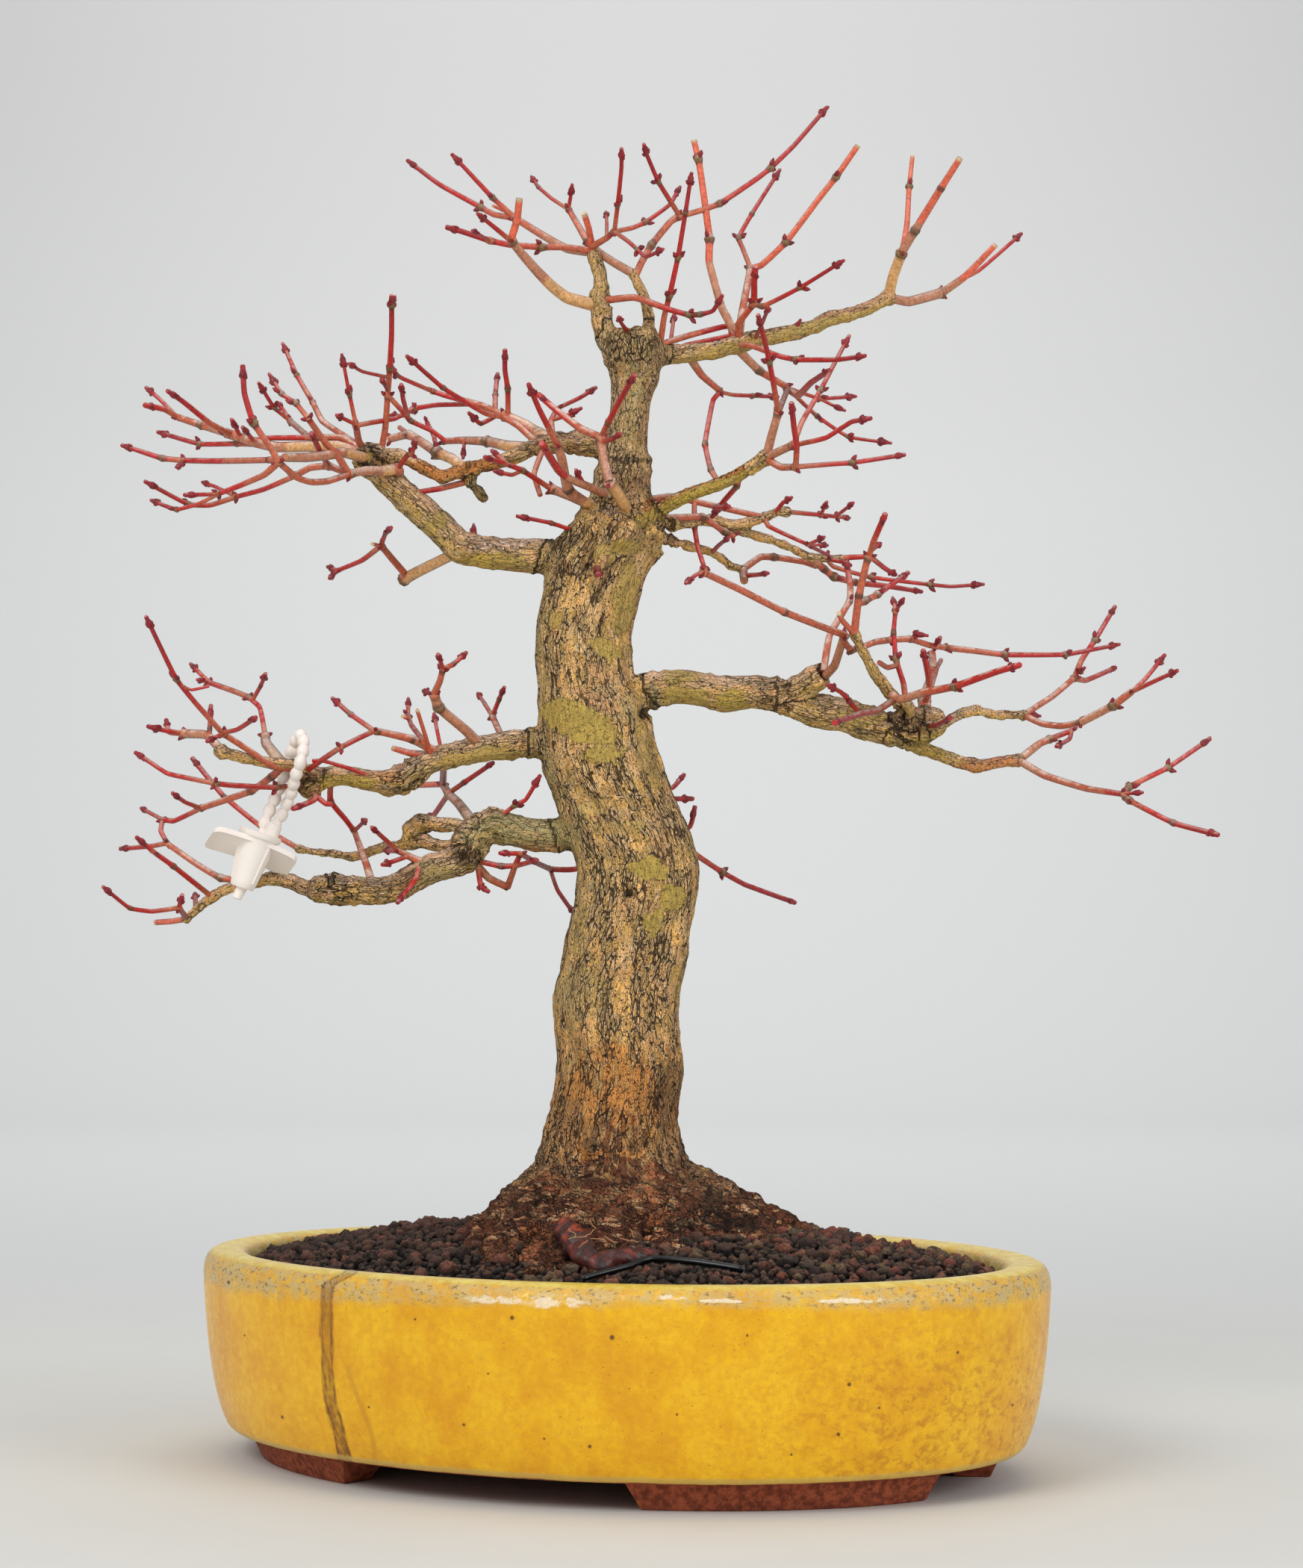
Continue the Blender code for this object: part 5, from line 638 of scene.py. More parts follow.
    (-28, 4, 2.2, 2.2, "node", (80, 287), (82.6, 284.4, 1.5), (91, 287.2), (97, 288.1, 1.4)),
    (4, 26, 2.2, 2, "node", (97, 288.1), (103.4, 288.3, 1.3), (110.4, 286.1), (116.6, 285.2, 1.5)),
    (26, 64, 2.2, 1.3, "bud", (116.6, 285.2), (124.6, 284.3), (136.6, 282.8, 1.6), (158.1, 282.8, 1.7),
     (165.6, 284.1), (177.6, 286.5)),
    (20, 14, 1.6, 1.5, "bud", (112.4, 285.8), (114.2, 289)),
    (12, 10, 1.2, 1.1, "bud", (104, 288.6), (106.6, 289.8), (110, 289.5)),
    (-34, -44, 2.8, 2.4, "node", (83.8, 290), (84.2, 294.7), (85.4, 303.8, 1.2), (88, 314.9),
     (89.1, 318, 1.8)),
    (-44, -60, 2.2, 2.1, "bud", (89, 318), (90.6, 322.9), (94.9, 332.9)),
    (-48, -34, 1.3, 1.2, "bud", (90.2, 319.4), (93.2, 322.4)),
    (-44, -20, 1.8, 1.7, "bud", (89.2, 317.4), (94.6, 313.4), (98.4, 311.1)),
    (-34, -50, 2, 1.8, "cut", (83.4, 290.4), (79.6, 294.7), (78.2, 297.5)),
    (-38, -18, 2.4, 1.7, "bud", (85, 301), (87.6, 301.9, 1.4), (92, 304.2, 1.5), (96.1, 307.1), (103, 312)),
    (-14, -2, 2.2, 1.5, "node", (103.4, 262), (101, 272.6), (98.4, 281, 1.5), (97.9, 286.8),
     (97.6, 290.6, 1.3), (98.3, 298.4, 1.6)),
    (-2, 6, 1.4, 1.2, "bud", (98.2, 298), (97.3, 303.2)),
    (-2, -12, 1.4, 1.2, "bud", (98.4, 298), (101.3, 302.8)),
    (-8, -20, 1.8, 1.8, "knob", (98.6, 278.4), (95.4, 278.2), (92.5, 280)),
    (-8, -24, 1.8, 1.5, "bud", (88, 260.6), (81.8, 266.5, 1.5), (79, 269.4), (73.8, 272.3)),
    (-30, -92, 2.4, 2.2, "bud", (98.4, 266.4), (91.7, 263), (86.1, 261.9), (76.6, 258.6)),
    (-16, -62, 3, 2.2, "bud", (95, 268.4), (100, 267), (107.4, 269.2), (119.3, 271.6, 1.6), (133.5, 276.6),
     (142.4, 279.2)),
    (-10, 24, 5, 2.2, "node", (109.4, 256), (108.4, 266.6, 1.2), (111.4, 276.4, 1.2), (111.2, 284)),
    (-12, -20, 2.4, 2, "bud", (108.4, 266), (110.2, 271), (109.7, 276.3), (108, 284.4)),
    (4, 34, 2, 1.6, "cut", (110.8, 272.6), (112.4, 277.4, 1.3), (114.3, 280.8)),
    (-12, -34, 2, 1.8, "bud", (109, 257.4), (113, 257.8), (117.6, 260.4)),
    # ends of the hanging olive limb
    (16, 30, 3, 2.4, "node", (141.6, 245.6), (149.1, 251.3), (153, 253, 1.5)),
    (30, 40, 2, 1.8, "node", (152.8, 253), (160.4, 255.9, 1.3)),
    (38, 20, 1.6, 1.5, "bud", (160, 255.8), (159.6, 253), (154.8, 250.2)),
    (16, -36, 2.9, 1.9, "node", (141.8, 245), (150.6, 240.1), (165.5, 235.4), (178.4, 233.4, 1.3)),
    (-36, -18, 2, 1.7, "bud", (178.4, 233.2), (180.6, 236, 1.6), (194.2, 242.8, 1.5), (209.6, 253.3)),
    (-36, -44, 1.4, 1.2, "bud", (178.6, 234), (185.4, 234)),
    (-36, -66, 2, 1.9, "bud", (178.2, 233.4), (180.6, 231.2, 1.6), (196, 223.3, 1.4), (212, 219)),
    (40, 66, 2.2, 2, "node", (143.4, 261.6), (153.6, 268), (161.5, 274.6, 1.9)),
    (66, 78, 2, 1.5, "bud", (161.5, 275), (164, 280.8), (168.8, 288, 1.6), (176.1, 300.1)),
    (66, 96, 1.9, 1.7, "bud", (161.5, 273.6), (165.5, 273.7), (176, 278.2)),
    (66, 60, 1.4, 1.2, "bud", (161.7, 276), (165.2, 278.2)),
    (40, 16, 2.2, 2.2, "node", (143.4, 261), (150, 258.3), (157, 257.5), (163.6, 258.8, 1.5)),
    (16, 4, 2.8, 2.6, "node", (163.6, 258.8), (175.1, 264.8, 1.6), (181.8, 269.8)),
    (4, 16, 1.6, 1.5, "bud", (181.4, 269.4), (186.3, 274), (193.5, 282.8)),
    (4, -22, 1.8, 1.5, "bud", (181.4, 269.4), (186.3, 271.8), (198, 277.2)),
    (40, 48, 1.3, 1.2, "bud", (143.6, 261.6), (149.4, 261)),
    # around the big scar of the upper left limb
    (2, -18, 4.4, 2.8, "node", (-77, 344), (-78.4, 348.4, 1.3), (-83.5, 348), (-89.3, 348.2),
     (-95.4, 346.9, 1.5)),
    (-18, -52, 2.2, 2.2, "node", (-95.4, 346.6), (-102.8, 344.4), (-108.5, 344.1), (-113.5, 345.6),
     (-120.2, 351.2, 1.5)),
    (-52, -64, 2.4, 1.8, "bud", (-120.2, 351.2), (-122.9, 356.1), (-129.1, 365.2, 1.8), (-132.4, 375.7),
     (-133.1, 386)),
    (-18, -34, 2.6, 2, "node", (-95.4, 347.4), (-99.7, 354.2), (-103.5, 358), (-109.9, 367, 1.3)),
    (-34, -22, 1.9, 1.3, "bud", (-109.9, 367), (-114.2, 372.2, 1.5), (-119.3, 375.7, 1.6), (-123.8, 382.9)),
    (-18, 0, 2.4, 2.4, "node", (-95.4, 347.2), (-102.4, 349.8, 1.4), (-109, 349.2), (-114.6, 346.2, 1.5)),
    (0, 24, 2, 1.7, "node", (-114.6, 346), (-125.5, 341.5), (-135.4, 338.8, 1.8)),
    (24, 6, 1.8, 1.5, "bud", (-135.4, 338.6), (-144.4, 335.9), (-152, 336.2, 1.5), (-167.8, 344.5)),
    (24, 44, 1.3, 1.3, "bud", (-135.4, 339.4), (-141.9, 342.2), (-147.2, 344.1)),
    (-52, -36, 2.4, 1.8, "node", (-120.2, 350.8), (-125.4, 346.6), (-135.5, 342.2), (-141.8, 339.8, 1.4)),
    (-36, -48, 1.3, 1.6, "bud", (-141.6, 339.8), (-153.6, 339.5)),
    (-36, -14, 1.5, 1.4, "bud", (-141.6, 339.6), (-148.1, 336.5), (-156.3, 334.4, 1.5), (-165.4, 337.7)),
    (4, 28, 4, 3, "sunk", (-86, 353), (-97, 354.6), (-104.1, 353.6), (-110.4, 352.9), (-118, 352.9)),
    (28, 12, 2.2, 1.9, "node", (-115, 352.8), (-123.5, 352, 1.2), (-141.8, 351.6), (-153.9, 351.8, 1.6)),
    (12, 20, 2, 1.5, "bud", (-153.7, 351.9), (-161.4, 352.6, 1.4), (-170.1, 355.4), (-176, 357.3)),
    (12, -4, 1.4, 1.3, "bud", (-153.7, 351.2), (-156, 349.2)),
    (4, 30, 4, 3.2, "node", (-87, 355.6), (-99, 357), (-110.4, 356.8), (-121, 356.6), (-130.5, 358.8),
     (-139.3, 361.8, 1.1)),
    (30, 46, 2.8, 2.2, "node", (-139, 361.8), (-147.6, 364.4, 1.4), (-156, 367.2, 1.2)),
    (46, 34, 2, 2, "bud", (-156, 367.2), (-160.7, 370), (-168, 371.6)),
    (46, 62, 1.4, 1.5, "bud", (-156.4, 367.4), (-162.6, 373.8), (-167.4, 377.9)),
    (28, 2, 2.2, 1.7, "bud", (-137, 361.6), (-144.3, 364.9), (-153.8, 372.5), (-159.9, 376.8)),
    (22, 54, 1.9, 1.5, "bud", (-126, 357), (-134.9, 357.8, 1.4), (-148.1, 357.7, 1.5), (-163.2, 362)),
    (26, 18, 1.5, 1.5, "bud", (-134, 360.8), (-137, 366.6)),
    (22, 12, 1.5, 1.5, "bud", (-129, 359.2), (-133.1, 363.8)),
    (6, 38, 2.4, 1.7, "sunk", (-88, 357.6), (-97.8, 359.9), (-109.8, 359.9), (-124.3, 359.8), (-128, 359.2)),
    (8, 40, 2.4, 1.9, "node", (-92, 359.4), (-97.8, 361.1), (-104.8, 366), (-108.3, 372.8, 1.5)),
    (40, 56, 1.8, 1.3, "bud", (-108.3, 372.8), (-113.9, 382.3, 1.5), (-119, 393.8)),
    (30, 58, 2.2, 2, "node", (-104, 360), (-109.8, 360.6), (-116.3, 366, 1.4)),
    (58, 42, 1.4, 1.3, "bud", (-116.3, 366), (-121.8, 370.6, 1.5), (-127.5, 379.7)),
    (58, 70, 1.3, 1.3, "bud", (-116.3, 366), (-118, 369), (-120.7, 372.6)),
    (-30, -46, 2, 2, "bud", (-102.6, 350), (-105.4, 354.8), (-108.6, 361.6)),
    (10, -20, 2.6, 2.2, "node", (-89, 355), (-91.8, 358.8), (-92.8, 364.4, 1.5)),
    (-20, -30, 1.6, 1.1, "bud", (-92.8, 364.4), (-95.2, 375.6, 1.7), (-98, 390)),
    (-20, -36, 1.5, 1.4, "bud", (-92.8, 365.2), (-99.8, 368)),
    (-20, 12, 1.7, 1.7, "node", (-92.6, 364), (-86.8, 365.4), (-79, 366.8), (-72.6, 370.2, 1.6)),
    (6, -10, 2.4, 2, "node", (-84, 355), (-82.4, 363.4), (-81.6, 375.4, 1.5)),
    (-10, -36, 2, 1.7, "bud", (-81.6, 375.4), (-80.9, 384.7, 1.4), (-80.3, 396.5), (-80.3, 407.6, 1.6),
     (-80.3, 411)),
    (-10, -28, 1.6, 1.5, "bud", (-81.6, 377.4), (-83.8, 380.8)),
    (-18, -50, 1.3, 1.2, "bud", (-81.2, 381), (-90.7, 383.6), (-95.4, 386.4)),
    (-10, 30, 1.9, 1.7, "sunk", (-81.6, 374.6), (-76.9, 370), (-73.4, 366, 1.3), (-65.9, 362.4),
     (-61, 358.8)),
    (-16, -30, 1.7, 1.6, "bud", (-74, 368), (-76.1, 373.7), (-76.8, 379)),
    (-30, -20, 1.8, 1.8, "node", (-76.6, 350), (-74.3, 353.9), (-72.9, 354.4, 1.5)),
    (-20, -30, 1.6, 1.5, "bud", (-73, 353.6), (-71.6, 359.2)),
    # from the left middle limb, up and left
    (6, 12, 5, 3.4, "node", (-22, 359.6), (-28, 361, 1.2), (-33, 364.4), (-40.6, 368, 1.4)),
    (12, 22, 2.4, 1.7, "node", (-40, 368.2), (-48.3, 371.5), (-61.5, 375.1), (-66.2, 376.7, 1.5)),
    (22, -8, 1.6, 1.5, "node", (-66.2, 376.7), (-76.1, 381), (-78.8, 382.6, 1.5), (-80.6, 386.4)),
    (16, 38, 1.6, 1.7, "node", (-50, 372), (-64.4, 371.6), (-71.8, 370.4, 1.7)),
    (38, 12, 1.5, 1.4, "bud", (-71.8, 370.4), (-76.1, 367.8), (-80.6, 367.9)),
    (12, -30, 1.9, 1.5, "bud", (-39.4, 366.8), (-46.9, 368.6), (-62, 377.8, 1.4), (-75, 389.2)),
    (0, -22, 3.2, 2, "sunk", (-24, 357), (-30.1, 359.8), (-35.2, 364.2), (-41, 367.6)),
    (12, -6, 1.8, 1.7, "bud", (-38.4, 367.4), (-39, 377.4, 1.4), (-40, 384), (-40, 391.6)),
    (12, 34, 1.9, 1.5, "bud", (-43.2, 369.6), (-43.4, 375.2, 1.4), (-42.6, 382.9)),
    (12, 0, 1.7, 1.4, "bud", (-42, 367.6), (-48.6, 365, 1.2), (-53, 369)),
    (10, 32, 4.4, 2, "node", (-31, 356.8), (-38.8, 356.9), (-46.3, 358.6, 1.4), (-55.7, 359),
     (-62, 358.6, 1.5)),
    (24, 20, 1.2, 1.2, "bud", (-54.8, 358.6), (-54.8, 352.4)),
    (4, 24, 4, 2.6, "node", (-54, 350), (-58.7, 352.4), (-64, 354.6, 1.5), (-74, 361, 1.2), (-81, 359.4)),
    (12, 30, 1.7, 1.5, "node", (-63.8, 354.6), (-65.2, 360.5), (-67.6, 365.4, 1.3)),
    (18, 34, 1.7, 1.6, "cut", (-73, 360.6), (-77.4, 363.6)),
    (8, 2, 2.2, 1.8, "sunk", (-55, 343.6), (-62.9, 341.8), (-71.6, 340.4)),
    # in front of the trunk, from the gnarled shoulder
    (-20, -64, 3.2, 2.5, "bud", (-4, 338), (-9.6, 342.2), (-17.6, 345.5), (-21.3, 348.8), (-27, 358)),
    (-22, -34, 4, 3, "node", (-5, 333), (-11.8, 337.1), (-17.6, 341.6, 1.2), (-19.8, 352.4),
     (-21.6, 357.8, 1.2)),
    (-34, -58, 2.2, 1.8, "bud", (-21.6, 357.6), (-27.8, 370), (-31.7, 379.2)),
    (-22, -8, 4, 3, "node", (-5, 334), (-15.4, 338.6), (-23.9, 341.8, 1.4)),
    (-8, -24, 2, 1.8, "node", (-23.8, 342), (-33.7, 348.2, 1.4), (-38.8, 350.3)),
    (-24, -40, 1.8, 1.7, "bud", (-38, 350), (-47.2, 353)),
    (-24, -14, 1.7, 1.7, "bud", (-39, 350.2), (-44.6, 355.4)),
    (-20, -8, 1.5, 1.4, "bud", (-34.6, 348), (-37.4, 346.7), (-43.8, 348)),
    (0, -12, 2, 1.8, "knob", (-25.6, 354.6), (-29.6, 347), (-27.4, 339.4)),
    (-22, -30, 4.4, 4.2, "node", (7, 328), (4.7, 331.9), (-0.2, 340.3), (-3, 344.4, 1.2)),
    (-30, -26, 3.2, 3.2, "node", (-3, 344), (-5.2, 353.4), (-6, 360, 1.5)),
    (-26, -60, 2, 1.9, "bud", (-5.6, 360.4), (-3.3, 365.6, 1.3), (2.1, 375.6), (6, 382.4)),
    (-26, -44, 1.7, 1.6, "bud", (-4.4, 359.2), (-1.8, 359.5), (1, 361.4)),
    (-26, -12, 2.8, 2, "bud", (-6.2, 360), (-13.3, 363.3), (-22.8, 370.6), (-28.4, 375.6)),
    (-4, 16, 2.2, 1.8, "node", (-22, 361), (-23.5, 366.2), (-21.4, 370.4, 1.4)),
    (16, 30, 1.5, 1.5, "bud", (-21.4, 370.4), (-13.2, 374.3), (-7.6, 377.9)),
    (16, 4, 1.5, 1.4, "bud", (-22.6, 366.4), (-17.6, 368), (-12.7, 370.6)),
    (-20, -34, 1.5, 1.3, "bud", (-12.6, 343.2), (-14.9, 348.6)),
    (-6, -26, 1.6, 1.4, "bud", (-10, 326.4), (-23.5, 329.5, 1.4), (-35.8, 332)),
    (-27, -33, 2.2, 1.9, "bud", (-7.8, 317.6), (-7.6, 316), (-6.8, 311)),
    # under the upper left limb
    (4, 30, 3.8, 4, "knob", (-55, 318.8), (-64.9, 315.1), (-70.7, 312.2), (-75.8, 309.4, 1.25)),
    (28, 14, 2.4, 2.2, "node", (-75.2, 311), (-79.4, 316.3), (-83.8, 321.6, 1.5)),
    (14, -6, 1.8, 1.5, "bud", (-83.6, 322), (-82, 326.2, 1.3), (-80.1, 328)),
    (14, 40, 1.9, 1.6, "node", (-83.8, 320.8), (-90.4, 316.3), (-99.2, 312.6, 1.4)),
    (40, 48, 1.4, 1.4, "bud", (-99, 312.7), (-102.7, 314)),
    (40, 30, 1.4, 1.4, "bud", (-99, 312.4), (-102, 309.8)),
    (14, 4, 1.3, 1.3, "cut", (-84, 321.4), (-86.8, 322.1)),
    (8, 8, 1.4, 1.1, "bud", (-50.6, 325), (-51, 329.2)),
    # on top of the first lower left limb
    (-2, -24, 3.6, 3.2, "node", (-47.4, 250.6), (-53.4, 255.8), (-63.1, 264.1, 1.4), (-64.9, 269, 1.2)),
    (-24, -30, 2.4, 2, "node", (-64.6, 268.6), (-62.8, 273.4), (-61.7, 277.8, 1.3)),
    (-30, -42, 1.6, 1.6, "bud", (-61.8, 277.8), (-63.5, 283)),
    (-30, -18, 1.8, 1.6, "bud", (-61.6, 277.8), (-58.2, 279.3, 1.2), (-53.4, 283.6)),
    (-24, -10, 1.6, 1.6, "bud", (-65, 267.8), (-68.6, 270)),
    (2, 18, 2.4, 2.2, "node", (-41, 254.8), (-44.2, 261, 1.4)),
    (18, 40, 1.6, 1.2, "bud", (-44.2, 261), (-46.8, 265.2, 1.2), (-49.4, 269.2)),
    (18, 6, 1.7, 1.4, "bud", (-44.2, 261), (-41.8, 267, 1.3), (-39.9, 271.4)),
    (-8, -34, 1.7, 1.4, "cut", (-65.8, 248), (-68.6, 256.4), (-70.8, 263.2)),
    (-4, 12, 1.3, 1.4, "bud", (-62.4, 249.6), (-63.8, 256.4), (-64.8, 262)),
    (-8, 22, 2, 1.6, "node", (-70.6, 251.6), (-72.9, 258), (-74, 261.6, 1.2)),
    (22, 30, 1.5, 1.4, "bud", (-74, 261.4), (-73.9, 267.3)),
    (22, 12, 1.4, 1.4, "cut", (-73.6, 260), (-76, 261)),
    (-6, -20, 3.2, 2.2, "node", (-60, 248), (-65.8, 249.4), (-72.6, 252.8, 1.15), (-81.8, 255),
     (-85.9, 255.8, 1.5)),
    (-20, 4, 1.9, 1.6, "bud", (-85.9, 255.8), (-94.2, 261.6, 1.4), (-100.8, 267.4)),
    (-20, -42, 1.9, 1.9, "node", (-85.9, 255.6), (-92, 252.9), (-98, 249.8, 1.5)),
    (-42, -26, 1.9, 1.9, "sunk", (-98, 249.8), (-104.5, 245.4), (-110, 241.5)),
    (-10, -4, 3, 1.8, "cut", (-66, 246.6), (-72.7, 247.8), (-79.5, 249.7)),
    (-16, -30, 1.4, 1.3, "sunk", (-84, 240.2), (-94.1, 242.4), (-104, 245.2), (-107.6, 245.2)),
    # outer end of the first lower left limb
    (-34, -16, 3, 3, "node", (-139.6, 249), (-145.1, 254.3), (-153.6, 254.8, 1.4)),
    (-16, -4, 1.8, 1.7, "bud", (-153.4, 254.8), (-158.4, 255.4), (-159.4, 259.8)),
    (-16, -28, 1.7, 1.7, "bud", (-153.6, 255.2), (-160, 256), (-166, 257.4)),
    (-18, -40, 2.2, 2.2, "node", (-112, 240.6), (-121.7, 243.4), (-129.5, 248.5), (-139.5, 255, 1.5)),
    (-40, -78, 1.9, 1.5, "bud", (-139.5, 255), (-149, 265.6), (-156, 274.3, 1.6), (-166.9, 296.5)),
    (-58, -40, 1, 1, "sunk", (-153, 271.8), (-150.6, 270.3), (-144.4, 271.6)),
    (-40, -66, 1.6, 1.7, "bud", (-139.5, 255.4), (-134.2, 256.3), (-127.6, 260.6)),
    (-30, -24, 1.5, 1.5, "bud", (-144.2, 253.6), (-144, 256.5, 1.2), (-143.6, 265.2)),
    (-38, -52, 1.6, 1.5, "bud", (-139.4, 254), (-145, 252)),
    (-22, 6, 4, 3.2, "node", (-118.6, 244.6), (-124, 251.4, 1.1), (-124.4, 254.4, 1.1)),
    (6, 24, 1.8, 1.7, "node", (-124.4, 254), (-126.4, 264.1), (-130.4, 267.8, 1.7)),
    (24, 50, 2, 1.9, "node", (-129.8, 267.6), (-135.7, 269.9), (-144.5, 273, 1.5)),
    (50, 62, 1.6, 1.4, "bud", (-144.5, 273.4), (-151, 279.6)),
    (50, 40, 1.2, 1.2, "bud", (-144.5, 273), (-148.6, 273.9)),
    (20, 4, 1.5, 1.4, "bud", (-128.4, 267.4), (-126, 271.9, 1.2), (-124.3, 276.2)),
    (-16, -31, 1.8, 1.8, "sunk", (-110, 238.2), (-113.4, 236.7), (-116.4, 236)),
    (-31, -52, 1.8, 1.9, "node", (-115.4, 236.2), (-120.4, 235.8, 1.5), (-135.5, 236.5),
     (-142.1, 237.2, 1.5)),
    (-52, -30, 1.7, 1.6, "bud", (-142.1, 237.2), (-158.7, 240.7), (-164.2, 244.2), (-170.3, 248.2)),
    (26, 64, 2, 1.8, "bud", (-112.6, 214.6), (-125.7, 222), (-138.6, 232.4, 1.2), (-143.8, 238.4),
     (-150.2, 246.3)),
    (-28, 8, 2.6, 2.2, "node", (-118, 243), (-122, 239.6, 1.2), (-129.2, 234.6, 1.3), (-147.1, 228.4, 1.5)),
    (8, 24, 1.8, 1.8, "node", (-147.1, 228.2), (-156.4, 224), (-160.4, 224.4, 1.4)),
    (24, 44, 1.5, 1.5, "bud", (-160.4, 224.4), (-168, 228.5)),
    (24, 14, 1.7, 1.7, "node", (-160.6, 224.2), (-161, 220.5), (-158.8, 216.2, 1.5)),
    (8, -10, 1.6, 1.5, "bud", (-147, 228.8), (-152.5, 230.6), (-157.1, 233.9)),
    (14, 30, 1.7, 1.5, "bud", (-158.8, 216), (-164.8, 215), (-175.7, 214.1)),
    (6, 14, 2.4, 2, "sunk", (-131, 204.4), (-139.9, 203.9, 1.4), (-148.4, 208.8), (-158.8, 216)),
    (-14, -30, 2, 1.9, "bud", (-105.8, 235.6), (-106.8, 231.6), (-114.6, 228.2)),
    (-12, 10, 2, 1.7, "sunk", (-106.6, 232.4), (-102.8, 230), (-100.6, 230)),
    (-8, 10, 2, 1.9, "node", (-101.3, 239), (-101.2, 231, 1.3), (-96, 224.6), (-92.8, 220.4, 1.5)),
    (10, 24, 1.9, 3, "sunk", (-92.8, 220.4), (-88.5, 208.6), (-86.2, 201)),
    (10, -8, 1.4, 1.3, "bud", (-92.6, 220.6), (-88.6, 224.5)),
    # around the second lower left limb
    (18, 40, 4, 2.6, "node", (-51, 224), (-56, 230.1), (-59.6, 233.6, 1.2), (-61.6, 237, 1.2)),
    (40, -2, 2.4, 2.2, "sunk", (-61.6, 237), (-61.3, 244.6)),
    (38, 60, 2, 2, "cut", (-61.6, 236.8), (-71.4, 236.6)),
    (36, 8, 1.8, 1.7, "bud", (-59.4, 234), (-54, 237.6, 1.3), (-43.8, 244.6)),
    (34, 56, 1.9, 1.8, "node", (-59.6, 233.4), (-62.9, 228.7), (-65.2, 225.4, 1.2)),
    (14, -14, 1.6, 1.5, "bud", (-43, 226), (-36.2, 229.5, 1.5), (-32.4, 231.5), (-27.2, 240.2)),
    (14, 2, 3.2, 2.4, "knob", (-48.6, 209.4), (-45.4, 203.9), (-38.6, 200.6, 1.2)),
    (2, -16, 2.4, 1.9, "node", (-38.8, 201.2), (-36.1, 208), (-34.2, 212.4, 1.3)),
    (-8, -26, 1.8, 1.7, "bud", (-36.2, 208), (-28.2, 210.2)),
    (12, -6, 2, 1.6, "bud", (-49.6, 206.4), (-48.1, 201.1), (-45.1, 198.8)),
    (16, -10, 1.9, 1.8, "sunk", (-50, 210.4), (-40.9, 208, 1.3), (-35.6, 208.2)),
    (72, 30, 2, 1.9, "node", (3.4, 238), (-14, 207.4), (-23.6, 206.9, 1.3)),
    (30, 0, 2, 1.9, "sunk", (-23.4, 206.9), (-28.1, 209), (-34.2, 212.4)),
    (30, 58, 1.5, 1.5, "bud", (-23.8, 206.4), (-21.1, 199.6), (-15.4, 191.4)),
    (0, -24, 1.7, 1.6, "bud", (-34, 212.6), (-41.6, 212.6)),
    (18, -12, 3.4, 2, "node", (-60, 208.6), (-69.4, 209.6, 1.2), (-78, 213.8, 1.2)),
    (-12, -36, 1.8, 1.4, "bud", (-77.8, 213.7), (-86.8, 221.9)),
    (-10, 4, 1.6, 1.6, "bud", (-77, 213.4), (-82.2, 213.6)),
    (-2, -26, 1.7, 1.6, "bud", (-73.6, 211.4), (-79.9, 209.4), (-83, 208.5)),
    (14, -28, 2, 1.7, "bud", (-70.6, 208.6), (-71, 203.8), (-77.6, 195)),
    (8, -24, 1.9, 1.8, "node", (-142.6, 197.6), (-156.5, 208, 1.4), (-163.1, 212.7)),
    (-24, -32, 1.8, 1.6, "bud", (-162.8, 212.5), (-169.7, 218.3)),
    (6, -14, 2, 1.8, "node", (-151, 189.6), (-154.4, 193.4, 1.6)),
    (-14, -20, 1.7, 1.6, "bud", (-154.4, 193.4), (-153.3, 198)),
    (-14, -40, 1.6, 1.4, "bud", (-154.4, 193.2), (-164, 192.1), (-171.8, 193.3, 1.3), (-181.4, 200.9)),
    (6, 24, 1.8, 1.6, "bud", (-148.6, 193.4), (-148.8, 198.4)),
    (6, 22, 2, 1.9, "cut", (-151, 189.2), (-157, 188.6), (-162.6, 188.2)),
    # shoots of the branch behind the trunk
    (70, 92, 2, 1.6, "bud", (2.6, 236), (19, 235.5), (23.6, 240.4)),
    (60, 62, 1.8, 1.7, "bud", (5, 232), (20, 231.8), (26.8, 231.8)),
    (50, 36, 1.7, 1.6, "bud", (6, 229), (25, 221.6), (27.4, 229.4)),
    (44, 96, 2.2, 1.7, "bud", (5, 226), (28.5, 211.5), (36.8, 206, 1.6), (45, 201.5), (62.7, 195.1)),
    (74, 128, 3, 1.7, "bud", (2, 240), (-4, 248, 1.2), (-8, 262), (-6, 272)),
    (74, 116, 3, 1.7, "bud", (2.4, 239), (8, 246, 1.2), (7, 258), (3, 268)),
)

woodSettings = {
    "tubeSides": 24, "trunkSides": 48,
    "ringStep": 2.5,          # mm between two rings of a limb
    "trunkStep": 2.0,
    "shootStep": 1.0,
    "swing": 0.38, "slack": 0.62,     # how far a curve swings out between two readings
    "fuller": 1.06,           # shoots against their read width
    "flareTop": 104.0,        # height in mm where the trunk starts to widen into the roots
    "upperTrunk": 338.0,      # height where the trunk's bark turns brown and smoother
    "bud": {"length": 5.0, "width": 2.5},
}


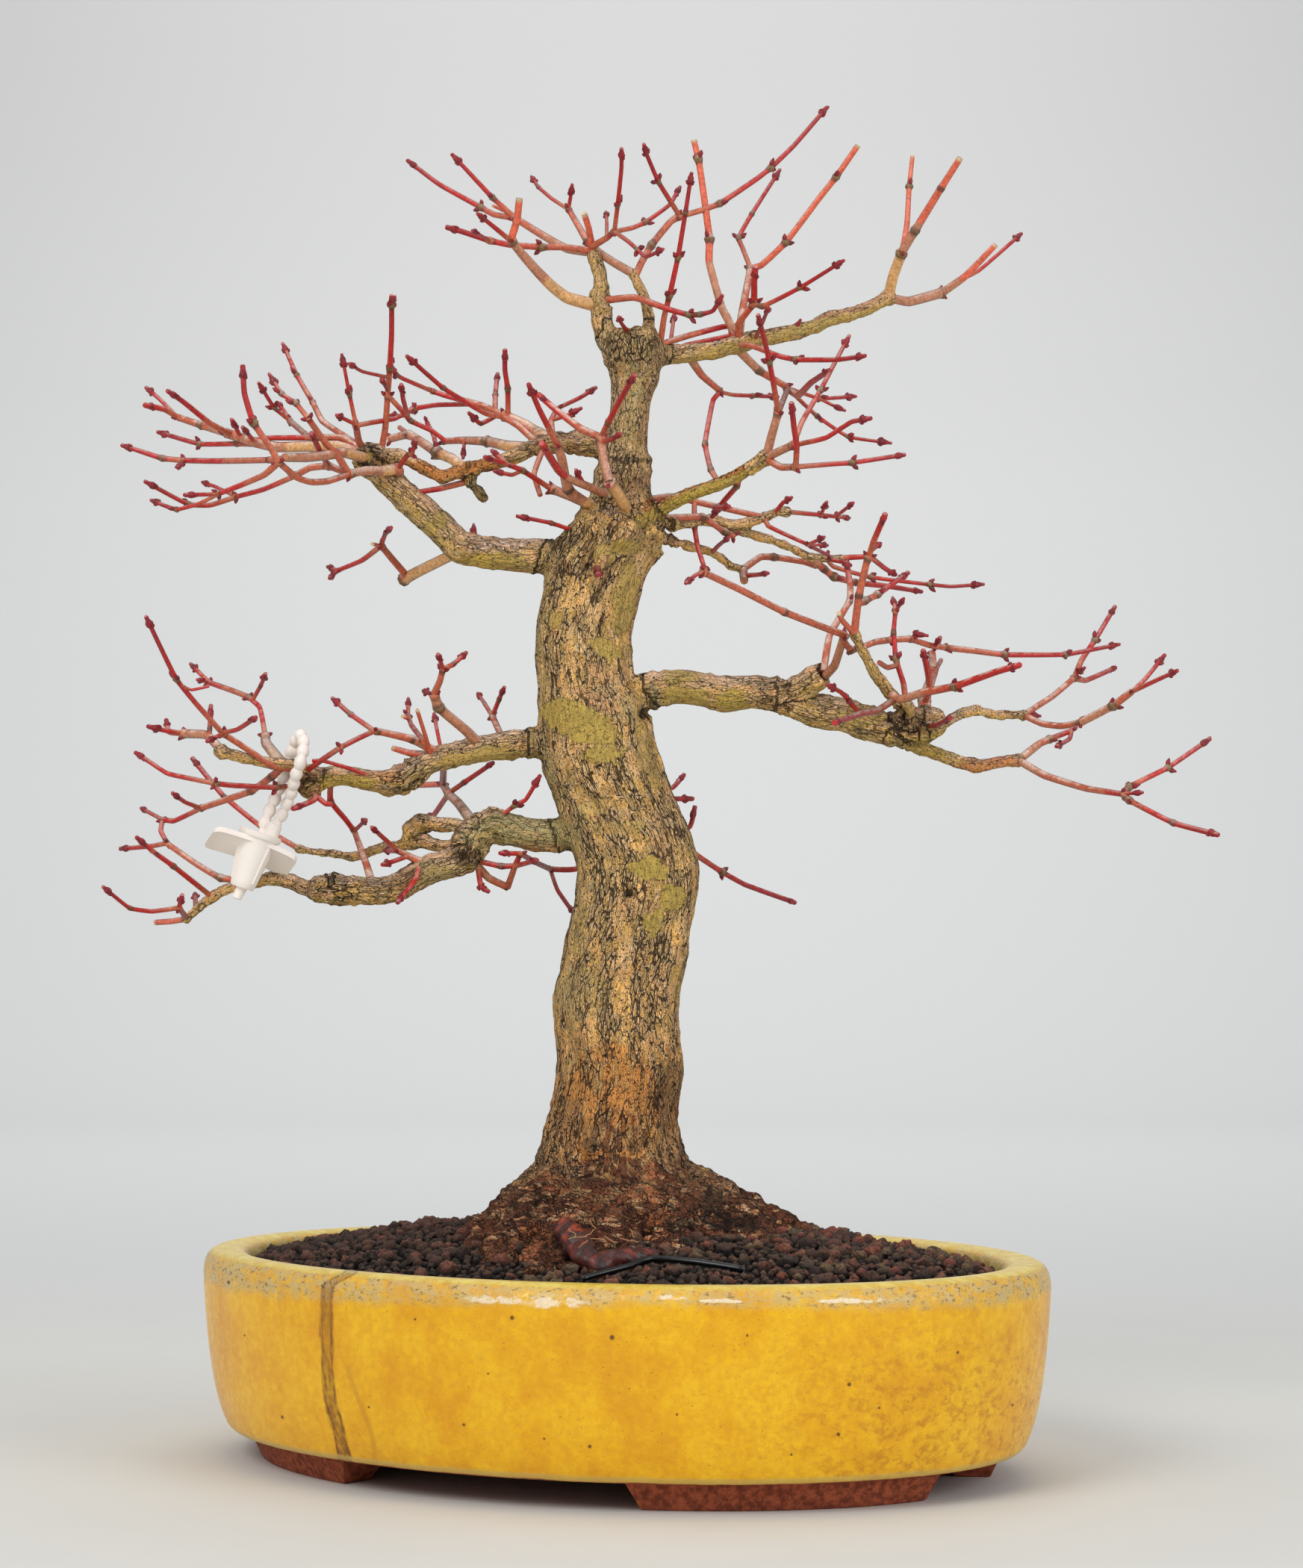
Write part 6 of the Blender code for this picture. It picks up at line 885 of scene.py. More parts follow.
class Wood:
    # the middle lines of what has grown so far, so that a new branch starts inside what carries it
    def __init__(self):
        self.samples = np.zeros((0, 4))

    def add(self, reading):
        fresh = []
        for (x0, z0, b0, r0), (x1, z1, b1, r1) in zip(reading, reading[1:]):
            steps = max(1, int(math.hypot(x1 - x0, z1 - z0) / 1.5))
            for step in range(steps + 1):
                t = step / steps
                fresh.append((x0 + (x1 - x0) * t, z0 + (z1 - z0) * t, b0 + (b1 - b0) * t, r0 + (r1 - r0) * t))
        self.samples = np.vstack([self.samples, np.array(fresh)])

    def nearest(self, x, z, back):
        apart = np.hypot(self.samples[:, 0] - x, self.samples[:, 1] - z)
        reach = np.maximum(0.0, apart - self.samples[:, 3])
        cost = reach * 6 + apart + 0.35 * np.abs(self.samples[:, 2] - back)
        return self.samples[int(np.argmin(cost))]


def readingOf(entry, wood):
    # x, height, back and radius along a branch, rooted in what it grows from
    backStart, backEnd, widthStart, widthEnd, ending = entry[:5]
    route = [point if len(point) == 3 else (*point, 1.0) for point in entry[5:]]
    if len(wood.samples):
        parent = wood.nearest(route[0][0], route[0][1], backStart)
        backStart = parent[2]
        route[0] = (parent[0] * 0.7 + route[0][0] * 0.3, parent[1] * 0.7 + route[0][1] * 0.3, 1.0)
        if ending == "sunk":
            backEnd = wood.nearest(route[-1][0], route[-1][1], backEnd)[2]
    run = [0.0]
    for here, there in zip(route, route[1:]):
        run.append(run[-1] + math.hypot(there[0] - here[0], there[1] - here[1]))
    reading = []
    for (x, z, swell), distance in zip(route, run):
        t = distance / run[-1]
        width = widthStart + (widthEnd - widthStart) * t
        reading.append((x, z, backStart + (backEnd - backStart) * t, width * 0.5, swell))
    return reading


def smoothRoute(reading, step):
    # points every `step` mm along a soft curve through the reading, with radius, swell and node marks
    places = [at(x, z, back) / mm for x, z, back, radius, swell in reading]
    spread = [(viewSettings["distance"] + point[2]) / viewSettings["distance"] for point in reading]
    radii = [point[3] * wide for point, wide in zip(reading, spread)]
    swells = [point[4] for point in reading]
    out = []
    for i in range(len(places) - 1):
        p1, p2 = places[i], places[i + 1]
        p0 = places[i - 1] if i else p1 - (p2 - p1)
        p3 = places[i + 2] if i + 2 < len(places) else p2 + (p2 - p1)
        length = (p2 - p1).length
        m1 = (p2 - p0).normalized() * length * woodSettings["swing"] * 2 * woodSettings["slack"]
        m2 = (p3 - p1).normalized() * length * woodSettings["swing"] * 2 * woodSettings["slack"]
        count = max(2, int(math.ceil(length / step)))
        for k in range(count + (1 if i == len(places) - 2 else 0)):
            t = k / count
            h1 = 2 * t ** 3 - 3 * t ** 2 + 1
            h2 = t ** 3 - 2 * t ** 2 + t
            h3 = -2 * t ** 3 + 3 * t ** 2
            h4 = t ** 3 - t ** 2
            place = p1 * h1 + m1 * h2 + p2 * h3 + m2 * h4
            radius = radii[i] + (radii[i + 1] - radii[i]) * t
            near1, near2 = t * length, (1 - t) * length
            reach = 1.1 + radius * 0.35
            swell = 1 + (swells[i] - 1) * math.exp(-(near1 / reach) ** 2)
            swell += (swells[i + 1] - 1) * math.exp(-(near2 / reach) ** 2)
            out.append((place, radius, swell))
    return out


def frames(points):
    # direction and side at each point, the side carried along without twist
    out = []
    side = None
    for i, point in enumerate(points):
        along = (points[min(i + 1, len(points) - 1)] - points[max(i - 1, 0)]).normalized()
        if side is None:
            side = along.cross(Vector((0.3, 0.9, 0.2))).normalized()
        side = (side - along * side.dot(along)).normalized()
        out.append((along, side))
    return out


def tube(points, radii, sides, verts, faces, squash=None):
    # a closed tube added to the lists; points and radii in mm
    base = len(verts)
    for i, ((along, side), point, radius) in enumerate(zip(frames(points), points, radii)):
        other = along.cross(side)
        for k in range(sides):
            turn = math.tau * k / sides
            offset = side * math.cos(turn) * radius + other * math.sin(turn) * radius
            if squash:
                offset.z *= squash
            verts.append((point + offset) * mm)
    faces.extend(ringFaces(base, len(points), sides))


def trunkRings(verts, faces):
    # rings round but fluted, wider and lobed towards the roots
    heights = np.arange(trunkEdges[0][0], trunkEdges[-1][0] + 0.1, woodSettings["trunkStep"])
    table = np.array(trunkEdges)
    lefts = np.interp(heights, table[:, 0], table[:, 1])
    rights = np.interp(heights, table[:, 0], table[:, 2])
    kernel = np.array([1, 2, 1]) / 4
    lefts[1:-1] = np.convolve(lefts, kernel, "valid")
    rights[1:-1] = np.convolve(rights, kernel, "valid")
    sides = woodSettings["trunkSides"]
    base = len(verts)
    for height, left, right in zip(heights, lefts, rights):
        half = (right - left) / 2
        centre = at((left + right) / 2, height, 0) / mm
        flare = max(0.0, (woodSettings["flareTop"] - height) / 34)
        depth = half * (0.85 if height >= 335 else 0.93 - 0.12 * min(flare, 1))
        for k in range(sides):
            turn = math.tau * k / sides
            calm = 1 - abs(math.cos(turn)) ** 6
            flute = 0.035 * math.sin(3 * turn + height * 0.045 + 0.6)
            flute += 0.03 * math.sin(5 * turn - height * 0.05)
            flute += flare * 0.07 * math.sin(7 * turn + 1.3)
            swell = 1 + flute * calm
            offset = Vector((math.cos(turn) * half * swell, math.sin(turn) * depth * swell, 0))
            verts.append((centre + offset) * mm)
    faces.extend(ringFaces(base, len(heights), sides))
    return [((left + right) / 2, height, 0, (right - left) * 0.4)
            for height, left, right in zip(heights, lefts, rights)]


# apron of roots in front of the trunk: back at the end, width at both ends, and route
apronRoots = (
    (-78, 30, 16, (-6, 102), (-12, 90), (-18, 78), (-24, 69), (-27, 62)),
    (-84, 26, 14, (2, 101), (0, 88), (-4, 77), (-7, 69), (-10, 61)),
    (-66, 26, 12, (-14, 102), (-25, 91), (-34, 80), (-40, 72), (-44, 64)),
    (-70, 24, 12, (12, 100), (15, 88), (17, 78), (20, 70), (22, 62)),
    (-40, 24, 12, (-20, 100), (-32, 90), (-41, 82), (-47, 76), (-52, 68)),
    (-44, 24, 12, (24, 98), (34, 90), (42, 83), (50, 76), (56, 66)),
)


# the remeshed bark: trunk, roots and limbs in one skin, carved and painted by place
barkSettings = {
    "voxel": 0.00096, "softer": 0.5, "softerSteps": 3,
    "limbStep": 0.6,                       # ring distance of limbs against that of roots
    "apronSquash": 0.62,
    "ridgeSize": 3.4, "plateSize": 5.5, "roughSize": 4.2, "lumpSize": 6.5, "knotSize": 2.9,     # mm
    "stretch": 0.24,                       # ridges and plates are this much finer across than along
    "trunkShares": (0.42, 0.5, 0.3), "flareShares": (2.2, 0.7), "limbShares": (0.5, 0.2),
    "rootsBelow": 112.0,                   # all bark below this height goes with the trunk
}

# lumps, hollows and rings: x, height, half width, half height, how far out (mm), on the front or all round
barkForms = (
    (4, 197, 9, 6.5, 1.6, "front"), (4, 198, 4.2, 2.4, -3.0, "front"), (-2, 199, 3, 2, -1.4, "front"),
    (8, 181, 5, 3.6, 1.2, "front"), (8, 181, 2, 1.5, -1.2, "front"), (2.5, 326.3, 5.6, 5.2, 6.4, "front"),
    (2.5, 327.6, 3.4, 3.2, -1.0, "front"), (9.8, 333, 3, 3, 3.0, "front"),
    (-10.9, 331.4, 2.6, 2.4, 2.6, "front"), (-9.8, 327.6, 2.2, 2.2, 2.4, "front"),
    (-6, 330, 2.2, 2.4, 2.0, "front"), (-7.4, 335.6, 2.0, 2.2, 2.0, "front"), (-2, 318, 9, 4, 1.6, "front"),
    (-11, 316, 3, 8, -2.2, "front"), (-7, 313, 3, 9, 1.8, "front"), (-16, 316, 5, 6, 1.8, "front"),
    (9.5, 262, 3.2, 3.6, -3.6, "front"), (9.5, 263, 6.5, 7, 1.6, "front"), (-23, 227, 2.4, 2.4, 1.6, "front"),
    (-15, 296, 1.1, 6, -1.6, "front"), (-12.4, 296, 1.4, 6, 0.9, "front"), (-17.8, 296, 1.4, 6, 0.9, "front"),
    (-7, 274, 9, 2, 0.8, "front"), (-4, 226, 12, 1.4, 0.9, "round"), (0, 222.6, 14, 1.1, 0.9, "round"),
    (3, 232, 12, 1.3, 0.7, "round"), (16, 318, 4, 4, 2.4, "front"), (19.6, 328, 3, 3, 2.2, "round"),
    (13, 314, 1.6, 2.6, 1.6, "front"), (-2, 150, 10, 8, 0.9, "front"), (16, 130, 5, 12, -0.8, "front"),
    (-12, 164, 9, 8, 1.0, "front"), (12, 352, 3, 2.2, 1.6, "round"), (-12, 348, 2.4, 3, 1.4, "front"),
    (3, 348, 12, 1.3, 1.5, "round"), (2, 344.6, 12, 1.0, -0.7, "round"), (6, 366, 5, 1.2, 0.5, "front"),
    (0, 338, 6, 2, 1.0, "front"), (2, 391, 8, 5, 1.2, "front"), (-3, 406, 6, 1.2, 1.0, "round"),
    (12, 381, 3, 4, 1.4, "front"), (11, 398, 4, 2, 1.0, "front"), (12.6, 271, 1.4, 9, 1.3, "round"),
    (16.6, 271, 0.8, 9, 0.8, "round"), (33, 270, 1.2, 9, 1.0, "round"), (26, 274, 3.4, 2.6, 1.2, "front"),
    (26, 274, 1.4, 1.0, -0.8, "front"), (40, 265.6, 1.9, 1.7, 1.0, "front"),
    (41.5, 271.6, 1.6, 1.4, 0.9, "front"), (57, 268, 7, 6, 1.0, "round"),
    (73.5, 277, 3.0, 3.6, -1.8, "front"), (-88, 353, 6.0, 4.6, 1.8, "front"),
    (-88, 353.4, 2.3, 1.9, -2.4, "front"), (-68.8, 336, 1.6, 1.6, 1.3, "front"),
    (-66.6, 333.2, 1.6, 1.6, 1.3, "front"), (-30, 317, 1.0, 7, 0.7, "round"),
    (-44, 318, 1.0, 7, 0.7, "round"), (-109, 236.5, 4.8, 4.8, 1.6, "round"),
    (-109, 236.8, 1.7, 1.5, -1.0, "front"), (-41, 252, 3, 3, 1.1, "front"), (-57, 248, 1.0, 6, 0.8, "round"),
    (-31, 252, 1.0, 6, 0.8, "round"), (-75, 240, 6, 6, 0.9, "round"), (-53, 216, 5, 6, 1.2, "round"),
    (-70, 222, 5, 5, 1.0, "round"),
)
# places where the bark is knotted and broken: x, height, reach, how rough
gnarls = (
    (57, 268, 10, 1.0), (72, 266, 10, 0.5), (88, 260, 10, 0.8), (102, 258, 12, 1.3), (-53, 213, 9, 1.3),
    (-45, 224, 8, 0.8), (-70, 222, 8, 0.9), (-74, 239, 9, 1.2), (-99, 200, 12, 1.1), (-84, 199, 6, 0.6),
    (-20, 356, 14, 1.0), (-52, 346, 7, 0.9), (0, 331, 17, 1.1), (16, 324, 9, 1.3), (-14, 322, 11, 0.9),
    (-88, 352, 8, 0.8), (5, 390, 13, 1.2), (-6, 409, 6, 0.9), (12, 266, 8, 1.1), (-35, 250, 7, 0.9),
    (-44, 220, 9, 0.7), (4, 349, 9, 0.8), (-106, 238, 8, 1.1), (50, 344, 6, 0.8), (0, 84, 60, 0.5),
)


def makeBark(wood):
    # closed tubes for the trunk, roots and limbs, remeshed into one skin
    verts, faces = [], []
    sides = woodSettings["tubeSides"]
    wood.add(trunkRings(verts, faces))
    for entry in roots:
        reading = readingOf(entry, wood)
        wood.add([point[:4] for point in reading])
        route = smoothRoute(reading, woodSettings["ringStep"])
        tube([spot[0] for spot in route], [spot[1] * spot[2] for spot in route], sides, verts, faces)
    for backEnd, wide, narrow, *points in apronRoots:
        reading = readingOf((-6, backEnd, wide, narrow, "apron", *points), wood)
        route = smoothRoute(reading, woodSettings["ringStep"])
        squash = barkSettings["apronSquash"]
        tube([spot[0] for spot in route], [spot[1] for spot in route], sides, verts, faces, squash)
    limbRoutes = []
    for entry in limbs:
        reading = readingOf(entry, wood)
        wood.add([point[:4] for point in reading])
        route = smoothRoute(reading, woodSettings["ringStep"] * barkSettings["limbStep"])
        points = [spot[0] for spot in route]
        radii = [spot[1] * spot[2] for spot in route]
        along = (points[-1] - points[-2]).normalized()
        if entry[4] in ("knob", "node", "bud", "sunk"):
            for ahead, narrower in ((0.55, 0.8), (0.35, 0.45)):
                points.append(points[-1] + along * radii[-1] * ahead)
                radii.append(radii[-1] * narrower)
        tube(points, radii, sides // 2, verts, faces)
        limbRoutes.append(route)
    bark = meshPiece("bark", verts, faces)
    faceOutwards(bark)
    makeActive(bark)
    remesh = bark.modifiers.new("remesh", "REMESH")
    remesh.mode = "VOXEL"
    remesh.voxel_size = barkSettings["voxel"]
    remesh.adaptivity = 0
    bpy.ops.object.modifier_apply(modifier="remesh")
    soften = bark.modifiers.new("soften", "SMOOTH")
    soften.factor = barkSettings["softer"]
    soften.iterations = barkSettings["softerSteps"]
    bpy.ops.object.modifier_apply(modifier="soften")
    bark.data.shade_smooth()
    print("bark", len(bark.data.polygons), "faces")
    return bark, limbRoutes


def fade(value, low, high):
    # 0 below low, 1 above high, soft between; for numbers and arrays
    t = np.clip((value - low) / (high - low), 0.0, 1.0)
    return t * t * (3 - 2 * t)


def surfaceOf(mesh):
    # places in mm, normals, and the front readings of all vertices, as arrays
    count = len(mesh.vertices)
    places = np.zeros(count * 3)
    normals = np.zeros(count * 3)
    mesh.vertices.foreach_get("co", places)
    mesh.vertices.foreach_get("normal", normals)
    places = places.reshape(-1, 3) / mm
    spread = (viewSettings["distance"] + places[:, 1]) / viewSettings["distance"]
    x = (places[:, 0] + viewSettings["middleX"] - viewSettings["eyeX"]) / spread + viewSettings["eyeX"]
    z = (places[:, 2] - viewSettings["eyeZ"]) / spread + viewSettings["eyeZ"]
    return places, normals.reshape(-1, 3), x, z


def noiseOf(points, size, octaves=3, shift=0.0):
    # layered noise at each point, its biggest features about `size` mm
    scaled = (points / size + shift).tolist()
    return np.array([noise.fractal(point, 0.9, 2.0, octaves) for point in scaled])


def spotOf(x, z, spot, tilt=0.0):
    # how far from a spot's centre, 1 at its edge; a spot is x, height, half width, half height
    dx, dz = x - spot[0], z - spot[1]
    turn = math.radians(tilt)
    return np.hypot((dx * math.cos(turn) + dz * math.sin(turn)) / spot[2],
                    (-dx * math.sin(turn) + dz * math.cos(turn)) / spot[3])


def trunkMiddle(z):
    # the trunk's middle and half width at these heights
    table = np.array(trunkEdges)
    left, right = np.interp(z, table[:, 0], table[:, 1]), np.interp(z, table[:, 0], table[:, 2])
    return (left + right) / 2, (right - left) / 2


def grainOf(places, x, z, limbRoutes):
    # each vertex's place along and round the wood it belongs to, and whether that is the trunk
    middle, half = trunkMiddle(z)
    away = np.hypot((x - middle) / half, places[:, 1] / (half * 0.93))
    onTrunk = ((away < 1.25) & (z < trunkEdges[-1][0] + 4)) | (z < barkSettings["rootsBelow"])
    grain = np.stack([x - middle, places[:, 1], z], axis=1)
    samples = []
    for route in limbRoutes:
        run = 0.0
        points = [spot[0] for spot in route]
        for i, (along, side) in enumerate(frames(points)):
            run += (points[i] - points[i - 1]).length if i else 0.0
            samples.append((points[i], along, side, run))
    finder = KDTree(len(samples))
    for i, sample in enumerate(samples):
        finder.insert(sample[0], i)
    finder.balance()
    for i in np.nonzero(~onTrunk)[0]:
        place = Vector(places[i])
        point, along, side, run = samples[finder.find(place)[1]]
        offset = place - point
        grain[i] = (offset.dot(side), offset.dot(along.cross(side)), run + offset.dot(along))
    return grain, onTrunk


def carveBark(bark, grain, onTrunk):
    # ridges, fissures, knots and the named forms, moved along the normals; the relief is kept for painting
    sizes = barkSettings
    places, normals, x, z = surfaceOf(bark.data)
    streaks = grain * np.array([1.0, 1.0, sizes["stretch"]])
    ridge = 1 - 2.2 * np.abs(noiseOf(streaks, sizes["ridgeSize"], 1))
    plates = noiseOf(streaks, sizes["plateSize"], 3, 7.0)
    rough = noiseOf(places, sizes["roughSize"], 3)
    lumps = noiseOf(places, sizes["lumpSize"], 3, 2.0)
    knots = noiseOf(places, sizes["knotSize"], 2, 11.0)
    low = fade(woodSettings["flareTop"] - z, 0, 14)
    trunkRelief = sum(share * relief for share, relief in zip(sizes["trunkShares"], (ridge, plates, rough)))
    flareRelief = lumps * sizes["flareShares"][0] + knots * sizes["flareShares"][1]
    trunkRelief = trunkRelief * (1 - low * 0.4) + low * flareRelief
    trunkRelief *= np.where(z > woodSettings["upperTrunk"], 0.5, 1.0)
    relief = np.where(onTrunk, trunkRelief, sizes["limbShares"][0] * rough + sizes["limbShares"][1] * ridge)
    for gx, gz, reach, strength in gnarls:
        mask = fade(1.0 - spotOf(x, z, (gx, gz, reach, reach)), 0.0, 0.5)
        relief += mask * strength * (1.3 * knots + 0.5 * rough)
    for fx, fz, halfWide, halfHigh, out, side in barkForms:
        away = spotOf(x, z, (fx, fz, halfWide, halfHigh))
        seen = 1.0 if side == "round" else fade(0.35 - normals[:, 1], 0.0, 0.5)
        relief += out * np.exp(-1.4 * away ** 2) * seen
    moved = (places + normals * relief[:, None]) * mm
    bark.data.vertices.foreach_set("co", moved.reshape(-1))
    bark.data.update()
    return relief


def splitBark(bark, onTrunk):
    # the skin is parted into trunk and limbs, each closed again inside the wood
    makeActive(bark)
    bpy.ops.object.duplicate()
    limbBark = bpy.context.object
    for piece, name, keepTrunk in ((bark, "trunkBark", True), (limbBark, "limbBark", False)):
        shape = bmesh.new()
        shape.from_mesh(piece.data)
        flags = onTrunk.tolist()
        shape.faces.ensure_lookup_table()
        gone = []
        for face in shape.faces:
            share = sum(flags[vert.index] for vert in face.verts)
            if (share * 2 > len(face.verts)) != keepTrunk:
                gone.append(face)
        bmesh.ops.delete(shape, geom=gone, context="FACES")
        rims = [edge for edge in shape.edges if edge.is_boundary]
        for face in bmesh.ops.holes_fill(shape, edges=rims, sides=0)["faces"]:
            face.smooth = False
            for edge in face.edges:
                edge.smooth = False
        shape.to_mesh(piece.data)
        shape.free()
        piece.name = name
        piece.data.name = name
        print(name, len(piece.data.polygons), "faces")
    return bark, limbBark


def makeShoots(wood):
    # one curve with a spline for each shoot, turned into a mesh; nodes swell the radius
    curve = roundCurve("shoots", 1.0, 2)
    routes = []
    for entry in shoots:
        reading = readingOf(entry, wood)
        wood.add([point[:4] for point in reading])
        route = smoothRoute(reading, woodSettings["shootStep"])
        routes.append((entry, reading, route))
        fuller = woodSettings["fuller"] * mm
        radii = [radius * (1 + (swell - 1) * 0.9) * fuller for place, radius, swell in route]
        if entry[4] in ("bud", "node"):
            radii[-1] *= 0.8
        addSpline(curve, [place * mm for place, radius, swell in route], radii)
    piece = curvePiece(curve)
    print("shoots", len(piece.data.polygons), "faces")
    return piece, routes


def budShape():
    # a winter bud: a pointed drop with two pairs of scales, modelled once, its foot at the origin
    bpy.ops.mesh.primitive_uv_sphere_add(segments=8, ring_count=7, radius=0.5)
    bud = bpy.context.object
    bud.name = "budShape"
    for vert in bud.data.vertices:
        height = vert.co.z + 0.5
        swell = math.sin(math.pi * min(1.0, height ** 0.72)) ** 0.75 if 0 < height < 1 else 0.0
        scale = 1 + 0.12 * math.cos(2 * math.atan2(vert.co.y, vert.co.x) + (math.pi if height > 0.5 else 0))
        flat = Vector((vert.co.x, vert.co.y, 0))
        if flat.length > 1e-6:
            flat = flat.normalized() * 0.5 * max(0.16 if height < 0.3 else 0.0, swell) * scale
        vert.co = (flat.x, flat.y, height)
    return bud


def placeBuds(routes):
    # a bud at each shoot's tip, with a small pair below it, and an opposite pair at each strong node
    shape = budShape()
    source = [vert.co.copy() for vert in shape.data.vertices]
    sourceFaces = [tuple(face.vertices) for face in shape.data.polygons]
    bpy.data.objects.remove(shape, do_unlink=True)
    verts, faces, ripe = [], [], []

    def put(place, along, length, width, tone):
        turn = along.to_track_quat("Z", "Y")
        twist = dice.uniform(0, math.tau)
        cosine, sine = math.cos(twist), math.sin(twist)
        base = len(verts)
        for co in source:
            local = Vector(((co.x * cosine - co.y * sine) * width, (co.x * sine + co.y * cosine) * width,
                            co.z * length))
            verts.append((place + turn @ local) * mm)
            ripe.append(tone + 0.5 * co.z)
        faces.extend(tuple(base + k for k in face) for face in sourceFaces)

    budLength, budWidth = woodSettings["bud"]["length"], woodSettings["bud"]["width"]
    for entry, reading, route in routes:
        width = budWidth * (0.85 + 0.09 * entry[3])
        tip, along = route[-1][0], (route[-1][0] - route[-2][0]).normalized()
        side = Matrix.Rotation(dice.uniform(0, math.pi), 3, along) @ along.orthogonal().normalized()
        if entry[4] == "bud":
            length = budLength * dice.uniform(0.85, 1.12)
            put(tip - along * (length + 0.2), along, length, width, dice.uniform(0, 0.4))
            for way in (-1, 1):
                lean = (along * 0.9 + side * way * 0.6).normalized()
                foot = tip - along * length * 1.05 + side * way * entry[3] * 0.25
                put(foot, lean, length * 0.46, width * 0.55, dice.uniform(0, 0.4))
        elif entry[4] == "node":
            for way in (-1, 1):
                lean = (along * 0.75 + side * way * 0.85).normalized()
                put(tip + side * way * entry[3] * 0.25 - along * 0.6, lean, 2.6, 1.6, dice.uniform(0, 0.4))
        for x, z, back, radius, swell in reading[1:-1]:
            if swell < 1.45 or radius > 1.9:
                continue
            here = at(x, z, back) / mm
            step = min(range(len(route)), key=lambda i: (route[i][0] - here).length)
            along = (route[min(step + 1, len(route) - 1)][0] - route[max(step - 1, 0)][0]).normalized()
            side = Matrix.Rotation(dice.uniform(0, math.pi), 3, along) @ along.orthogonal().normalized()
            for way in (-1, 1):
                lean = (along * 0.8 + side * way * 0.7).normalized()
                put(here + side * way * radius * 0.7, lean, dice.uniform(2.7, 3.6), dice.uniform(1.6, 2.0),
                    dice.uniform(0, 0.5))
    buds = meshPiece("buds", verts, faces)
    storeValues(buds.data, "ripeness", "FLOAT", ripe)
    buds.data.shade_smooth()
    print("buds", len(buds.data.polygons), "faces")
    return buds


# pot, in mm: turned clockwise seen from above, so that its right end comes nearer
potSettings = {
    "turn": -28.0, "halfLength": 155.5, "halfWidth": 117.3, "segments": 192,
    # inset from the widest line and height, from the foot ring's inner edge round to the floor inside
    "outline": (
        (36, 9.6), (16.5, 9.6), (13.2, 9.6), (11.0, 10.0), (9.2, 11.4), (8.0, 13.4), (5.9, 19), (3.9, 27),
        (2.3, 37), (1.1, 48), (0.35, 58), (0.0, 64), (0.25, 67.6), (1.1, 70.2), (2.8, 72.0), (5.4, 72.9),
        (8.8, 73.0), (12.2, 72.6), (15.0, 71.4), (16.7, 69.4), (17.3, 66.5), (17.3, 60), (17.6, 36),
        (20.5, 22), (27, 17),
    ),
    "footInner": 33.0, "footLine": 26.0, "footOuter": 21.0, "footHeight": 9.6,
    "sideGap": 46.0, "endGap": 29.0,      # degrees between the feet
    "footSplay": 0.93,                    # a foot is this much shorter on the table than at the wall
    "drainSpan": 62.0, "drainRadius": 10.0,
}
clearance = 0.3


def potPlace(turn, inset, height):
    # a point of the turned oval, in metres
    x = (potSettings["halfLength"] - inset) * math.cos(turn)
    y = (potSettings["halfWidth"] - inset) * math.sin(turn)
    cosine, sine = math.cos(math.radians(potSettings["turn"])), math.sin(math.radians(potSettings["turn"]))
    return Vector((x * cosine - y * sine - viewSettings["middleX"], x * sine + y * cosine, height)) * mm


def makePot():
    sizes = potSettings
    outline = sizes["outline"]
    bpy.ops.mesh.primitive_circle_add(vertices=sizes["segments"], radius=1.0, location=(0, 0, 0))
    pot = bpy.context.object
    pot.name = "glazedPot"
    bpy.ops.object.mode_set(mode="EDIT")
    bpy.ops.mesh.select_all(action="SELECT")
    start = outline[0][0]
    bpy.ops.transform.resize(value=((sizes["halfLength"] - start) * mm, (sizes["halfWidth"] - start) * mm, 1))
    bpy.ops.transform.translate(value=(0, 0, outline[0][1] * mm))
    bpy.ops.mesh.edge_face_add()
    bpy.ops.mesh.select_all(action="SELECT")
    stations = finerOutline(outline)
    bpy.ops.mesh.select_all(action="DESELECT")
    bpy.ops.mesh.select_mode(type="EDGE")
    bpy.ops.object.mode_set(mode="OBJECT")
    for edge in pot.data.edges:
        edge.select = True
    bpy.ops.object.mode_set(mode="EDIT")
    for (inset, height), (lastInset, lastHeight) in zip(stations[1:], stations):
        longer = (sizes["halfLength"] - inset) / (sizes["halfLength"] - lastInset)
        wider = (sizes["halfWidth"] - inset) / (sizes["halfWidth"] - lastInset)
        bpy.ops.mesh.extrude_edges_move()
        bpy.ops.transform.resize(value=(longer, wider, 1))
        bpy.ops.transform.translate(value=(0, 0, (height - lastHeight) * mm))
    bpy.ops.mesh.edge_face_add()
    bpy.ops.object.mode_set(mode="OBJECT")
    addFeet(pot)
    pot.rotation_euler.z = math.radians(sizes["turn"])
    pot.location.x = -viewSettings["middleX"] * mm
    makeActive(pot)
    bpy.ops.object.transform_apply(location=True, rotation=True, scale=True)
    faceOutwards(pot)
    for side in (-1, 1):
        turn = math.radians(sizes["turn"])
        spot = Vector((side * sizes["drainSpan"] * math.cos(turn) - viewSettings["middleX"],
                       side * sizes["drainSpan"] * math.sin(turn), 16)) * mm
        bpy.ops.mesh.primitive_cylinder_add(vertices=32, radius=sizes["drainRadius"] * mm, depth=30 * mm,
                                            location=spot)
        drill = bpy.context.object
        makeActive(pot)
        hole = pot.modifiers.new("drain", "BOOLEAN")
        hole.operation = "DIFFERENCE"
        hole.object = drill
        bpy.ops.object.modifier_apply(modifier="drain")
        bpy.data.objects.remove(drill, do_unlink=True)
    makeActive(pot)
    bpy.ops.object.shade_smooth_by_angle(angle=math.radians(40))
    print("pot", len(pot.data.polygons), "faces")
    return pot


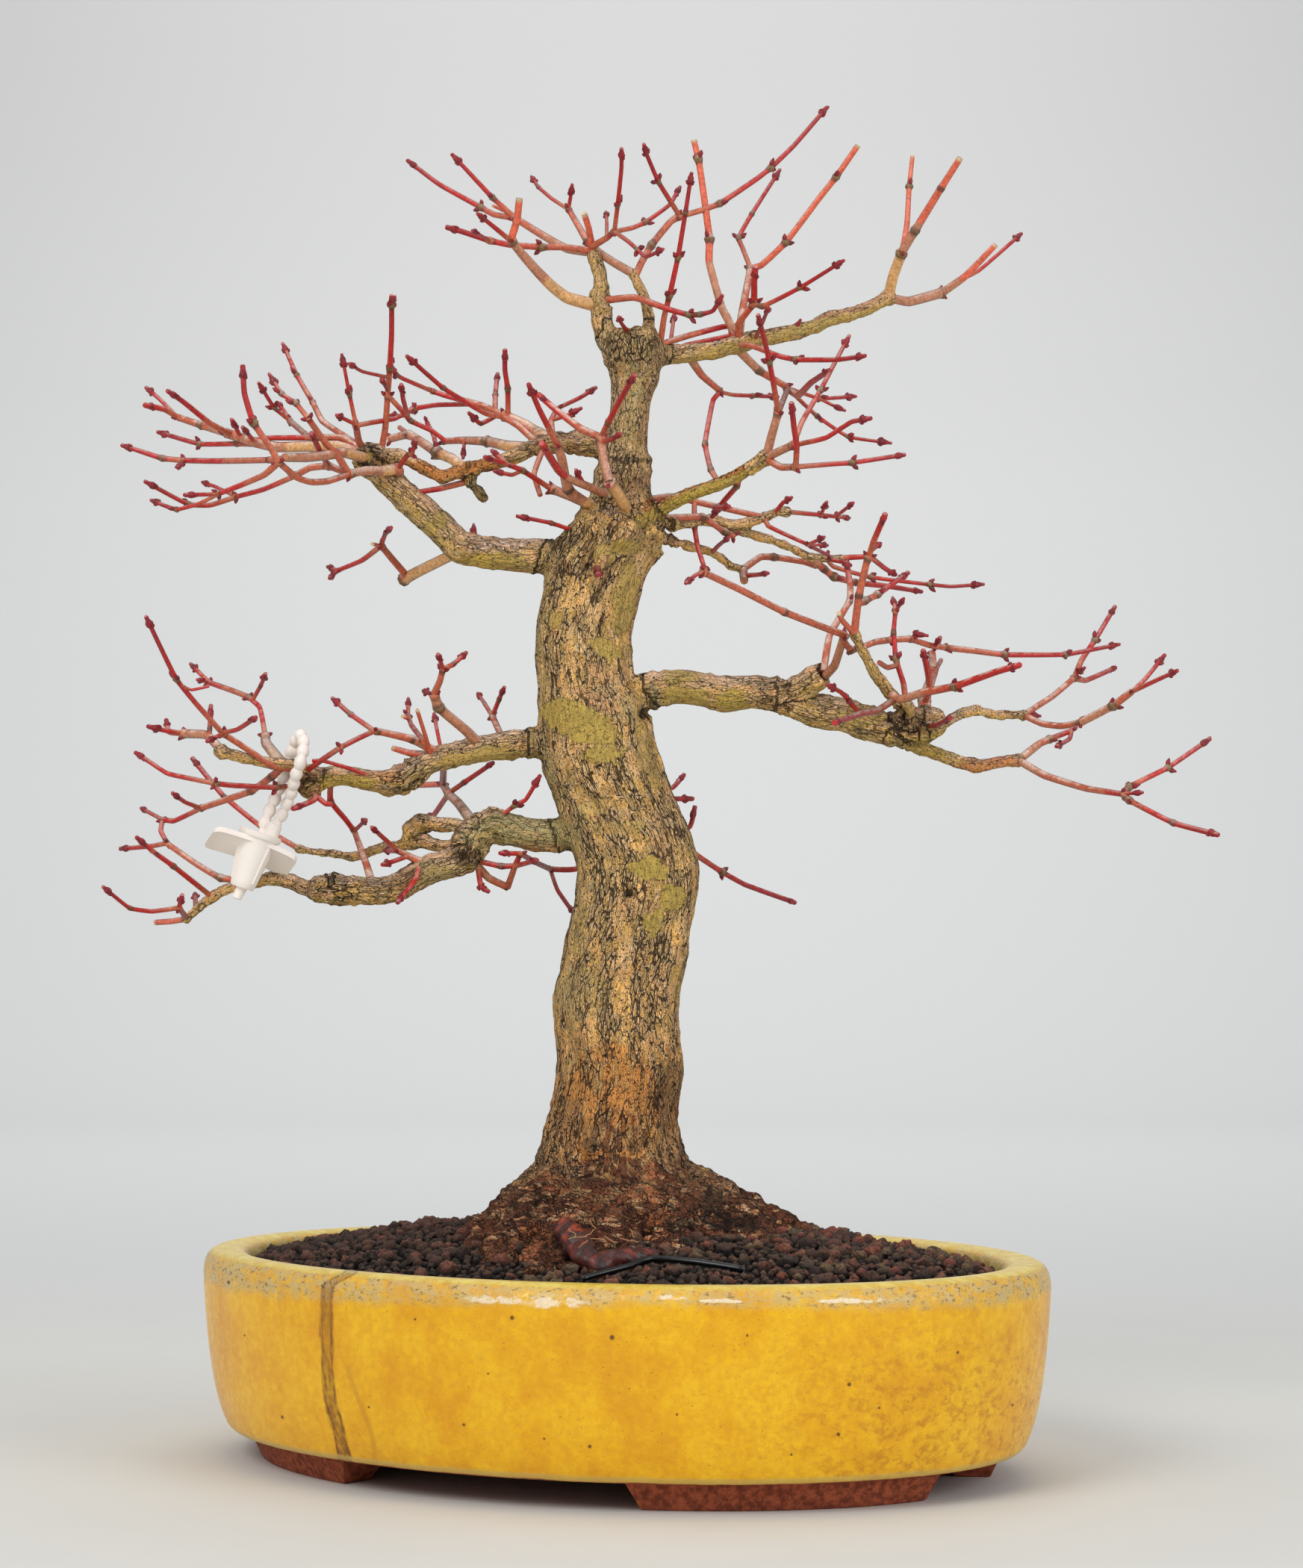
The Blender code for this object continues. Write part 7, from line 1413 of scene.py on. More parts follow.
def finerOutline(outline):
    # three steps between two stations of the outline, on a soft curve, except along the flat underside
    out = [outline[0], outline[1], outline[2]]
    for i in range(2, len(outline) - 1):
        four = (outline[i - 1], outline[i], outline[i + 1], outline[min(i + 2, len(outline) - 1)])
        for k in range(1, 4):
            out.append(tuple(softBetween(*ends, k / 3) for ends in zip(*four)))
    return out


def footAt(turn):
    # where a foot stands, as an angle round the pot before it is turned
    sizes = potSettings
    degrees = math.degrees(turn) % 180
    return sizes["endGap"] / 2 < degrees < 90 - sizes["sideGap"] / 2 or \
        90 + sizes["sideGap"] / 2 < degrees < 180 - sizes["endGap"] / 2


def footStretch(place):
    # 1 on the middle line of the foot ring
    across = place.x / (potSettings["halfLength"] - potSettings["footLine"])
    return math.hypot(across, place.y / (potSettings["halfWidth"] - potSettings["footLine"])) / mm


def addFeet(pot):
    # the faces of the foot ring between the gaps are drawn down, leaning in, and their edges rounded
    sizes = potSettings
    makeActive(pot)
    bpy.ops.object.mode_set(mode="EDIT")
    bpy.ops.mesh.select_all(action="DESELECT")
    bpy.ops.mesh.select_mode(type="FACE")
    bpy.ops.object.mode_set(mode="OBJECT")
    high = sizes["footHeight"] * mm
    for face in pot.data.polygons:
        centre = face.center
        turn = math.atan2(centre.y / sizes["halfWidth"], centre.x / sizes["halfLength"])
        stretch = footStretch(centre)
        onRing = abs(centre.z - high) < 1e-5 and 0.9 < stretch < 1.04 and len(face.vertices) == 4
        face.select = onRing and footAt(turn)
    bpy.ops.object.mode_set(mode="EDIT")
    bpy.ops.mesh.extrude_region_move(TRANSFORM_OT_translate={"value": (0, 0, -high)})
    bpy.ops.object.mode_set(mode="OBJECT")
    for vert in pot.data.vertices:
        if vert.co.z > 0.001:
            continue
        turn = math.atan2(vert.co.y / sizes["halfWidth"], vert.co.x / sizes["halfLength"])
        stretch = footStretch(vert.co)
        inset = sizes["footOuter"] if stretch > 1 else sizes["footInner"]
        degrees = math.degrees(turn)
        quarter = round((degrees - 45) / 90) * 90 + 45
        turn = math.radians(quarter + (degrees - quarter) * sizes["footSplay"])
        vert.co.x = (sizes["halfLength"] - inset) * math.cos(turn) * mm
        vert.co.y = (sizes["halfWidth"] - inset) * math.sin(turn) * mm
    bpy.ops.object.mode_set(mode="EDIT")
    bpy.ops.mesh.bevel(offset=0.0007, segments=2, affect="EDGES")
    bpy.ops.object.mode_set(mode="OBJECT")


# soil, in mm
soilSettings = {
    "edge": 68.5, "rise": 14.5, "inset": 17.6, "bedSides": 96, "bedRings": 28, "bedDepth": 1.6,
    "wall": ((27.4, 17.35), (20.95, 22.3), (18.0, 36), (17.6, 60)),     # inset and height down to the floor
    "grains": 3300, "tries": 90000, "spacing": 3.0, "sizes": (2.6, 6.4), "overlap": 0.56, "cell": 4,
    "fineBelow": 3.3, "middleBelow": 4.2, "roundAbove": 4.6,     # grain sizes
    "barkOver": 0.4,                      # bark this far over the soil keeps grains off
    "darkLeft": -45.0, "leftTint": 0.46,  # darker and browner on the left
}


def soilHeight(share):
    return soilSettings["edge"] + soilSettings["rise"] * (1 - share ** 2.2)


def makeSoilBed():
    # the dark bed under the grains, closed down to the floor of the pot; dark soil, and painted shade in the
    # gaps between the grains
    sides, rings = soilSettings["bedSides"], soilSettings["bedRings"]
    rows = []
    for inset, height in soilSettings["wall"]:
        rows.append([potPlace(math.tau * k / sides, inset, height) for k in range(sides)])
    middle = Vector((-viewSettings["middleX"], 0, 0)) * mm
    for step in range(rings):
        share = 1 - step / rings
        row = []
        for k in range(sides):
            edge = potPlace(math.tau * k / sides, soilSettings["inset"] + clearance, 0)
            place = middle + (edge - middle) * share
            bumps = noise.noise(place / mm * 0.3) * 0.8 if step else 0
            place.z = (soilHeight(share) - soilSettings["bedDepth"] + bumps) * mm
            row.append(place)
        rows.append(row)
    bed = meshPiece("soilBed", [vert for row in rows for vert in row], ringFaces(0, len(rows), sides))
    faceOutwards(bed)
    bed.data.shade_smooth()
    return bed


def grainShapes():
    # a few broken lava grains, each made from an icosphere by cutting planes into it
    shapes = []
    for kind in range(7):
        bpy.ops.mesh.primitive_ico_sphere_add(subdivisions=2 if kind < 3 else 1, radius=0.5)
        grain = bpy.context.object
        planes = [(Vector((dice.gauss(0, 1), dice.gauss(0, 1), dice.gauss(0, 1))).normalized(),
                   dice.uniform(0.27, 0.42)) for cut in range(9)]
        for vert in grain.data.vertices:
            for normal, limit in planes:
                beyond = vert.co.dot(normal) - limit
                if beyond > 0:
                    vert.co -= normal * beyond
            vert.co *= 1 + 0.34 * noise.noise(vert.co * 5 + Vector((kind * 3, 0, 0)))
        shapes.append(([vert.co.copy() for vert in grain.data.vertices],
                       [tuple(face.vertices) for face in grain.data.polygons]))
        bpy.data.objects.remove(grain, do_unlink=True)
    return shapes


def scatterGrit(bark):
    # grains laid at random but never too close, in three pieces by size
    tree = BVHTree.FromPolygons([vert.co for vert in bark.data.vertices],
                                [tuple(face.vertices) for face in bark.data.polygons])
    shapes = grainShapes()
    wirePath = [spot / mm for spot in softPoints([at(*reading) for reading in wireSettings["route"]], 6)]
    cells = {}
    placed = []
    for attempt in range(soilSettings["tries"]):
        if len(placed) == soilSettings["grains"]:
            break
        turn, share = dice.uniform(0, math.tau), math.sqrt(dice.random())
        low, high = soilSettings["sizes"]
        size = low + (high - low) * dice.random() ** 2.2
        edge = potPlace(turn, soilSettings["inset"] + 0.4 + size * 0.42, 0)
        middle = Vector((-viewSettings["middleX"], 0, 0)) * mm
        place = middle + (edge - middle) * share
        x, y = place.x / mm, place.y / mm
        key = (int(x // soilSettings["cell"]), int(y // soilSettings["cell"]))
        gap = soilSettings["spacing"] * 0.5 + size * 0.27
        near = []
        for i, j in ((i, j) for i in (-1, 0, 1) for j in (-1, 0, 1)):
            near.extend(cells.get((key[0] + i, key[1] + j), ()))
        if any(math.hypot(x - ox, y - oy) < (gap + og) * soilSettings["overlap"] for ox, oy, og in near):
            continue
        ground = soilHeight(share)
        # no grain where the roots stand over the soil, but grains lie under the high part of the flare
        free = ground + soilSettings["barkOver"]
        down = Vector((0, 0, -1))
        hit = tree.ray_cast(Vector((place.x, place.y, 0.13)), down)[0]
        if hit is not None and hit.z / mm > free:
            under = tree.ray_cast(Vector((place.x, place.y, (ground + 6) * mm)), down)[0]
            if hit.z < 0.115 or (under is not None and under.z / mm > free):
                continue
        cells.setdefault(key, []).append((x, y, gap))
        level = ground - 0.9 + size * 0.16 + dice.uniform(-0.5, 0.8)
        for spot in wirePath:     # nothing hides the wire
            if abs(x - spot.x) < size * 0.5 + 0.8 and -24 < y - spot.y < 2:
                level = min(level, spot.z - 0.9 - size * 0.5 + (spot.y - y) * 0.1)
        placed.append((x, y, level, size))
    groups = {"gritFine": [], "gritMiddle": [], "gritCoarse": []}
    for grain in placed:
        if grain[3] < soilSettings["fineBelow"]:
            groups["gritFine"].append(grain)
        else:
            groups["gritMiddle" if grain[3] < soilSettings["middleBelow"] else "gritCoarse"].append(grain)
    pieces = []
    for name, grains in groups.items():
        verts, faces, tints, rises = [], [], [], []
        for x, y, z, size in grains:
            kind = dice.randrange(3) if size > soilSettings["roundAbove"] else dice.randrange(3, 7)
            source, sourceFaces = shapes[kind]
            spin = Matrix.Rotation(dice.uniform(0, math.tau), 3, "Z") @ \
                Matrix.Rotation(dice.uniform(0, math.tau), 3, "X")
            stretch = Vector((dice.uniform(0.85, 1.25), dice.uniform(0.85, 1.2), dice.uniform(0.75, 1.05)))
            tint = dice.random()
            if x < soilSettings["darkLeft"]:
                tint *= soilSettings["leftTint"]
            base = len(verts)
            for co in source:
                local = spin @ Vector((co.x * stretch.x, co.y * stretch.y, co.z * stretch.z)) * size * 1.12
                verts.append((Vector((x, y, z)) + local) * mm)
                tints.append(tint)
                rises.append(local.z / size)
            faces.extend(tuple(base + k for k in face) for face in sourceFaces)
        piece = meshPiece(name, verts, faces)
        storeValues(piece.data, "tint", "FLOAT", tints)
        storeValues(piece.data, "rise", "FLOAT", rises)
        pieces.append(piece)
        print(name, len(grains), "grains", len(faces), "faces")
    return pieces
# tie wire, in mm: x, height and back of the stretch on the soil
wireSettings = {
    "diameter": 2.2, "foot": 5.0, "turn": 34.0, "legY": -58.0, "hook": (7, 0, -0.4),
    "route": ((-12, 63.6, -91), (-6, 65.3, -87), (4, 67.9, -81), (12, 70.5, -75), (24, 69.7, -76),
              (34, 68.4, -79), (44, 66.8, -82)),
}


def softPoints(points, steps):
    # a soft curve through the points
    out = []
    for i in range(len(points) - 1):
        a, b = points[max(i - 1, 0)], points[i]
        c, d = points[i + 1], points[min(i + 2, len(points) - 1)]
        for k in range(steps):
            out.append(softBetween(a, b, c, d, k / steps))
    out.append(points[-1])
    return out


def cordPiece(name, points, radii, resolution=3):
    # one round cord; points and radii in metres
    curve = roundCurve(name, 1.0, resolution)
    addSpline(curve, points, radii)
    return curvePiece(curve)


def makeTieWire():
    sizes = wireSettings
    over = [at(*reading) for reading in sizes["route"]]
    legs = []
    across, aside, down = sizes["hook"]
    for end, lean in ((over[0], 2.0), (over[-1], -2.0)):
        x = end.x + lean * mm
        legs.append([Vector((x, sizes["legY"] * mm, sizes[height] * mm)) for height in ("turn", "foot")])
    points = legs[0][::-1] + softPoints(over, 5) + legs[1]
    points.insert(0, points[0] + Vector((-across, aside, down)) * mm)
    points.append(points[-1] + Vector((across, aside, down)) * mm)
    return cordPiece("tieWire", points, [sizes["diameter"] / 2 * mm] * len(points))


# tag, in mm: strap route seen from the front, then the lock and the plate
tagSettings = {
    "strap": ((-123.2, 216, -15.6), (-121.2, 221.5, -15.2), (-118.4, 226.2, -15), (-115.5, 232.5, -16.2),
              (-113.4, 240.4, -22.4), (-111.6, 245.7, -24.4), (-110.8, 251.4, -21.6), (-112.0, 254.2, -17.4),
              (-113.6, 252.0, -14.0), (-115.6, 247, -12.6), (-118.4, 238.1, -12.2), (-120.5, 232.5, -12.4),
              (-122.9, 227.3, -13), (-124.6, 222, -14.2), (-124.8, 216.4, -15.2)),
    "core": 2.5, "bead": 4.5, "pitch": 4.4, "neck": 7.0, "neckWidth": 5.4,
    "lockTop": (-126.4, 217.8, -15.4), "lockEnd": (-132.2, 201.0, -15.4), "nozzleEnd": (-134.3, 196.4, -15.4),
    "collar": 7.6, "topRadius": 6.7, "endRadius": 4.3, "nozzle": 1.9,
    "ribs": 3, "ribRadii": (0.55, 0.45),
    "plate": {"length": 31.0, "width": 14.0, "thick": 1.0, "rim": 2.0, "middle": (-129.0, 213.8, -15.4),
              "corner": 2.6, "bend": 1.2, "cutStep": 2.8, "cuts": 5,
              "longWay": (0.90, 0.277, -0.34), "shortWay": (-0.414, 0.81, -0.436)},
}


def tubePiece(name, points, radii, sides):
    # rings of the given radii along a line, closed at both ends; points and radii in mm
    verts, faces = [], []
    tube(points, radii, sides, verts, faces)
    return meshPiece(name, verts, faces)


def makeTag():
    sizes = tagSettings
    strap = softPoints([at(*reading) for reading in sizes["strap"]], 16)
    run, strapRadii = 0.0, []
    for i, point in enumerate(strap):
        run += (point - strap[i - 1]).length / mm if i else 0.0
        beadShape = abs(math.sin(math.pi * run / sizes["pitch"])) ** 0.55
        bead = sizes["core"] + (sizes["bead"] - sizes["core"]) * beadShape
        strapRadii.append((sizes["neckWidth"] if run < sizes["neck"] else bead) / 2 * mm)
    strapPiece = cordPiece("strap", strap, strapRadii, 4)
    top, low, nozzle = at(*sizes["lockTop"]), at(*sizes["lockEnd"]), at(*sizes["nozzleEnd"])
    axis = (low - top).normalized()
    step = axis * 0.35 * mm
    collar, wide, narrow, spout = (sizes[part] for part in ("collar", "topRadius", "endRadius", "nozzle"))
    profile = [(top - axis * 2.3 * mm, collar - 0.5), (top - axis * 1.9 * mm, collar),
               (top - axis * 0.4 * mm, collar), (top, collar - 0.35), (top + step * 0.3, wide + 0.2),
               (top + step * 1.5, wide)]
    for k in range(1, 9):
        share = k / 8
        profile.append((top.lerp(low, share * 0.985) + step, wide + (narrow - wide) * share))
    profile += [(low + step * 1.6, narrow - 0.45), (low + step * 1.9, spout + 0.3), (low + step * 2.6, spout),
                (nozzle - axis * 0.4 * mm, spout * 0.9), (nozzle, spout * 0.6)]
    radii = [radius for place, radius in profile]
    lock = tubePiece("lock", [place / mm for place, radius in profile], radii, 40)
    ribs = []
    for k in range(sizes["ribs"]):
        # low bars moulded along the cone
        side = Matrix.Rotation(math.tau * k / sizes["ribs"] + 0.4, 3, axis) @ axis.orthogonal().normalized()
        start = top + axis * 1.2 * mm + side * (sizes["topRadius"] - 0.1) * mm
        end = top.lerp(low, 0.9) + side * (sizes["endRadius"] + 0.15) * mm
        ribs.append(cordPiece("rib%d" % k, [start, end], [radius * mm for radius in sizes["ribRadii"]]))
    tag = joinPieces("plantTag", [strapPiece, lock, *ribs, makePlate()])
    faceOutwards(tag)
    makeActive(tag)
    bpy.ops.object.shade_smooth_by_angle(angle=math.radians(42))
    print("tag", len(tag.data.polygons), "faces")
    return tag


def makePlate():
    # the writing plate: a thin slab with cut corners and a thicker near edge, bent a little about its middle
    sizes = tagSettings["plate"]
    middle = at(*sizes["middle"])
    longWay, shortWay = Vector(sizes["longWay"]).normalized(), Vector(sizes["shortWay"]).normalized()
    facing = longWay.cross(shortWay)
    bpy.ops.mesh.primitive_cube_add(size=1, location=(0, 0, 0))
    plate = bpy.context.object
    plate.scale = (sizes["length"] * mm, sizes["width"] * mm, sizes["thick"] * mm)
    bpy.ops.object.transform_apply(location=False, rotation=False, scale=True)
    bpy.ops.object.mode_set(mode="EDIT")
    bpy.ops.mesh.select_all(action="DESELECT")
    bpy.ops.mesh.select_mode(type="EDGE")
    bpy.ops.object.mode_set(mode="OBJECT")
    for edge in plate.data.edges:
        low, high = (plate.data.vertices[i].co.z for i in edge.vertices)
        edge.select = abs(low - high) > 0.5 * mm
    bpy.ops.object.mode_set(mode="EDIT")
    bpy.ops.mesh.bevel(offset=sizes["corner"] * mm, segments=3, affect="EDGES")
    for cut in range(-sizes["cuts"], sizes["cuts"] + 1):
        bpy.ops.mesh.select_all(action="SELECT")
        bpy.ops.mesh.bisect(plane_co=(cut * sizes["cutStep"] * mm, 0, 0), plane_no=(1, 0, 0))
    bpy.ops.mesh.select_all(action="SELECT")
    bpy.ops.mesh.bisect(plane_co=(0, (sizes["rim"] - sizes["width"] / 2) * mm, 0), plane_no=(0, 1, 0))
    bpy.ops.object.mode_set(mode="OBJECT")
    turn = Matrix((longWay, shortWay, facing)).transposed()
    for vert in plate.data.vertices:
        share = vert.co.x / (sizes["length"] * mm)
        rim = 2.0 if vert.co.y < (sizes["rim"] * 0.7 - sizes["width"] / 2) * mm else 1.0
        local = Vector((vert.co.x, vert.co.y, vert.co.z * rim - sizes["bend"] * mm * 4 * share * share))
        vert.co = middle + turn @ local
    plate.data.update()
    return plate
# shader groups shared by the materials
def buildWoodGrain():
    # broken grooves that run along the wood, the plates between them, the crumb noise on top, and a painted
    # highlight along the banks of each groove
    look, given, out = newGroup("woodGrain", {"Scale": 0.5, "Along": 0.3, "Wander": 1.0, "Groove": 0.15},
                                ("Crack", "RimHighlight", "Plate", "Crumb", "Height"))
    stretch = look.nodes.new("ShaderNodeCombineXYZ")
    for label, value in (("X", 1.0), ("Y", 1.0), ("Z", given["Along"])):
        look.feed(stretch.inputs[label], value)
    drawn = look.vector("MULTIPLY", given["Place"], stretch.outputs[0])
    drift = look.vector("SUBTRACT", look.noise(drawn, 0.45, 3, 0.6, "Color"), (0.5, 0.5, 0.5))
    drifted = look.vector("ADD", drawn, look.scaled(drift, given["Wander"]))
    wideEdge = look.cells(drifted, given["Scale"], "DISTANCE_TO_EDGE", "Distance")
    smallEdge = look.cells(drifted, look.times(given["Scale"], 2.6), "DISTANCE_TO_EDGE", "Distance")
    there = look.range(look.noise(drawn, 0.22, 3, 0.6), 0.40, 0.62, 0.12, 1.0)
    width = look.times(there, given["Groove"])
    crack = look.range(wideEdge, look.times(width, 0.4), width, 1.0, 0.0)
    hairline = look.range(smallEdge, 0.0, width, 1.0, 0.0)
    # painted highlight: a pale rim along both banks of a groove, just outside the crack
    highlightBanks = look.range(wideEdge, look.times(width, 1.8), look.times(width, 3.2), 1.0, 0.0)
    crumb = look.noise(drawn, 1.1, 6, 0.7)
    sunk = look.minus(look.minus(look.times(crumb, 0.7), crack), look.times(hairline, 0.35))
    plate = look.parted("Color", look.cells(drifted, given["Scale"], "F1", "Color"))[0]
    for label, value in (("Crack", crack), ("RimHighlight", look.minus(highlightBanks, crack)), ("Plate", plate),
                         ("Crumb", crumb), ("Height", sunk)):
        look.feed(out[label], value)
    return look.tree


def buildMottle():
    # a cloudy tone between two values, and small pits
    look, given, out = newGroup("mottle", {"Scale": 0.3, "Roughness": 0.6, "Dark": 0.8, "Light": 1.2,
                                           "Pits": 0.68}, ("Tone", "Pit", "Height"))
    cloud = look.noise(given["Place"], given["Scale"], 5, given["Roughness"])
    fine = look.noise(given["Place"], look.times(given["Scale"], 3.4), 3, 0.6)
    pit = look.range(fine, given["Pits"], look.plus(given["Pits"], 0.05))
    height = look.minus(look.plus(cloud, look.times(fine, 0.4)), look.times(pit, 0.5))
    for label, value in (("Tone", look.range(cloud, 0.32, 0.68, given["Dark"], given["Light"])), ("Pit", pit),
                         ("Height", height)):
        look.feed(out[label], value)
    return look.tree


def edgeShade(look, colour, most, shade):
    # painted shade: the colour darkens where the wood turns away from the camera
    turning = look.nodes.new("ShaderNodeLayerWeight")
    turning.inputs["Blend"].default_value = 0.5
    return look.mix(look.range(turning.outputs["Facing"], 0.5, 0.95, 0.0, most), colour, shade)


# bark and shoots take their colour from what paintBark and paintShoots store, broken up by the grain
barkLook = {
    "tones": {
        # the crumb tone is the bark's pale crumb and also painted highlight
        "rosy": srgb(236, 172, 120), "mossy": srgb(186, 158, 84), "crumb": srgb(255, 230, 192),
        "brightFibre": srgb(255, 192, 120), "darkFibre": srgb(52, 33, 24), "crack": srgb(70, 42, 16),
        # the last two tones are painted shade: in the carved hollows and where the wood turns away
        "pit": srgb(56, 34, 16), "hollowShade": srgb(72, 50, 22), "edge": srgb(66, 46, 24),
    },
    "flakeTones": ((0.36, srgb(206, 122, 78)), (0.48, srgb(250, 168, 112)), (0.6, srgb(255, 230, 182))),
    "footTones": ((0.82, srgb(26, 17, 15)), (1.15, srgb(150, 88, 58))),
    "grooves": {"Scale": 0.64, "Along": 0.25, "Wander": 1.6, "Groove": 0.10},
    "streaks": {"Scale": 1.5, "Along": 0.2, "Wander": 1.2, "Groove": 0.10},
    "flakes": {"Scale": 0.5, "Along": 1.0, "Wander": 1.3, "Groove": 0.24},
    "clouds": {"Scale": 0.13, "Roughness": 0.66, "Dark": 0.88, "Light": 1.42, "Pits": 0.64},
    "dots": {"Scale": 0.32, "Roughness": 0.5, "Dark": 0.8, "Light": 1.0, "Pits": 0.605},
    "specks": {"Scale": 0.55, "Roughness": 0.66, "Dark": 0.86, "Light": 1.12, "Pits": 0.64},
}


def barkMaterial(woodGrain, mottle):
    look = newLook("mapleBark")
    tones = barkLook["tones"]
    painted = look.attribute("paint", "Color")
    grain = look.attribute("grainPlace", "Vector")
    broken = look.attribute("brokenBark")
    hollowShade = look.attribute("hollowShade")
    low = look.attribute("lowBark")
    patchColour = look.attribute("patchPaint", "Color")
    patchStrength = look.attribute("patchPaint", "Alpha")
    reach = look.attribute("patchReach")
    calm = look.attribute("patchCalm")
    place = look.place()
    grooves = look.group(woodGrain, grain, barkLook["grooves"])
    streaks = look.group(woodGrain, grain, barkLook["streaks"])
    clouds = look.group(mottle, place, barkLook["clouds"])
    specks = look.group(mottle, place, barkLook["specks"])
    dots = look.group(mottle, place, barkLook["dots"])
    # the smooth patches end in a crisp, uneven line
    wobble = look.times(look.noise(place, 0.5, 4, 0.65), 4.6)
    sway = look.times(look.noise(place, 0.16, 2, 0.5), 5.0)
    deep = look.plus(reach, look.plus(wobble, look.minus(sway, 4.8)))
    ragged = look.range(grooves["Plate"], 0.12, 0.55, 0.25, 1.0)
    inside = look.times(look.range(deep, -0.25, 0.3), patchStrength, look.most(ragged, calm))
    smooth = look.times(inside, calm)
    broken = look.times(broken, look.minus(1.0, smooth))
    # plates, then pale crumb on the ridges, partly the bark's own and partly painted highlight, and painted
    # highlight along the groove banks
    plateTone = look.range(grooves["Plate"], 0.0, 1.0, 0.86, 1.16)
    colour = look.scaled(painted, clouds["Tone"], plateTone, specks["Tone"])
    rosy = look.range(grooves["Plate"], 0.66, 0.8, 0.0, 0.4)
    mossy = look.range(grooves["Plate"], 0.3, 0.18, 0.0, 0.36)
    colour = look.mix(rosy, colour, tones["rosy"])
    colour = look.mix(mossy, colour, tones["mossy"])
    # painted highlight, with some pale crumb of the bark: ridge tops and groove banks turn cream
    crumbsAndHighlights = look.range(grooves["Crumb"], 0.50, 0.66, 0.0, 0.66)
    crumbsAndHighlights = look.most(crumbsAndHighlights, look.times(grooves["RimHighlight"], 0.42))
    colour = look.mix(crumbsAndHighlights, colour, tones["crumb"])
    # dark and bright fibres on the lower trunk
    fibres = look.noise(look.vector("MULTIPLY", grain, (1.0, 1.0, 0.16)), 0.75, 4, 0.66)
    fibrous = look.attribute("fibrous")
    bright = look.times(look.range(fibres, 0.49, 0.39, 0.0, 0.75), fibrous)
    dark = look.times(look.range(fibres, 0.52, 0.60, 0.0, 0.85), fibrous)
    colour = look.mix(dark, look.mix(bright, colour, tones["brightFibre"]), tones["darkFibre"])
    # flakes of old bark on the dark foot
    flakes = look.group(woodGrain, look.place((0.3, 0.3, 1.0), (0.0, 0.25, 0.0)), barkLook["flakes"])
    flaky = look.minus(look.range(flakes["Plate"], 0.34, 0.44), flakes["Crack"])
    flaky = look.times(flaky, look.range(look.noise(place, 0.08, 3, 0.6), 0.43, 0.52, 0.1, 1.0))
    darkFoot = look.ramp(specks["Tone"], barkLook["footTones"])
    foot = look.mix(flaky, darkFoot, look.ramp(flakes["Crumb"], barkLook["flakeTones"]))
    colour = look.mix(low, colour, foot)
    # patches, cracks, pits, painted shade in the hollows, and painted shade where the wood turns away
    patchTone = look.times(specks["Tone"], look.range(streaks["Plate"], 0.0, 1.0, 0.84, 1.12))
    colour = look.mix(inside, colour, look.scaled(patchColour, patchTone))
    cracks = look.times(look.most(grooves["Crack"], look.times(streaks["Crack"], 0.7)), broken, 0.86)
    colour = look.mix(cracks, colour, tones["crack"])
    pits = look.times(look.most(specks["Pit"], dots["Pit"]), 0.8, look.minus(1.0, smooth))
    colour = look.mix(pits, colour, tones["pit"])
    # painted shade: the wood darkens where the bark was carved in
    colour = look.mix(look.times(hollowShade, 0.62), colour, tones["hollowShade"])
    colour = edgeShade(look, colour, 0.3, tones["edge"])
    relief = look.times(grooves["Height"], broken)
    relief = look.plus(relief, look.times(specks["Height"], 0.45))
    relief = look.plus(relief, look.times(flaky, low))
    relief = look.minus(relief, look.times(dots["Pit"], 0.5))
    return look.finished(colour, look.range(smooth, 0.0, 1.0, 0.82, 0.6), ((relief, 1.0, 1.5),), 0.3)


shootLook = {
    "skin": {"Scale": 0.8, "Roughness": 0.6, "Dark": 0.78, "Light": 1.2, "Pits": 0.66},
    "lines": {"Scale": 0.9, "Along": 1.0, "Wander": 2.5, "Groove": 0.12},
    # the edge tone is painted shade where a shoot turns away
    "mark": srgb(78, 40, 30), "edge": srgb(72, 26, 18),
}
budLook = {
    "scales": {"Scale": 0.7, "Along": 0.8, "Wander": 0.8, "Groove": 0.1},
    "tones": ((0.0, srgb(104, 38, 32)), (0.45, srgb(158, 30, 42)), (1.0, srgb(88, 20, 30))),
    "crack": srgb(60, 16, 20),
}


def shootMaterial(woodGrain, mottle):
    look = newLook("youngShoots")
    place = look.place()
    skin = look.group(mottle, place, shootLook["skin"])
    lines = look.group(woodGrain, place, shootLook["lines"])
    colour = look.scaled(look.attribute("paint", "Color"), skin["Tone"])
    marks = look.most(skin["Pit"], look.times(lines["Crack"], 0.6))
    colour = look.mix(look.times(marks, 0.6), colour, shootLook["mark"])
    colour = edgeShade(look, colour, 0.7, shootLook["edge"])
    return look.finished(colour, look.range(skin["Tone"], 0.8, 1.2, 0.5, 0.36), ((skin["Height"], 0.3, 0.5),))


def budMaterial(woodGrain):
    look = newLook("winterBuds")
    scales = look.group(woodGrain, look.place(), budLook["scales"])
    colour = look.ramp(look.attribute("ripeness"), budLook["tones"])
    colour = look.mix(look.times(scales["Crack"], 0.6), colour, budLook["crack"])
    return look.finished(colour, 0.36, ((scales["Height"], 0.25, 0.5),))


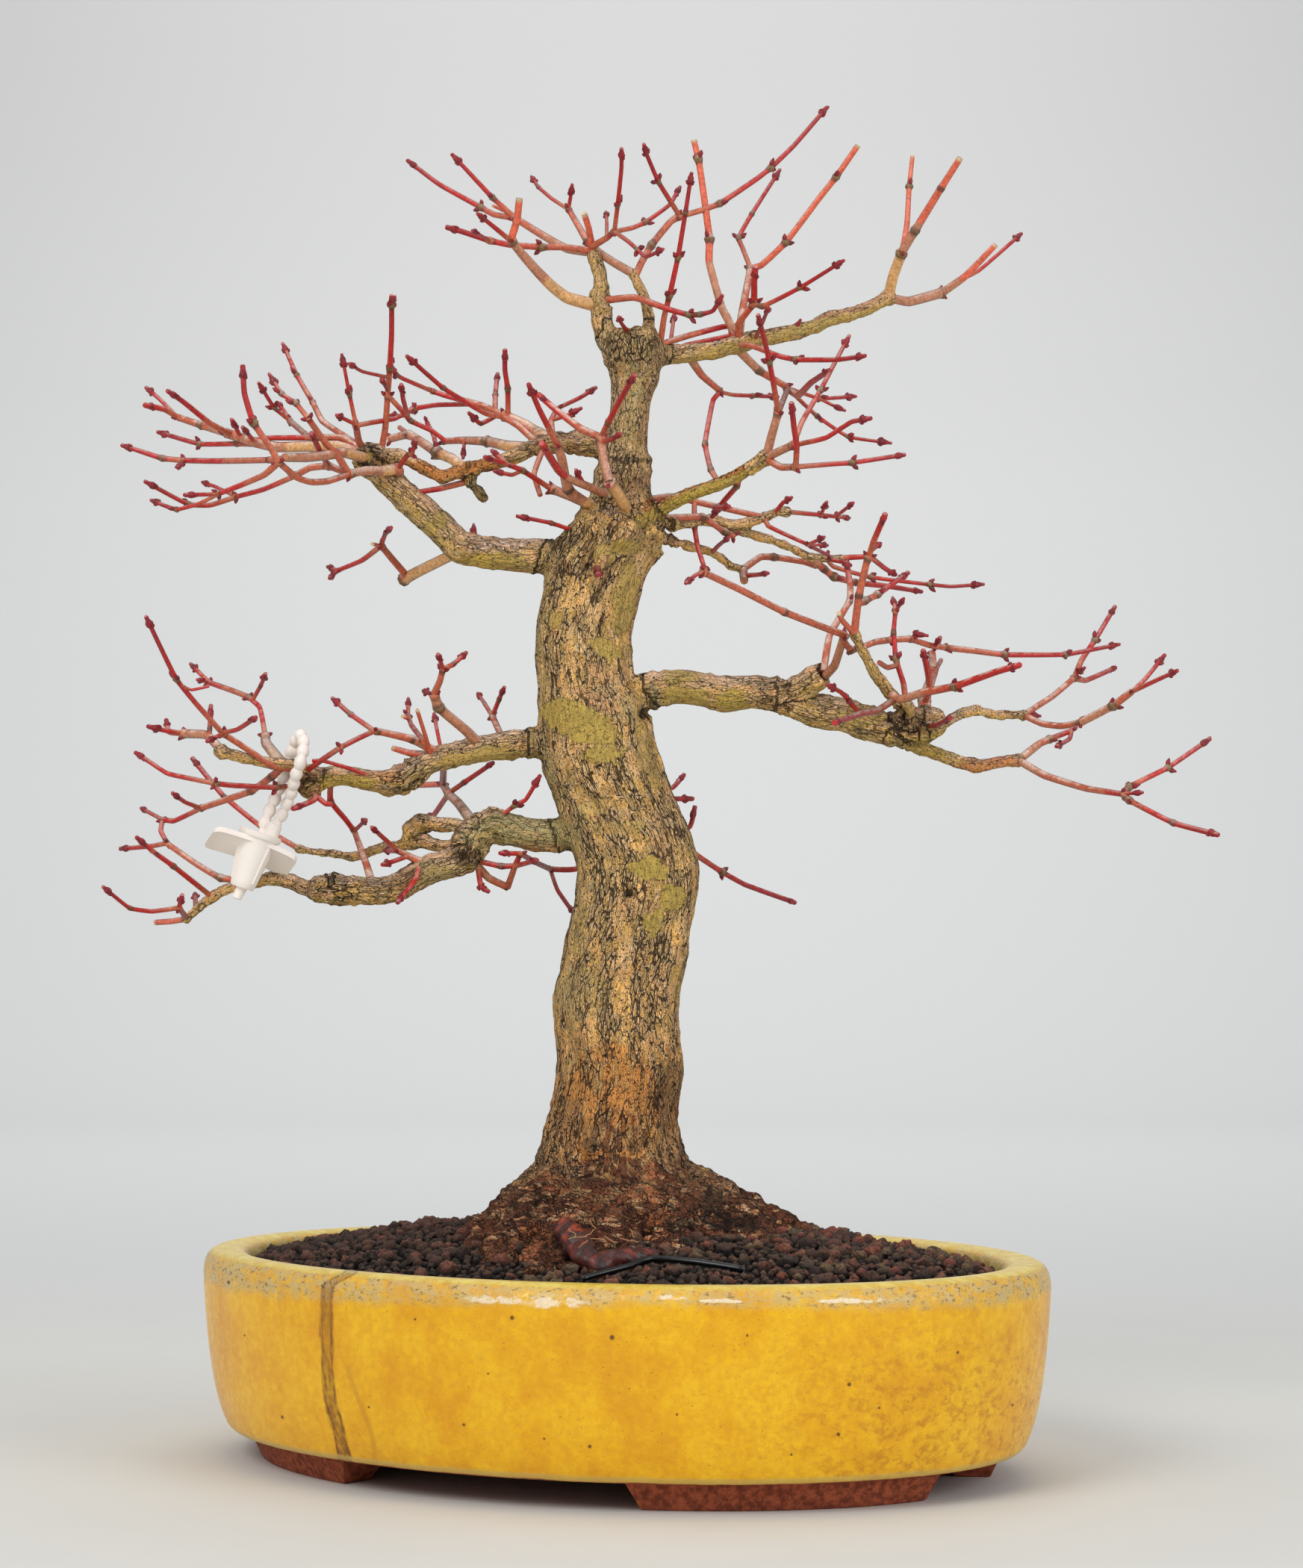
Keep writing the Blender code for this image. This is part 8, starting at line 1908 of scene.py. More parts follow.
# the glaze, in mm: where the crusty band runs, where the glaze ends, the run-off stripe and the kiln pits
glazeLook = {
    "clouds": {"Scale": 0.045, "Roughness": 0.72, "Dark": 0.0, "Light": 1.0, "Pits": 0.64},
    "grain": {"Scale": 0.4, "Roughness": 0.7, "Dark": 0.0, "Light": 1.0, "Pits": 0.65},
    "crust": {"Scale": 0.16, "Roughness": 0.74, "Dark": 0.0, "Light": 1.0, "Pits": 0.57},
    "gold": ((0.0, srgb(232, 166, 6)), (0.5, srgb(243, 184, 8)), (0.9, srgb(248, 194, 22))),
    "lipTones": ((0.2, srgb(218, 190, 72)), (0.8, srgb(244, 222, 104))),
    "innerTones": ((0.1, srgb(120, 104, 40)), (0.9, srgb(184, 162, 84))),
    "clayTones": ((0.1, srgb(112, 52, 32)), (0.9, srgb(170, 88, 56))),
    "tones": {
        "deepGold": srgb(210, 142, 12), "grainPit": srgb(112, 66, 14), "ochre": srgb(184, 116, 18),
        "band": srgb(200, 178, 124), "brownSpeck": srgb(122, 94, 56), "crust": srgb(252, 234, 204),
        "stripe": srgb(104, 46, 0), "faintStripe": srgb(176, 116, 24), "kilnPit": srgb(84, 46, 16),
        "hem": srgb(206, 190, 104),
    },
    "band": (65.0, 69.4), "bandTop": (71.2, 74.0), "lip": (71.4, 72.6),
    "hem": (10.7, 11.3), "hemTop": (12.4, 13.6), "clay": (10.8, 11.2), "innerInset": 14.0,
    "stripe": {"x": -106.4, "half": 2.3, "foot": 5.2, "head": 8.5},
    "crusts": ((-39.0, 67.6, 21.0, 2.0), (6.0, 69.4, 6.0, 1.0), (62.0, 68.6, 13.0, 0.9),
               (22.0, 69.0, 9.0, 0.7)),
    "faintStripe": {"x": -99.5, "half": 1.0, "foot": 9.0},
    "pinholes": ((-12.4, 57.0, 0.8), (-44.2, 62.2, 0.7), (-144.7, 64.9, 0.7), (-123.6, 22.3, 0.6),
                 (-19.5, 22.1, 0.6), (58.9, 26.1, 0.6), (62.3, 41.9, 0.65), (-92.0, 30.0, 0.4),
                 (72.0, 34.0, 0.4), (-138.0, 48.0, 0.4), (-60.0, 27.0, 0.5), (-34.0, 24.0, 0.4),
                 (-76.0, 60.0, 0.4), (30.0, 58.0, 0.4), (98.0, 50.0, 0.5), (8.0, 33.0, 0.4),
                 (118.0, 30.0, 0.5), (-52.0, 44.0, 0.35), (44.0, 20.0, 0.4)),
}


def glazeMaterial(mottle):
    # golden glaze, crusty and pale under the lip, with one dark run, over bare clay feet
    look = newLook("goldenGlaze")
    tones = glazeLook["tones"]
    place = look.place()
    x, y, height = look.parted("XYZ", place)
    clouds = look.group(mottle, place, glazeLook["clouds"])
    grain = look.group(mottle, place, glazeLook["grain"])
    crust = look.group(mottle, look.place((1, 1, 1.6)), glazeLook["crust"])
    wobble = look.noise(place, 0.05, 4, 0.6)
    colour = look.ramp(clouds["Tone"], glazeLook["gold"])
    colour = look.mix(look.times(grain["Tone"], 0.42), colour, tones["deepGold"])
    colour = look.mix(look.times(grain["Pit"], 0.6), colour, tones["grainPit"])
    # ochre mottling low on the right
    ochre = look.times(look.range(x, 10.0, 90.0), look.range(height, 64.0, 36.0, 0.25, 1.0),
                       look.range(crust["Tone"], 0.35, 0.85), look.range(grain["Tone"], 0.1, 0.7, 0.3, 1.0))
    colour = look.mix(look.times(ochre, 0.6), colour, tones["ochre"])
    # the band under the lip, wider on the left and to the right end
    sideways = look.plus(look.range(x, -20.0, -130.0, 0.0, 4.0), look.range(x, 20.0, 130.0, 0.0, 3.0))
    shifted = look.plus(look.minus(look.plus(height, look.times(wobble, 5.0)), 2.5), sideways)
    ends = look.range(look.math("ABSOLUTE", x), 30.0, 150.0, 0.8, 1.0)
    band = look.times(look.range(shifted, *glazeLook["band"]),
                      look.range(height, *glazeLook["bandTop"], 1.0, 0.0),
                      look.range(crust["Tone"], 0.15, 0.8, 0.25, 1.0), ends)
    colour = look.mix(look.times(band, 0.85), colour, tones["band"])
    colour = look.mix(look.times(crust["Pit"], band, 0.9), colour, tones["brownSpeck"])
    # pale crusts in the band, on the front
    crustLine = look.plus(height, look.minus(look.times(wobble, 3.0), 1.5))
    frontSide = look.range(y, -60.0, -80.0)
    for crustX, crustHeight, halfLong, halfHigh in glazeLook["crusts"]:
        across = look.over(look.minus(x, crustX), halfLong)
        up = look.over(look.minus(crustLine, crustHeight), halfHigh)
        spot = look.plus(look.square(across), look.square(up))
        spot = look.plus(spot, look.range(crust["Tone"], 0.1, 0.9, 0.9, 0.0))
        spot = look.times(look.range(spot, 1.15, 0.6, 0.0, 0.75), frontSide)
        colour = look.mix(spot, colour, tones["crust"])
    lip = look.times(look.range(height, *glazeLook["lip"]), 0.75)
    colour = look.mix(lip, colour, look.ramp(crust["Tone"], glazeLook["lipTones"]))
    # inside wall, dull and greenish
    turn = math.radians(potSettings["turn"])
    fromMiddle = look.plus(x, viewSettings["middleX"])
    lengthwise = look.plus(look.times(fromMiddle, math.cos(turn)), look.times(y, math.sin(turn)))
    sidewise = look.minus(look.times(y, math.cos(turn)), look.times(fromMiddle, math.sin(turn)))
    away = look.plus(look.square(look.over(lengthwise, potSettings["halfLength"] - glazeLook["innerInset"])),
                     look.square(look.over(sidewise, potSettings["halfWidth"] - glazeLook["innerInset"])))
    within = look.range(away, 1.0, 0.96)
    colour = look.mix(look.times(within, 0.85), colour, look.ramp(crust["Tone"], glazeLook["innerTones"]))
    # the run-off stripe and its faint neighbour, both on the left of the front
    front = look.range(y, -40.0, -50.0)
    strong = glazeLook["stripe"]
    foot = look.range(height, 38.0, 10.0, 0.0, strong["foot"])
    head = look.range(height, 68.0, 74.5, 0.0, strong["head"])
    middle = look.plus(look.plus(foot, head), look.times(look.noise(place, 0.09, 3, 0.5), 3.0))
    gap = look.math("ABSOLUTE", look.minus(x, look.plus(middle, strong["x"] - 1.5)))
    runs = look.noise(look.place((1.0, 1.0, 0.1)), 0.9, 3, 0.6)
    core = look.times(look.range(gap, strong["half"] * 0.2, strong["half"] * 0.9, 0.7, 1.0),
                      look.range(runs, 0.38, 0.58, 0.55, 1.0), look.range(height, 66.0, 20.0, 0.85, 1.15))
    stripe = look.times(look.range(gap, strong["half"] * 0.75, strong["half"] * 1.25, 1.0, 0.0), core, front,
                        look.range(grain["Tone"], 0.0, 0.8, 0.8, 1.0), 0.92)
    colour = look.mix(stripe, colour, tones["stripe"])
    faint = glazeLook["faintStripe"]
    faintMiddle = look.range(height, 46.0, 16.0, faint["x"], faint["x"] + faint["foot"])
    faintGap = look.math("ABSOLUTE", look.minus(x, faintMiddle))
    faintMask = look.times(look.range(faintGap, faint["half"] * 0.4, faint["half"] * 1.4, 1.0, 0.0),
                           look.range(height, 48.0, 38.0), front, 0.35)
    colour = look.mix(faintMask, colour, tones["faintStripe"])
    # kiln pits
    pinned = None
    facing = look.place((1.0, 0.0, 1.0))
    for px, pz, size in glazeLook["pinholes"]:
        apart = look.vector("DISTANCE", facing, (px, 0.0, pz))
        pit = look.range(apart, size * 0.5, size * 1.4, 1.0, 0.0)
        pinned = look.most(pinned, pit) if pinned else pit
    colour = look.mix(look.times(pinned, 0.9), colour, tones["kilnPit"])
    # bare clay below a pale hem
    edge = look.plus(height, look.times(wobble, 1.6))
    clay = look.range(edge, *glazeLook["clay"], 1.0, 0.0)
    hem = look.times(look.range(edge, *glazeLook["hem"]), look.range(edge, *glazeLook["hemTop"], 1.0, 0.0))
    colour = look.mix(look.times(hem, 0.55), colour, tones["hem"])
    colour = look.mix(clay, colour, look.ramp(grain["Tone"], glazeLook["clayTones"]))
    gloss = look.plus(look.range(grain["Tone"], 0.0, 1.0, 0.24, 0.38), look.times(clay, 0.5))
    gloss = look.plus(gloss, look.times(within, 0.25))
    crusty = look.times(crust["Height"], look.plus(band, 0.12))
    relief = look.minus(grain["Height"], pinned)
    bumps = ((clouds["Height"], 1.0, 0.2), (crusty, 0.5, 0.5), (relief, 0.2, 0.3))
    return look.finished(colour, gloss, bumps, 0.42)


gritLook = {
    "pores": {"Scale": 1.0, "Roughness": 0.72, "Dark": 0.42, "Light": 1.35, "Pits": 0.58},
    # rise maps a grain's height to painted shade at its foot and a painted highlight on its top
    "rise": (-0.12, 0.45, 0.2, 1.6), "pore": srgb(30, 20, 18),
    "gritFine": ((0.0, srgb(48, 38, 32)), (0.4, srgb(80, 60, 48)), (0.75, srgb(104, 68, 52)),
                 (1.0, srgb(96, 80, 62))),
    "gritMiddle": ((0.0, srgb(54, 40, 33)), (0.35, srgb(90, 65, 51)), (0.65, srgb(116, 68, 52)),
                   (0.82, srgb(98, 78, 56)), (1.0, srgb(60, 50, 42))),
    "gritCoarse": ((0.0, srgb(58, 42, 35)), (0.3, srgb(96, 66, 52)), (0.55, srgb(132, 72, 56)),
                   (0.75, srgb(112, 88, 62)), (1.0, srgb(70, 58, 48))),
}


def gritMaterial(name, stops, mottle):
    look = newLook(name)
    pores = look.group(mottle, look.place(), gritLook["pores"])
    # painted shade at the foot of each grain and a painted highlight on its top
    rise = look.range(look.attribute("rise"), *gritLook["rise"])
    colour = look.scaled(look.ramp(look.attribute("tint"), stops), pores["Tone"], rise)
    colour = look.mix(look.times(pores["Pit"], 0.7), colour, gritLook["pore"])
    return look.finished(colour, 0.9, ((pores["Height"], 1.0, 1.0),))


# one colour, clouded a little, with a fine bump, its depth in mm
plainLooks = {
    "paleRootlets": {"colour": (170, 124, 80), "rough": 0.6, "clouds": {"Scale": 0.5}, "depth": 0.1},
    # the soil bed is nearly black: dark soil, and painted shade in the gaps between the grains
    "soilBedAndGapShade": {"colour": (30, 21, 18), "rough": 0.95, "clouds": {"Scale": 0.9, "Dark": 0.6}, "depth": 0.8},
    "blackWire": {"colour": (14, 14, 15), "rough": 0.28, "clouds": {"Scale": 0.5}, "depth": 0.1},
    "whitePlastic": {"colour": (252, 243, 234), "rough": 0.42,
                     "clouds": {"Scale": 0.06, "Dark": 0.94, "Light": 1.0}, "depth": 0.2},
    "mesh": {"colour": (34, 34, 34), "rough": 0.6, "clouds": {"Scale": 0.8}, "depth": 0.2},
}


def plainMaterial(name, values, mottle):
    look = newLook(name)
    clouds = look.group(mottle, look.place(), values["clouds"])
    colour = look.scaled(srgb(*values["colour"])[:3], clouds["Tone"])
    return look.finished(colour, values["rough"], ((clouds["Height"], values["depth"], 0.5),))


# colours of the wood, as seen on the plant
woodColours = {
    "tan": (255, 198, 112), "pale": (255, 214, 162), "olive": (194, 164, 80), "greyOlive": (208, 178, 114),
    "brown": (150, 102, 64), "dark": (62, 44, 32), "rust": (186, 96, 48), "warm": (252, 166, 84),
    "amber": (226, 140, 66), "black": (30, 23, 19), "moss": (70, 68, 32), "orange": (204, 80, 36),
    "red": (198, 40, 36), "crimson": (150, 24, 38), "pinkTan": (198, 146, 112), "collar": (134, 106, 64),
    "palePink": (238, 208, 192), "grey": (164, 146, 112), "yellowOlive": (196, 168, 64),
    "peach": (240, 184, 128), "orangeFlake": (224, 138, 88), "maroon": (104, 44, 38),
    "sage": (186, 174, 116), "cutWood": (222, 190, 144),
}

# patches on the bark seen from the front: x, height, half width, half height, tilt, colour and strength
barkPatches = (
    (-2, 124, 17, 22, 0, "warm", 0.75), (18, 130, 5, 14, 0, "brown", 0.6), (-16, 118, 5, 9, 0, "brown", 0.6),
    (-2, 115, 7, 8, 0, "maroon", 0.75), (-1, 101, 11, 6, 0, "maroon", 0.8), (-9, 112, 4, 5, 0, "dark", 0.7),
    (4, 119, 6, 5, 0, "amber", 0.6), (-23, 98.2, 5.5, 2.4, 0, "orangeFlake", 0.9),
    (12, 101, 2.8, 4.4, 0, "orangeFlake", 0.85), (4.6, 94, 3.2, 2.2, 0, "orangeFlake", 0.8),
    (11, 92.5, 3.8, 3, 0, "orangeFlake", 0.8), (14.4, 84.4, 5.4, 3.2, 0, "orangeFlake", 0.85),
    (-19.8, 82.7, 6, 2.4, 8, "orangeFlake", 0.85), (-30, 77.5, 7, 4, 30, "orangeFlake", 0.8),
    (-33, 68.5, 5, 3, 20, "orangeFlake", 0.8), (-29.6, 89, 9, 4.4, 30, "dark", 0.6),
    # painted shade: the dark patch at x 34 and the black one at x 40 fill the gap between the trunk and its
    # right root
    (34, 89, 3.6, 8, 8, "dark", 0.85), (40, 83.4, 11, 3.6, -10, "black", 0.85),
    (21, 82.3, 6, 3, 0, "black", 0.8), (-7, 90, 10, 3.4, 10, "orangeFlake", 0.35),
    (26, 97, 5, 6, 30, "brown", 0.4), (6, 112, 5, 5, 0, "brown", 0.7), (-21, 95, 7, 2, 0, "rust", 0.8),
    (-14, 259, 14.5, 6.6, -24, "olive", 1.0), (-5, 247.5, 7.5, 3.6, 0, "olive", 0.95),
    (-5, 285, 6.5, 3.2, -25, "olive", 0.9), (-22, 295, 3.6, 2.4, 0, "olive", 0.8),
    (2.5, 303, 4.6, 13, -10, "olive", 0.8), (-5, 318, 3.6, 4.4, 0, "olive", 0.85),
    (11, 208, 9, 5.0, -10, "olive", 1.0), (19.5, 197, 4.4, 5.0, 0, "olive", 1.0),
    (12.5, 188, 3.8, 5.4, -10, "olive", 0.95), (-7, 266.5, 11, 2.7, -26, "peach", 0.95),
    (-8, 277, 10, 3.0, -20, "peach", 0.7), (-12, 163, 10, 9, 0, "sage", 0.45),
    (1, 221.5, 9, 2.6, 0, "olive", 0.55), (-8, 229, 5, 3.4, 0, "olive", 0.6),
    (16, 217, 4, 10, 14, "peach", 0.6), (9, 250, 3.0, 9, 4, "olive", 0.6),
    (13, 240, 2.4, 6, 12, "olive", 0.6), (-13, 182, 3, 9, 0, "olive", 0.5), (22, 166, 4, 6, 0, "olive", 0.5),
    (-24, 240, 2.5, 6, -10, "sage", 0.6), (-14, 222, 3, 10, -14, "sage", 0.6),
    (4, 263, 7, 6, 0, "sage", 0.35), (9.5, 262, 2.6, 2.8, 0, "black", 0.95),
    (4, 198, 3.4, 1.6, 0, "black", 0.85), (4, 191, 1.4, 4, 0, "brown", 0.6),
    (6.5, 194, 7.5, 3.6, 0, "peach", 0.75), (8, 181, 1.8, 1.4, 0, "dark", 0.7),
    (-2, 234, 2.6, 2.0, 0, "brown", 0.5), (2, 212, 9, 3, 0, "greyOlive", 0.4),
    (-20, 324, 6, 4.5, 0, "moss", 0.55), (-10.5, 317, 2.0, 7, -14, "dark", 0.6),
    (-6, 312, 2.2, 8, -14, "peach", 0.7), (-19, 313, 5, 3, 10, "brown", 0.6),
    (2.5, 327.5, 4.6, 4.0, 0, "peach", 0.7), (2.5, 321, 6, 3, 0, "olive", 0.9),
    (15, 316, 2.2, 1.8, 0, "black", 0.7), (12, 322, 4, 5, 0, "greyOlive", 0.6),
    (-2, 333.5, 4, 2, 0, "palePink", 0.7), (3, 343, 9, 3, 0, "brown", 0.5), (4, 352, 9, 0.9, 0, "dark", 0.8),
    (6, 378, 3, 12, 0, "sage", 0.5), (5, 392, 10, 6, 0, "greyOlive", 0.5), (2, 365, 4, 6, 0, "sage", 0.4),
    # right limb
    (24, 267, 12, 4.5, 0, "olive", 0.85), (40, 266, 6, 4, 0, "yellowOlive", 0.8),
    (22, 275, 8, 2.4, 0, "yellowOlive", 0.7), (57, 268, 8, 5, 0, "peach", 0.6),
    (73.5, 277, 3, 3.4, 0, "black", 0.95), (86, 261, 8, 4, 0, "yellowOlive", 0.6),
    (104, 259, 9, 6, 0, "brown", 0.5), (13.8, 266, 2.4, 6, 0, "sage", 0.7), (50, 272, 5, 3, 0, "brown", 0.4),
    (15.4, 270, 1.1, 8, 0, "peach", 0.8), (33, 270, 1.1, 8, 0, "peach", 0.7),
    # upper left limb and its scar
    (-45, 315.5, 18, 3, 0, "yellowOlive", 0.7), (-66, 328, 9, 3, 45, "yellowOlive", 0.6),
    (-88, 353, 6, 5, 0, "dark", 0.85), (-88, 353.5, 2, 2, 0, "olive", 0.9),
    (-40, 322, 16, 1.8, 8, "palePink", 0.5), (-30, 319, 3, 5, 0, "peach", 0.4),
    (-52, 320, 5, 3, 10, "brown", 0.4),
    # lower left limb one
    (-45, 246, 18, 3.4, 0, "olive", 0.8), (-74, 238, 8, 3, 30, "greyOlive", 0.5),
    (-84, 239, 12, 3, 0, "warm", 0.5), (-96, 237.6, 12, 3, 0, "yellowOlive", 0.8),
    (-109, 236.5, 4.4, 4.4, 0, "brown", 0.7), (-109, 236.6, 1.5, 1.5, 0, "yellowOlive", 0.95),
    (-32, 252, 3, 5, 0, "brown", 0.4),
    # lower left limb two
    (-34, 219, 20, 8, 0, "sage", 0.85), (-53, 211, 5, 4, 0, "dark", 0.7), (-66, 206, 8, 4, 0, "sage", 0.6),
    (-30, 213, 12, 3, 8, "peach", 0.5), (-88, 199, 12, 4, 0, "tan", 0.6), (-84, 201, 7, 3, 0, "dark", 0.5),
    (-99, 203, 5, 2, 0, "dark", 0.6), (-110, 200, 10, 4, 0, "pinkTan", 0.6),
    (-74, 203, 4, 4, 0, "brown", 0.5),
    # orange branches
    (28, 344, 22, 4, 24, "amber", 0.9), (26, 338, 22, 3.4, 24, "yellowOlive", 0.85),
    (-58, 349, 22, 5, 0, "amber", 0.85), (-50, 342, 4, 5, 0, "grey", 0.8),
    (-22, 357, 10, 5, 0, "pinkTan", 0.5), (72, 404, 32, 3.2, 15, "pinkTan", 0.8),
    (60, 397, 36, 2.6, 15, "olive", 0.7), (34, 388, 18, 2.6, 12, "olive", 0.6),
    (-7, 418, 6, 12, 0, "greyOlive", 0.5), (8, 410, 5, 14, 0, "greyOlive", 0.4),
    (112, 250, 12, 4, -10, "yellowOlive", 0.6), (132, 244, 14, 4, 0, "orange", 0.5),
)
# how smooth the bark is under each colour; the others are broken bark
calmColours = {"olive": 0.95, "yellowOlive": 0.8, "sage": 0.5, "peach": 0.45, "orange": 0.5, "palePink": 0.4}


def linear(name):
    return np.array(srgb(*woodColours[name])[:3])


def toward(colours, name, mask):
    colours += (linear(name) - colours) * np.asarray(mask)[:, None]


def paintBark(bark, grain, onTrunk, relief):
    # colours by height on the trunk and by side on the limbs, then the patches with how deep inside one is
    mesh = bark.data
    places, normals, x, z = surfaceOf(mesh)
    count = len(x)
    wave = noiseOf(places, 9.0, 4)
    fine = noiseOf(places, 2.4, 1, 3.0)
    colours = np.tile(linear("tan"), (count, 1))
    toward(colours, "pale", fade(wave, 0.05, 0.5) * 0.5)
    toward(colours, "greyOlive", fade(-wave, 0.1, 0.55) * np.where(z > 150, 0.35, 0.15))
    middle, half = trunkMiddle(z)
    side = (x - middle) / half
    upper = onTrunk & (z > woodSettings["upperTrunk"])
    trunk = onTrunk.astype(float)
    limb = 1 - trunk
    toward(colours, "greyOlive", upper * 0.55)
    toward(colours, "brown", upper * 0.42)
    toward(colours, "sage", trunk * fade(-side - 0.15 * wave, 0.55, 0.95) * fade(z, 140, 190) * 0.4)
    toward(colours, "warm", trunk * fade(196 - z, 0, 30) * fade(z, 138, 160) * 0.15)
    toward(colours, "warm", trunk * fade(162 - z + wave * 20, 0, 40) * 0.6)
    # brown on the flanks of the low trunk: the bark's own brown, and painted shade where the round trunk
    # turns away
    shadedFlanks = fade(np.abs(side + 0.1) + wave * 0.3, 0.25, 0.9)
    toward(colours, "brown", trunk * fade(142 - z + wave * 22, 0, 34) * shadedFlanks * 0.6)
    toward(colours, "maroon", trunk * fade(112 - z + wave * 16, 0, 12) * 0.5)
    low = fade(101 - z + wave * 17 + fine * 5 - np.abs(x) * 0.04, -4, 11) * trunk
    # on the limbs: pinker where they face up, yellow-olive underneath, and pale pink on the tops as a painted
    # sheen of the light from above
    toward(colours, "pinkTan", fade(normals[:, 2], -0.4, 0.3) * limb * 0.45)
    toward(colours, "yellowOlive", fade(-normals[:, 2], -0.15, 0.6) * limb * 0.45)
    toward(colours, "palePink", fade(normals[:, 2], 0.1, 0.8) * limb * 0.5)
    best = np.full(count, -9.0)
    patchColours = colours.copy()
    strength = np.zeros(count)
    calm = np.zeros(count)
    # a narrow patch lies over a wide one; a dark one keeps to the front
    widestFirst = sorted(barkPatches, key=lambda spot: -min(spot[2:4]))
    for px, pz, halfWide, halfHigh, tilt, name, amount in widestFirst:
        reach = (1 - spotOf(x, z, (px, pz, halfWide, halfHigh), tilt)) * min(halfWide, halfHigh)
        seen = fade(0.55 - normals[:, 1], 0, 0.4) if name in ("black", "dark", "grey") else 1.0
        reach = reach - (1 - seen) * 6
        deeper = (reach > best) | (reach > 0.3)
        best = np.where(deeper, reach, best)
        patchColours[deeper] = linear(name)
        strength[deeper] = amount
        calm[deeper] = calmColours.get(name, 0.0)
    rough = np.where(onTrunk, np.where(z > woodSettings["upperTrunk"], 0.7, 1.0), 0.6)
    for gx, gz, reach, amount in gnarls:
        knotted = fade(1.0 - spotOf(x, z, (gx, gz, reach, reach)), 0.0, 0.5)
        rough = np.maximum(rough, knotted * min(1.0, amount))
    storePaint(mesh, "paint", colours)
    storePaint(mesh, "patchPaint", patchColours, strength)
    for name, values in (("patchReach", best), ("patchCalm", calm), ("brokenBark", rough), ("lowBark", low),
                         ("fibrous", fade(150 - z + wave * 14, 0, 34) * trunk),
                         # painted shade in the carved-in hollows of the bark
                         ("hollowShade", fade(-relief, 0.5, 1.9))):
        storeValues(mesh, name, "FLOAT", values)
    storeValues(mesh, "grainPlace", "FLOAT_VECTOR", grain)


def shootTone(entry, share, width):
    # colour along a shoot: last year's growth is red, older wood orange, then pinkish tan
    ending = entry[4]
    if width <= 2.0 and ending in ("bud", "node", "sunk"):
        young = fade(share, 0.0, 0.4)
        tone = (linear("orange") * 0.6 + linear("pinkTan") * 0.4) * (1 - young) + linear("red") * young
        if ending == "bud":
            tone = tone + (linear("crimson") - tone) * fade(share, 0.45, 1.0) * 0.75
    elif width <= 2.7:
        redder = 0.5 if ending == "cut" else 0.15
        tone = linear("orange") * 0.55 + linear("pinkTan") * 0.3 + linear("red") * redder
        if ending == "bud":
            tone = tone + (linear("red") - tone) * fade(share, 0.2, 0.7)
    elif width <= 3.6:
        tone = linear("orange") * 0.25 + linear("pinkTan") * 0.75
    else:
        tone = linear("pinkTan") * 0.5 + linear("tan") * 0.5
    return tone


def paintShoots(piece, routes):
    # each vertex takes the colour of the nearest point of a route; dark rings at the nodes, tan collars, and
    # a painted sheen of light on the tops
    tree = KDTree(sum(len(route) for entry, reading, route in routes))
    tones = []
    sheenShare = []
    for entry, reading, route in routes:
        lengths = [0.0]
        for here, there in zip(route, route[1:]):
            lengths.append(lengths[-1] + (there[0] - here[0]).length)
        for (place, radius, swell), distance in zip(route, lengths):
            tree.insert(place * mm, len(tones))
            tone = shootTone(entry, distance / lengths[-1], radius * 2)
            tone = tone + (linear("dark") - tone) * fade(swell, 1.03, 1.10) * 0.8
            tone = tone + (linear("collar") - tone) * fade(swell, 1.22, 1.32) * 0.9
            if entry[4] == "cut" and lengths[-1] - distance < 0.7:
                tone = linear("cutWood")
            tones.append(tone)
            # how strong the painted sheen is: weaker on the thinnest shoots and on the highest ones
            sheenShare.append((0.3 if radius < 1.05 else 0.75) * (0.5 if reading[0][1] > 396 else 1.0))
    tree.balance()
    tones = np.array(tones)
    places, normals, x, z = surfaceOf(piece.data)
    nearest = [tree.find(Vector(place) * mm)[1] for place in places]
    colours = tones[nearest]
    # painted sheen: pale pink on the upper side of the shoots, where the light from above falls
    sheen = fade(normals[:, 2], 0.1, 0.5) * fade(noiseOf(places, 3.5, 2), -0.4, 0.1)
    toward(colours, "palePink", sheen * np.array(sheenShare)[nearest])
    storePaint(piece.data, "paint", colours)


# the swollen red root in front, its route as x, height and back, and the pale rootlets beside it, in mm
frontRoot = {
    "name": "frontRoot", "sides": 20, "step": 0.8, "lumpSize": 3.2, "lumps": 1.5,
    "radii": (3.0, 4.8, 5.2, 5.2, 4.8, 4.2, 3.7, 2.8),
    "route": ((-20, 82, -54), (-17, 79, -63), (-14, 75, -71), (-11, 71, -76.5), (-7, 68.8, -78.5),
              (-1, 69.2, -77.5), (5, 70.4, -74), (12, 71, -67)),
}
rootlets = {
    "name": "rootlets", "back": -82, "radius": 0.17, "count": 9, "points": 10, "from": (-6, 79),
    "spread": 12.0, "length": 8.0, "bend": 0.6,
}


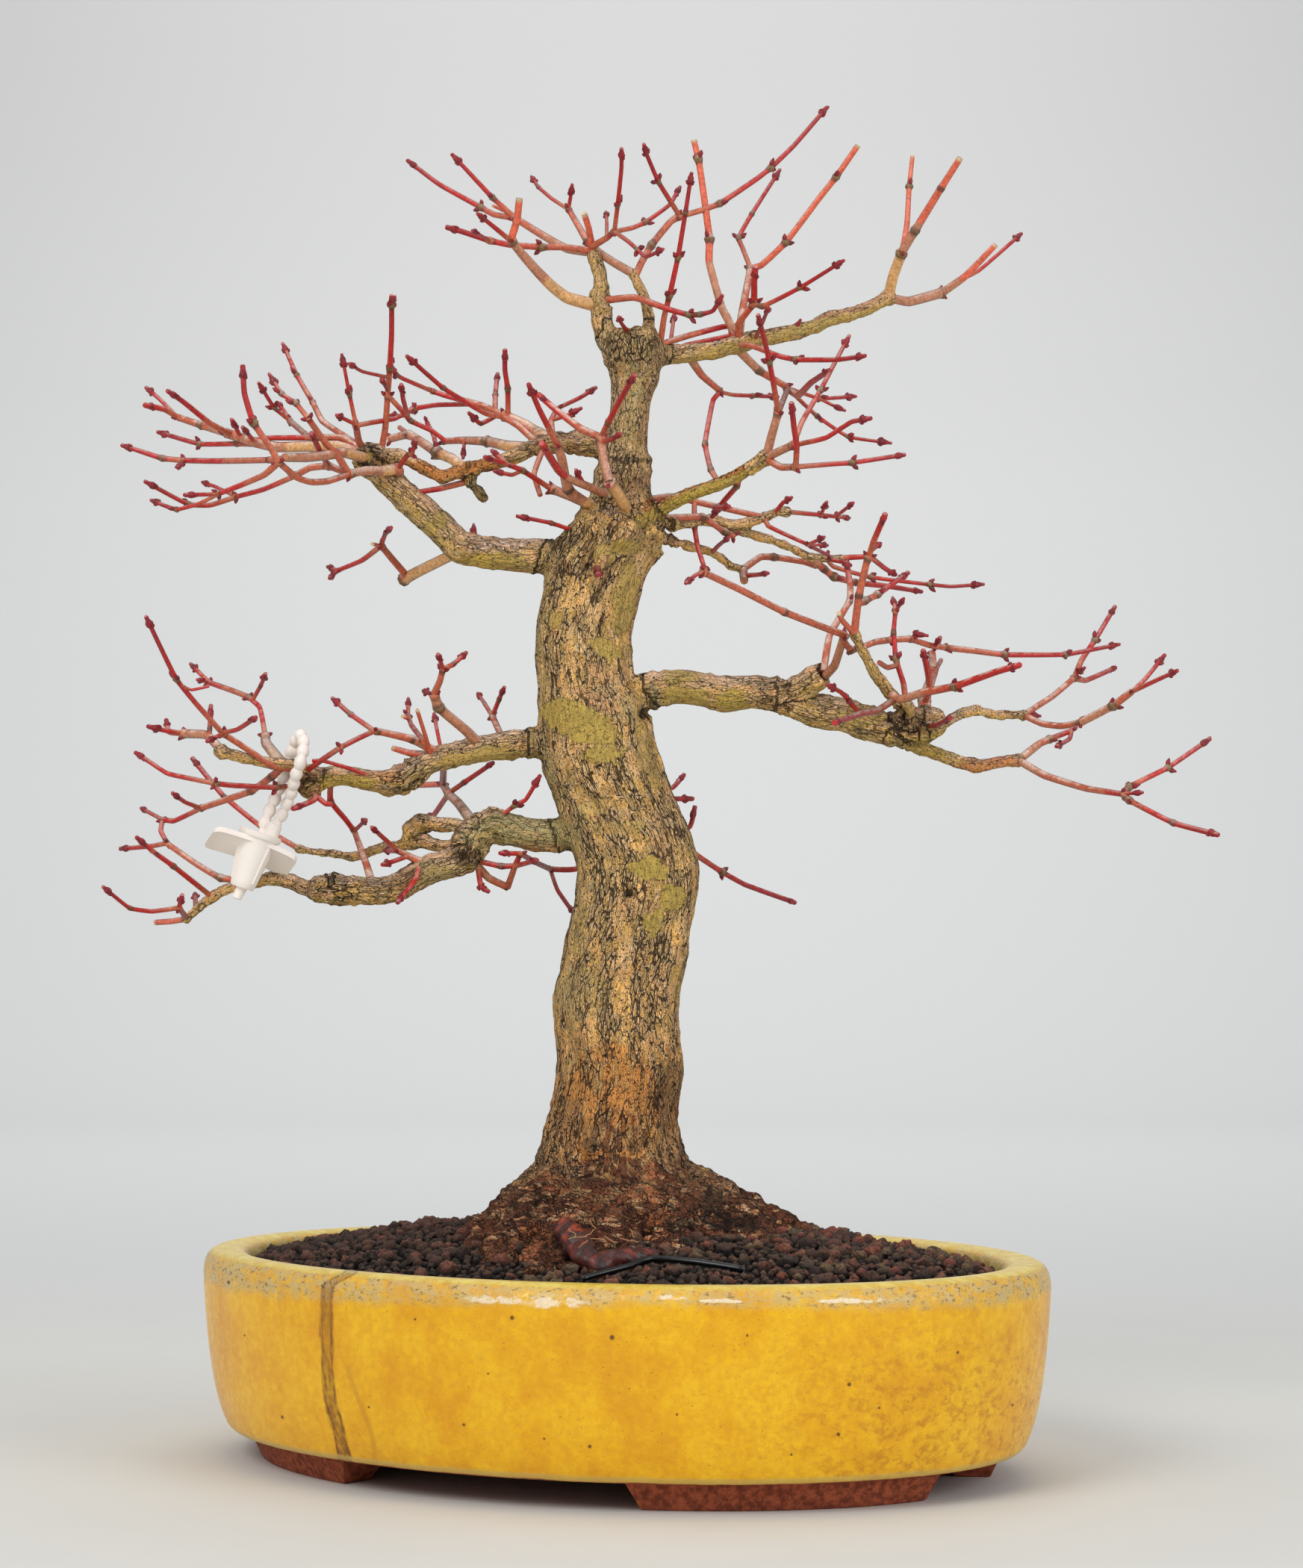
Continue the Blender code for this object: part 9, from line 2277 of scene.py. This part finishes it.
def makeFrontRoot():
    # one closed, lumpy tube
    reading = [(*point, radius, 1.0) for point, radius in zip(frontRoot["route"], frontRoot["radii"])]
    route = smoothRoute(reading, frontRoot["step"])
    radii = [radius * (1 + 0.16 * noise.noise(place * 0.21)) for place, radius, swell in route]
    radii[0] *= 0.6
    radii[-1] *= 0.6
    piece = tubePiece(frontRoot["name"], [place for place, radius, swell in route], radii, frontRoot["sides"])
    faceOutwards(piece)
    piece.data.shade_smooth()
    places, normals, x, z = surfaceOf(piece.data)
    lumps = noiseOf(places * np.array([0.45, 1.0, 1.0]), frontRoot["lumpSize"], 4)
    moved = (places + normals * lumps[:, None] * frontRoot["lumps"]) * mm
    piece.data.vertices.foreach_set("co", moved.reshape(-1))
    colours = np.tile(linear("maroon") * 0.6, (len(x), 1))
    # painted highlight: orange spots where the root faces up
    topHighlight = fade(noiseOf(places, 3.4, 3, 5.0), 0.05, 0.36) * fade(normals[:, 2], -0.2, 0.7)
    toward(colours, "orange", topHighlight * 0.6)
    toward(colours, "black", fade(noiseOf(places, 4.0, 3, 9.0), -0.1, 0.3) * 0.8)
    storePaint(piece.data, "paint", colours)
    return piece


def makeRootlets():
    # hairs that wander over the soil
    curve = roundCurve(rootlets["name"], rootlets["radius"] * mm, 1)
    count = rootlets["points"]
    for hair in range(rootlets["count"]):
        px = rootlets["from"][0] + dice.uniform(-1, 1) * rootlets["spread"]
        pz = rootlets["from"][1] + dice.uniform(-3, 4)
        heading = dice.uniform(0, math.tau)
        points = []
        for i in range(count):
            points.append(at(px, pz, rootlets["back"] - (84 - pz) * 0.5))
            heading += dice.uniform(-rootlets["bend"], rootlets["bend"])
            px += math.cos(heading) * rootlets["length"] / count
            pz += math.sin(heading) * rootlets["length"] / 22
        addSpline(curve, points, [1.0] * count)
    return curvePiece(curve)


woodGrain = buildWoodGrain()
mottle = buildMottle()
wood = Wood()
bark, limbRoutes = makeBark(wood)
places, normals, frontX, frontZ = surfaceOf(bark.data)
grain, onTrunk = grainOf(places, frontX, frontZ, limbRoutes)
relief = carveBark(bark, grain, onTrunk)
paintBark(bark, grain, onTrunk, relief)
barkCoat = barkMaterial(woodGrain, mottle)
shootPiece, routes = makeShoots(wood)
paintShoots(shootPiece, routes)
shootCoat = shootMaterial(woodGrain, mottle)
for piece in splitBark(bark, onTrunk):
    dress(piece, barkCoat, "tree")
dress(shootPiece, shootCoat, "tree")
budPiece = placeBuds(routes)
for piece in (shootPiece, budPiece):
    keepInside(piece)
dress(budPiece, budMaterial(woodGrain), "tree")
dress(makeFrontRoot(), shootCoat, "tree")
dress(makeRootlets(), plainMaterial("paleRootlets", plainLooks["paleRootlets"], mottle), "tree")
print("the maple has grown")

pot = makePot()
keepInside(pot)
dress(pot, glazeMaterial(mottle), "pot")
print("the pot is glazed")

dress(makeSoilBed(), plainMaterial("soilBedAndGapShade", plainLooks["soilBedAndGapShade"], mottle), "soil")
for piece in scatterGrit(bark):
    dress(piece, gritMaterial(piece.name + "Stone", gritLook[piece.name], mottle), "soil")
print("the soil is laid")

dress(makeTieWire(), plainMaterial("blackWire", plainLooks["blackWire"], mottle), "tie_wire")
dress(makeTag(), plainMaterial("whitePlastic", plainLooks["whitePlastic"], mottle), "tag")
for name in ("screen_left", "screen_right"):
    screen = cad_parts[name]
    screen.data.materials.clear()
    screen.data.materials.append(plainMaterial(name.replace("_", " "), plainLooks["mesh"], mottle))
print("wire, tag and screens are in place")
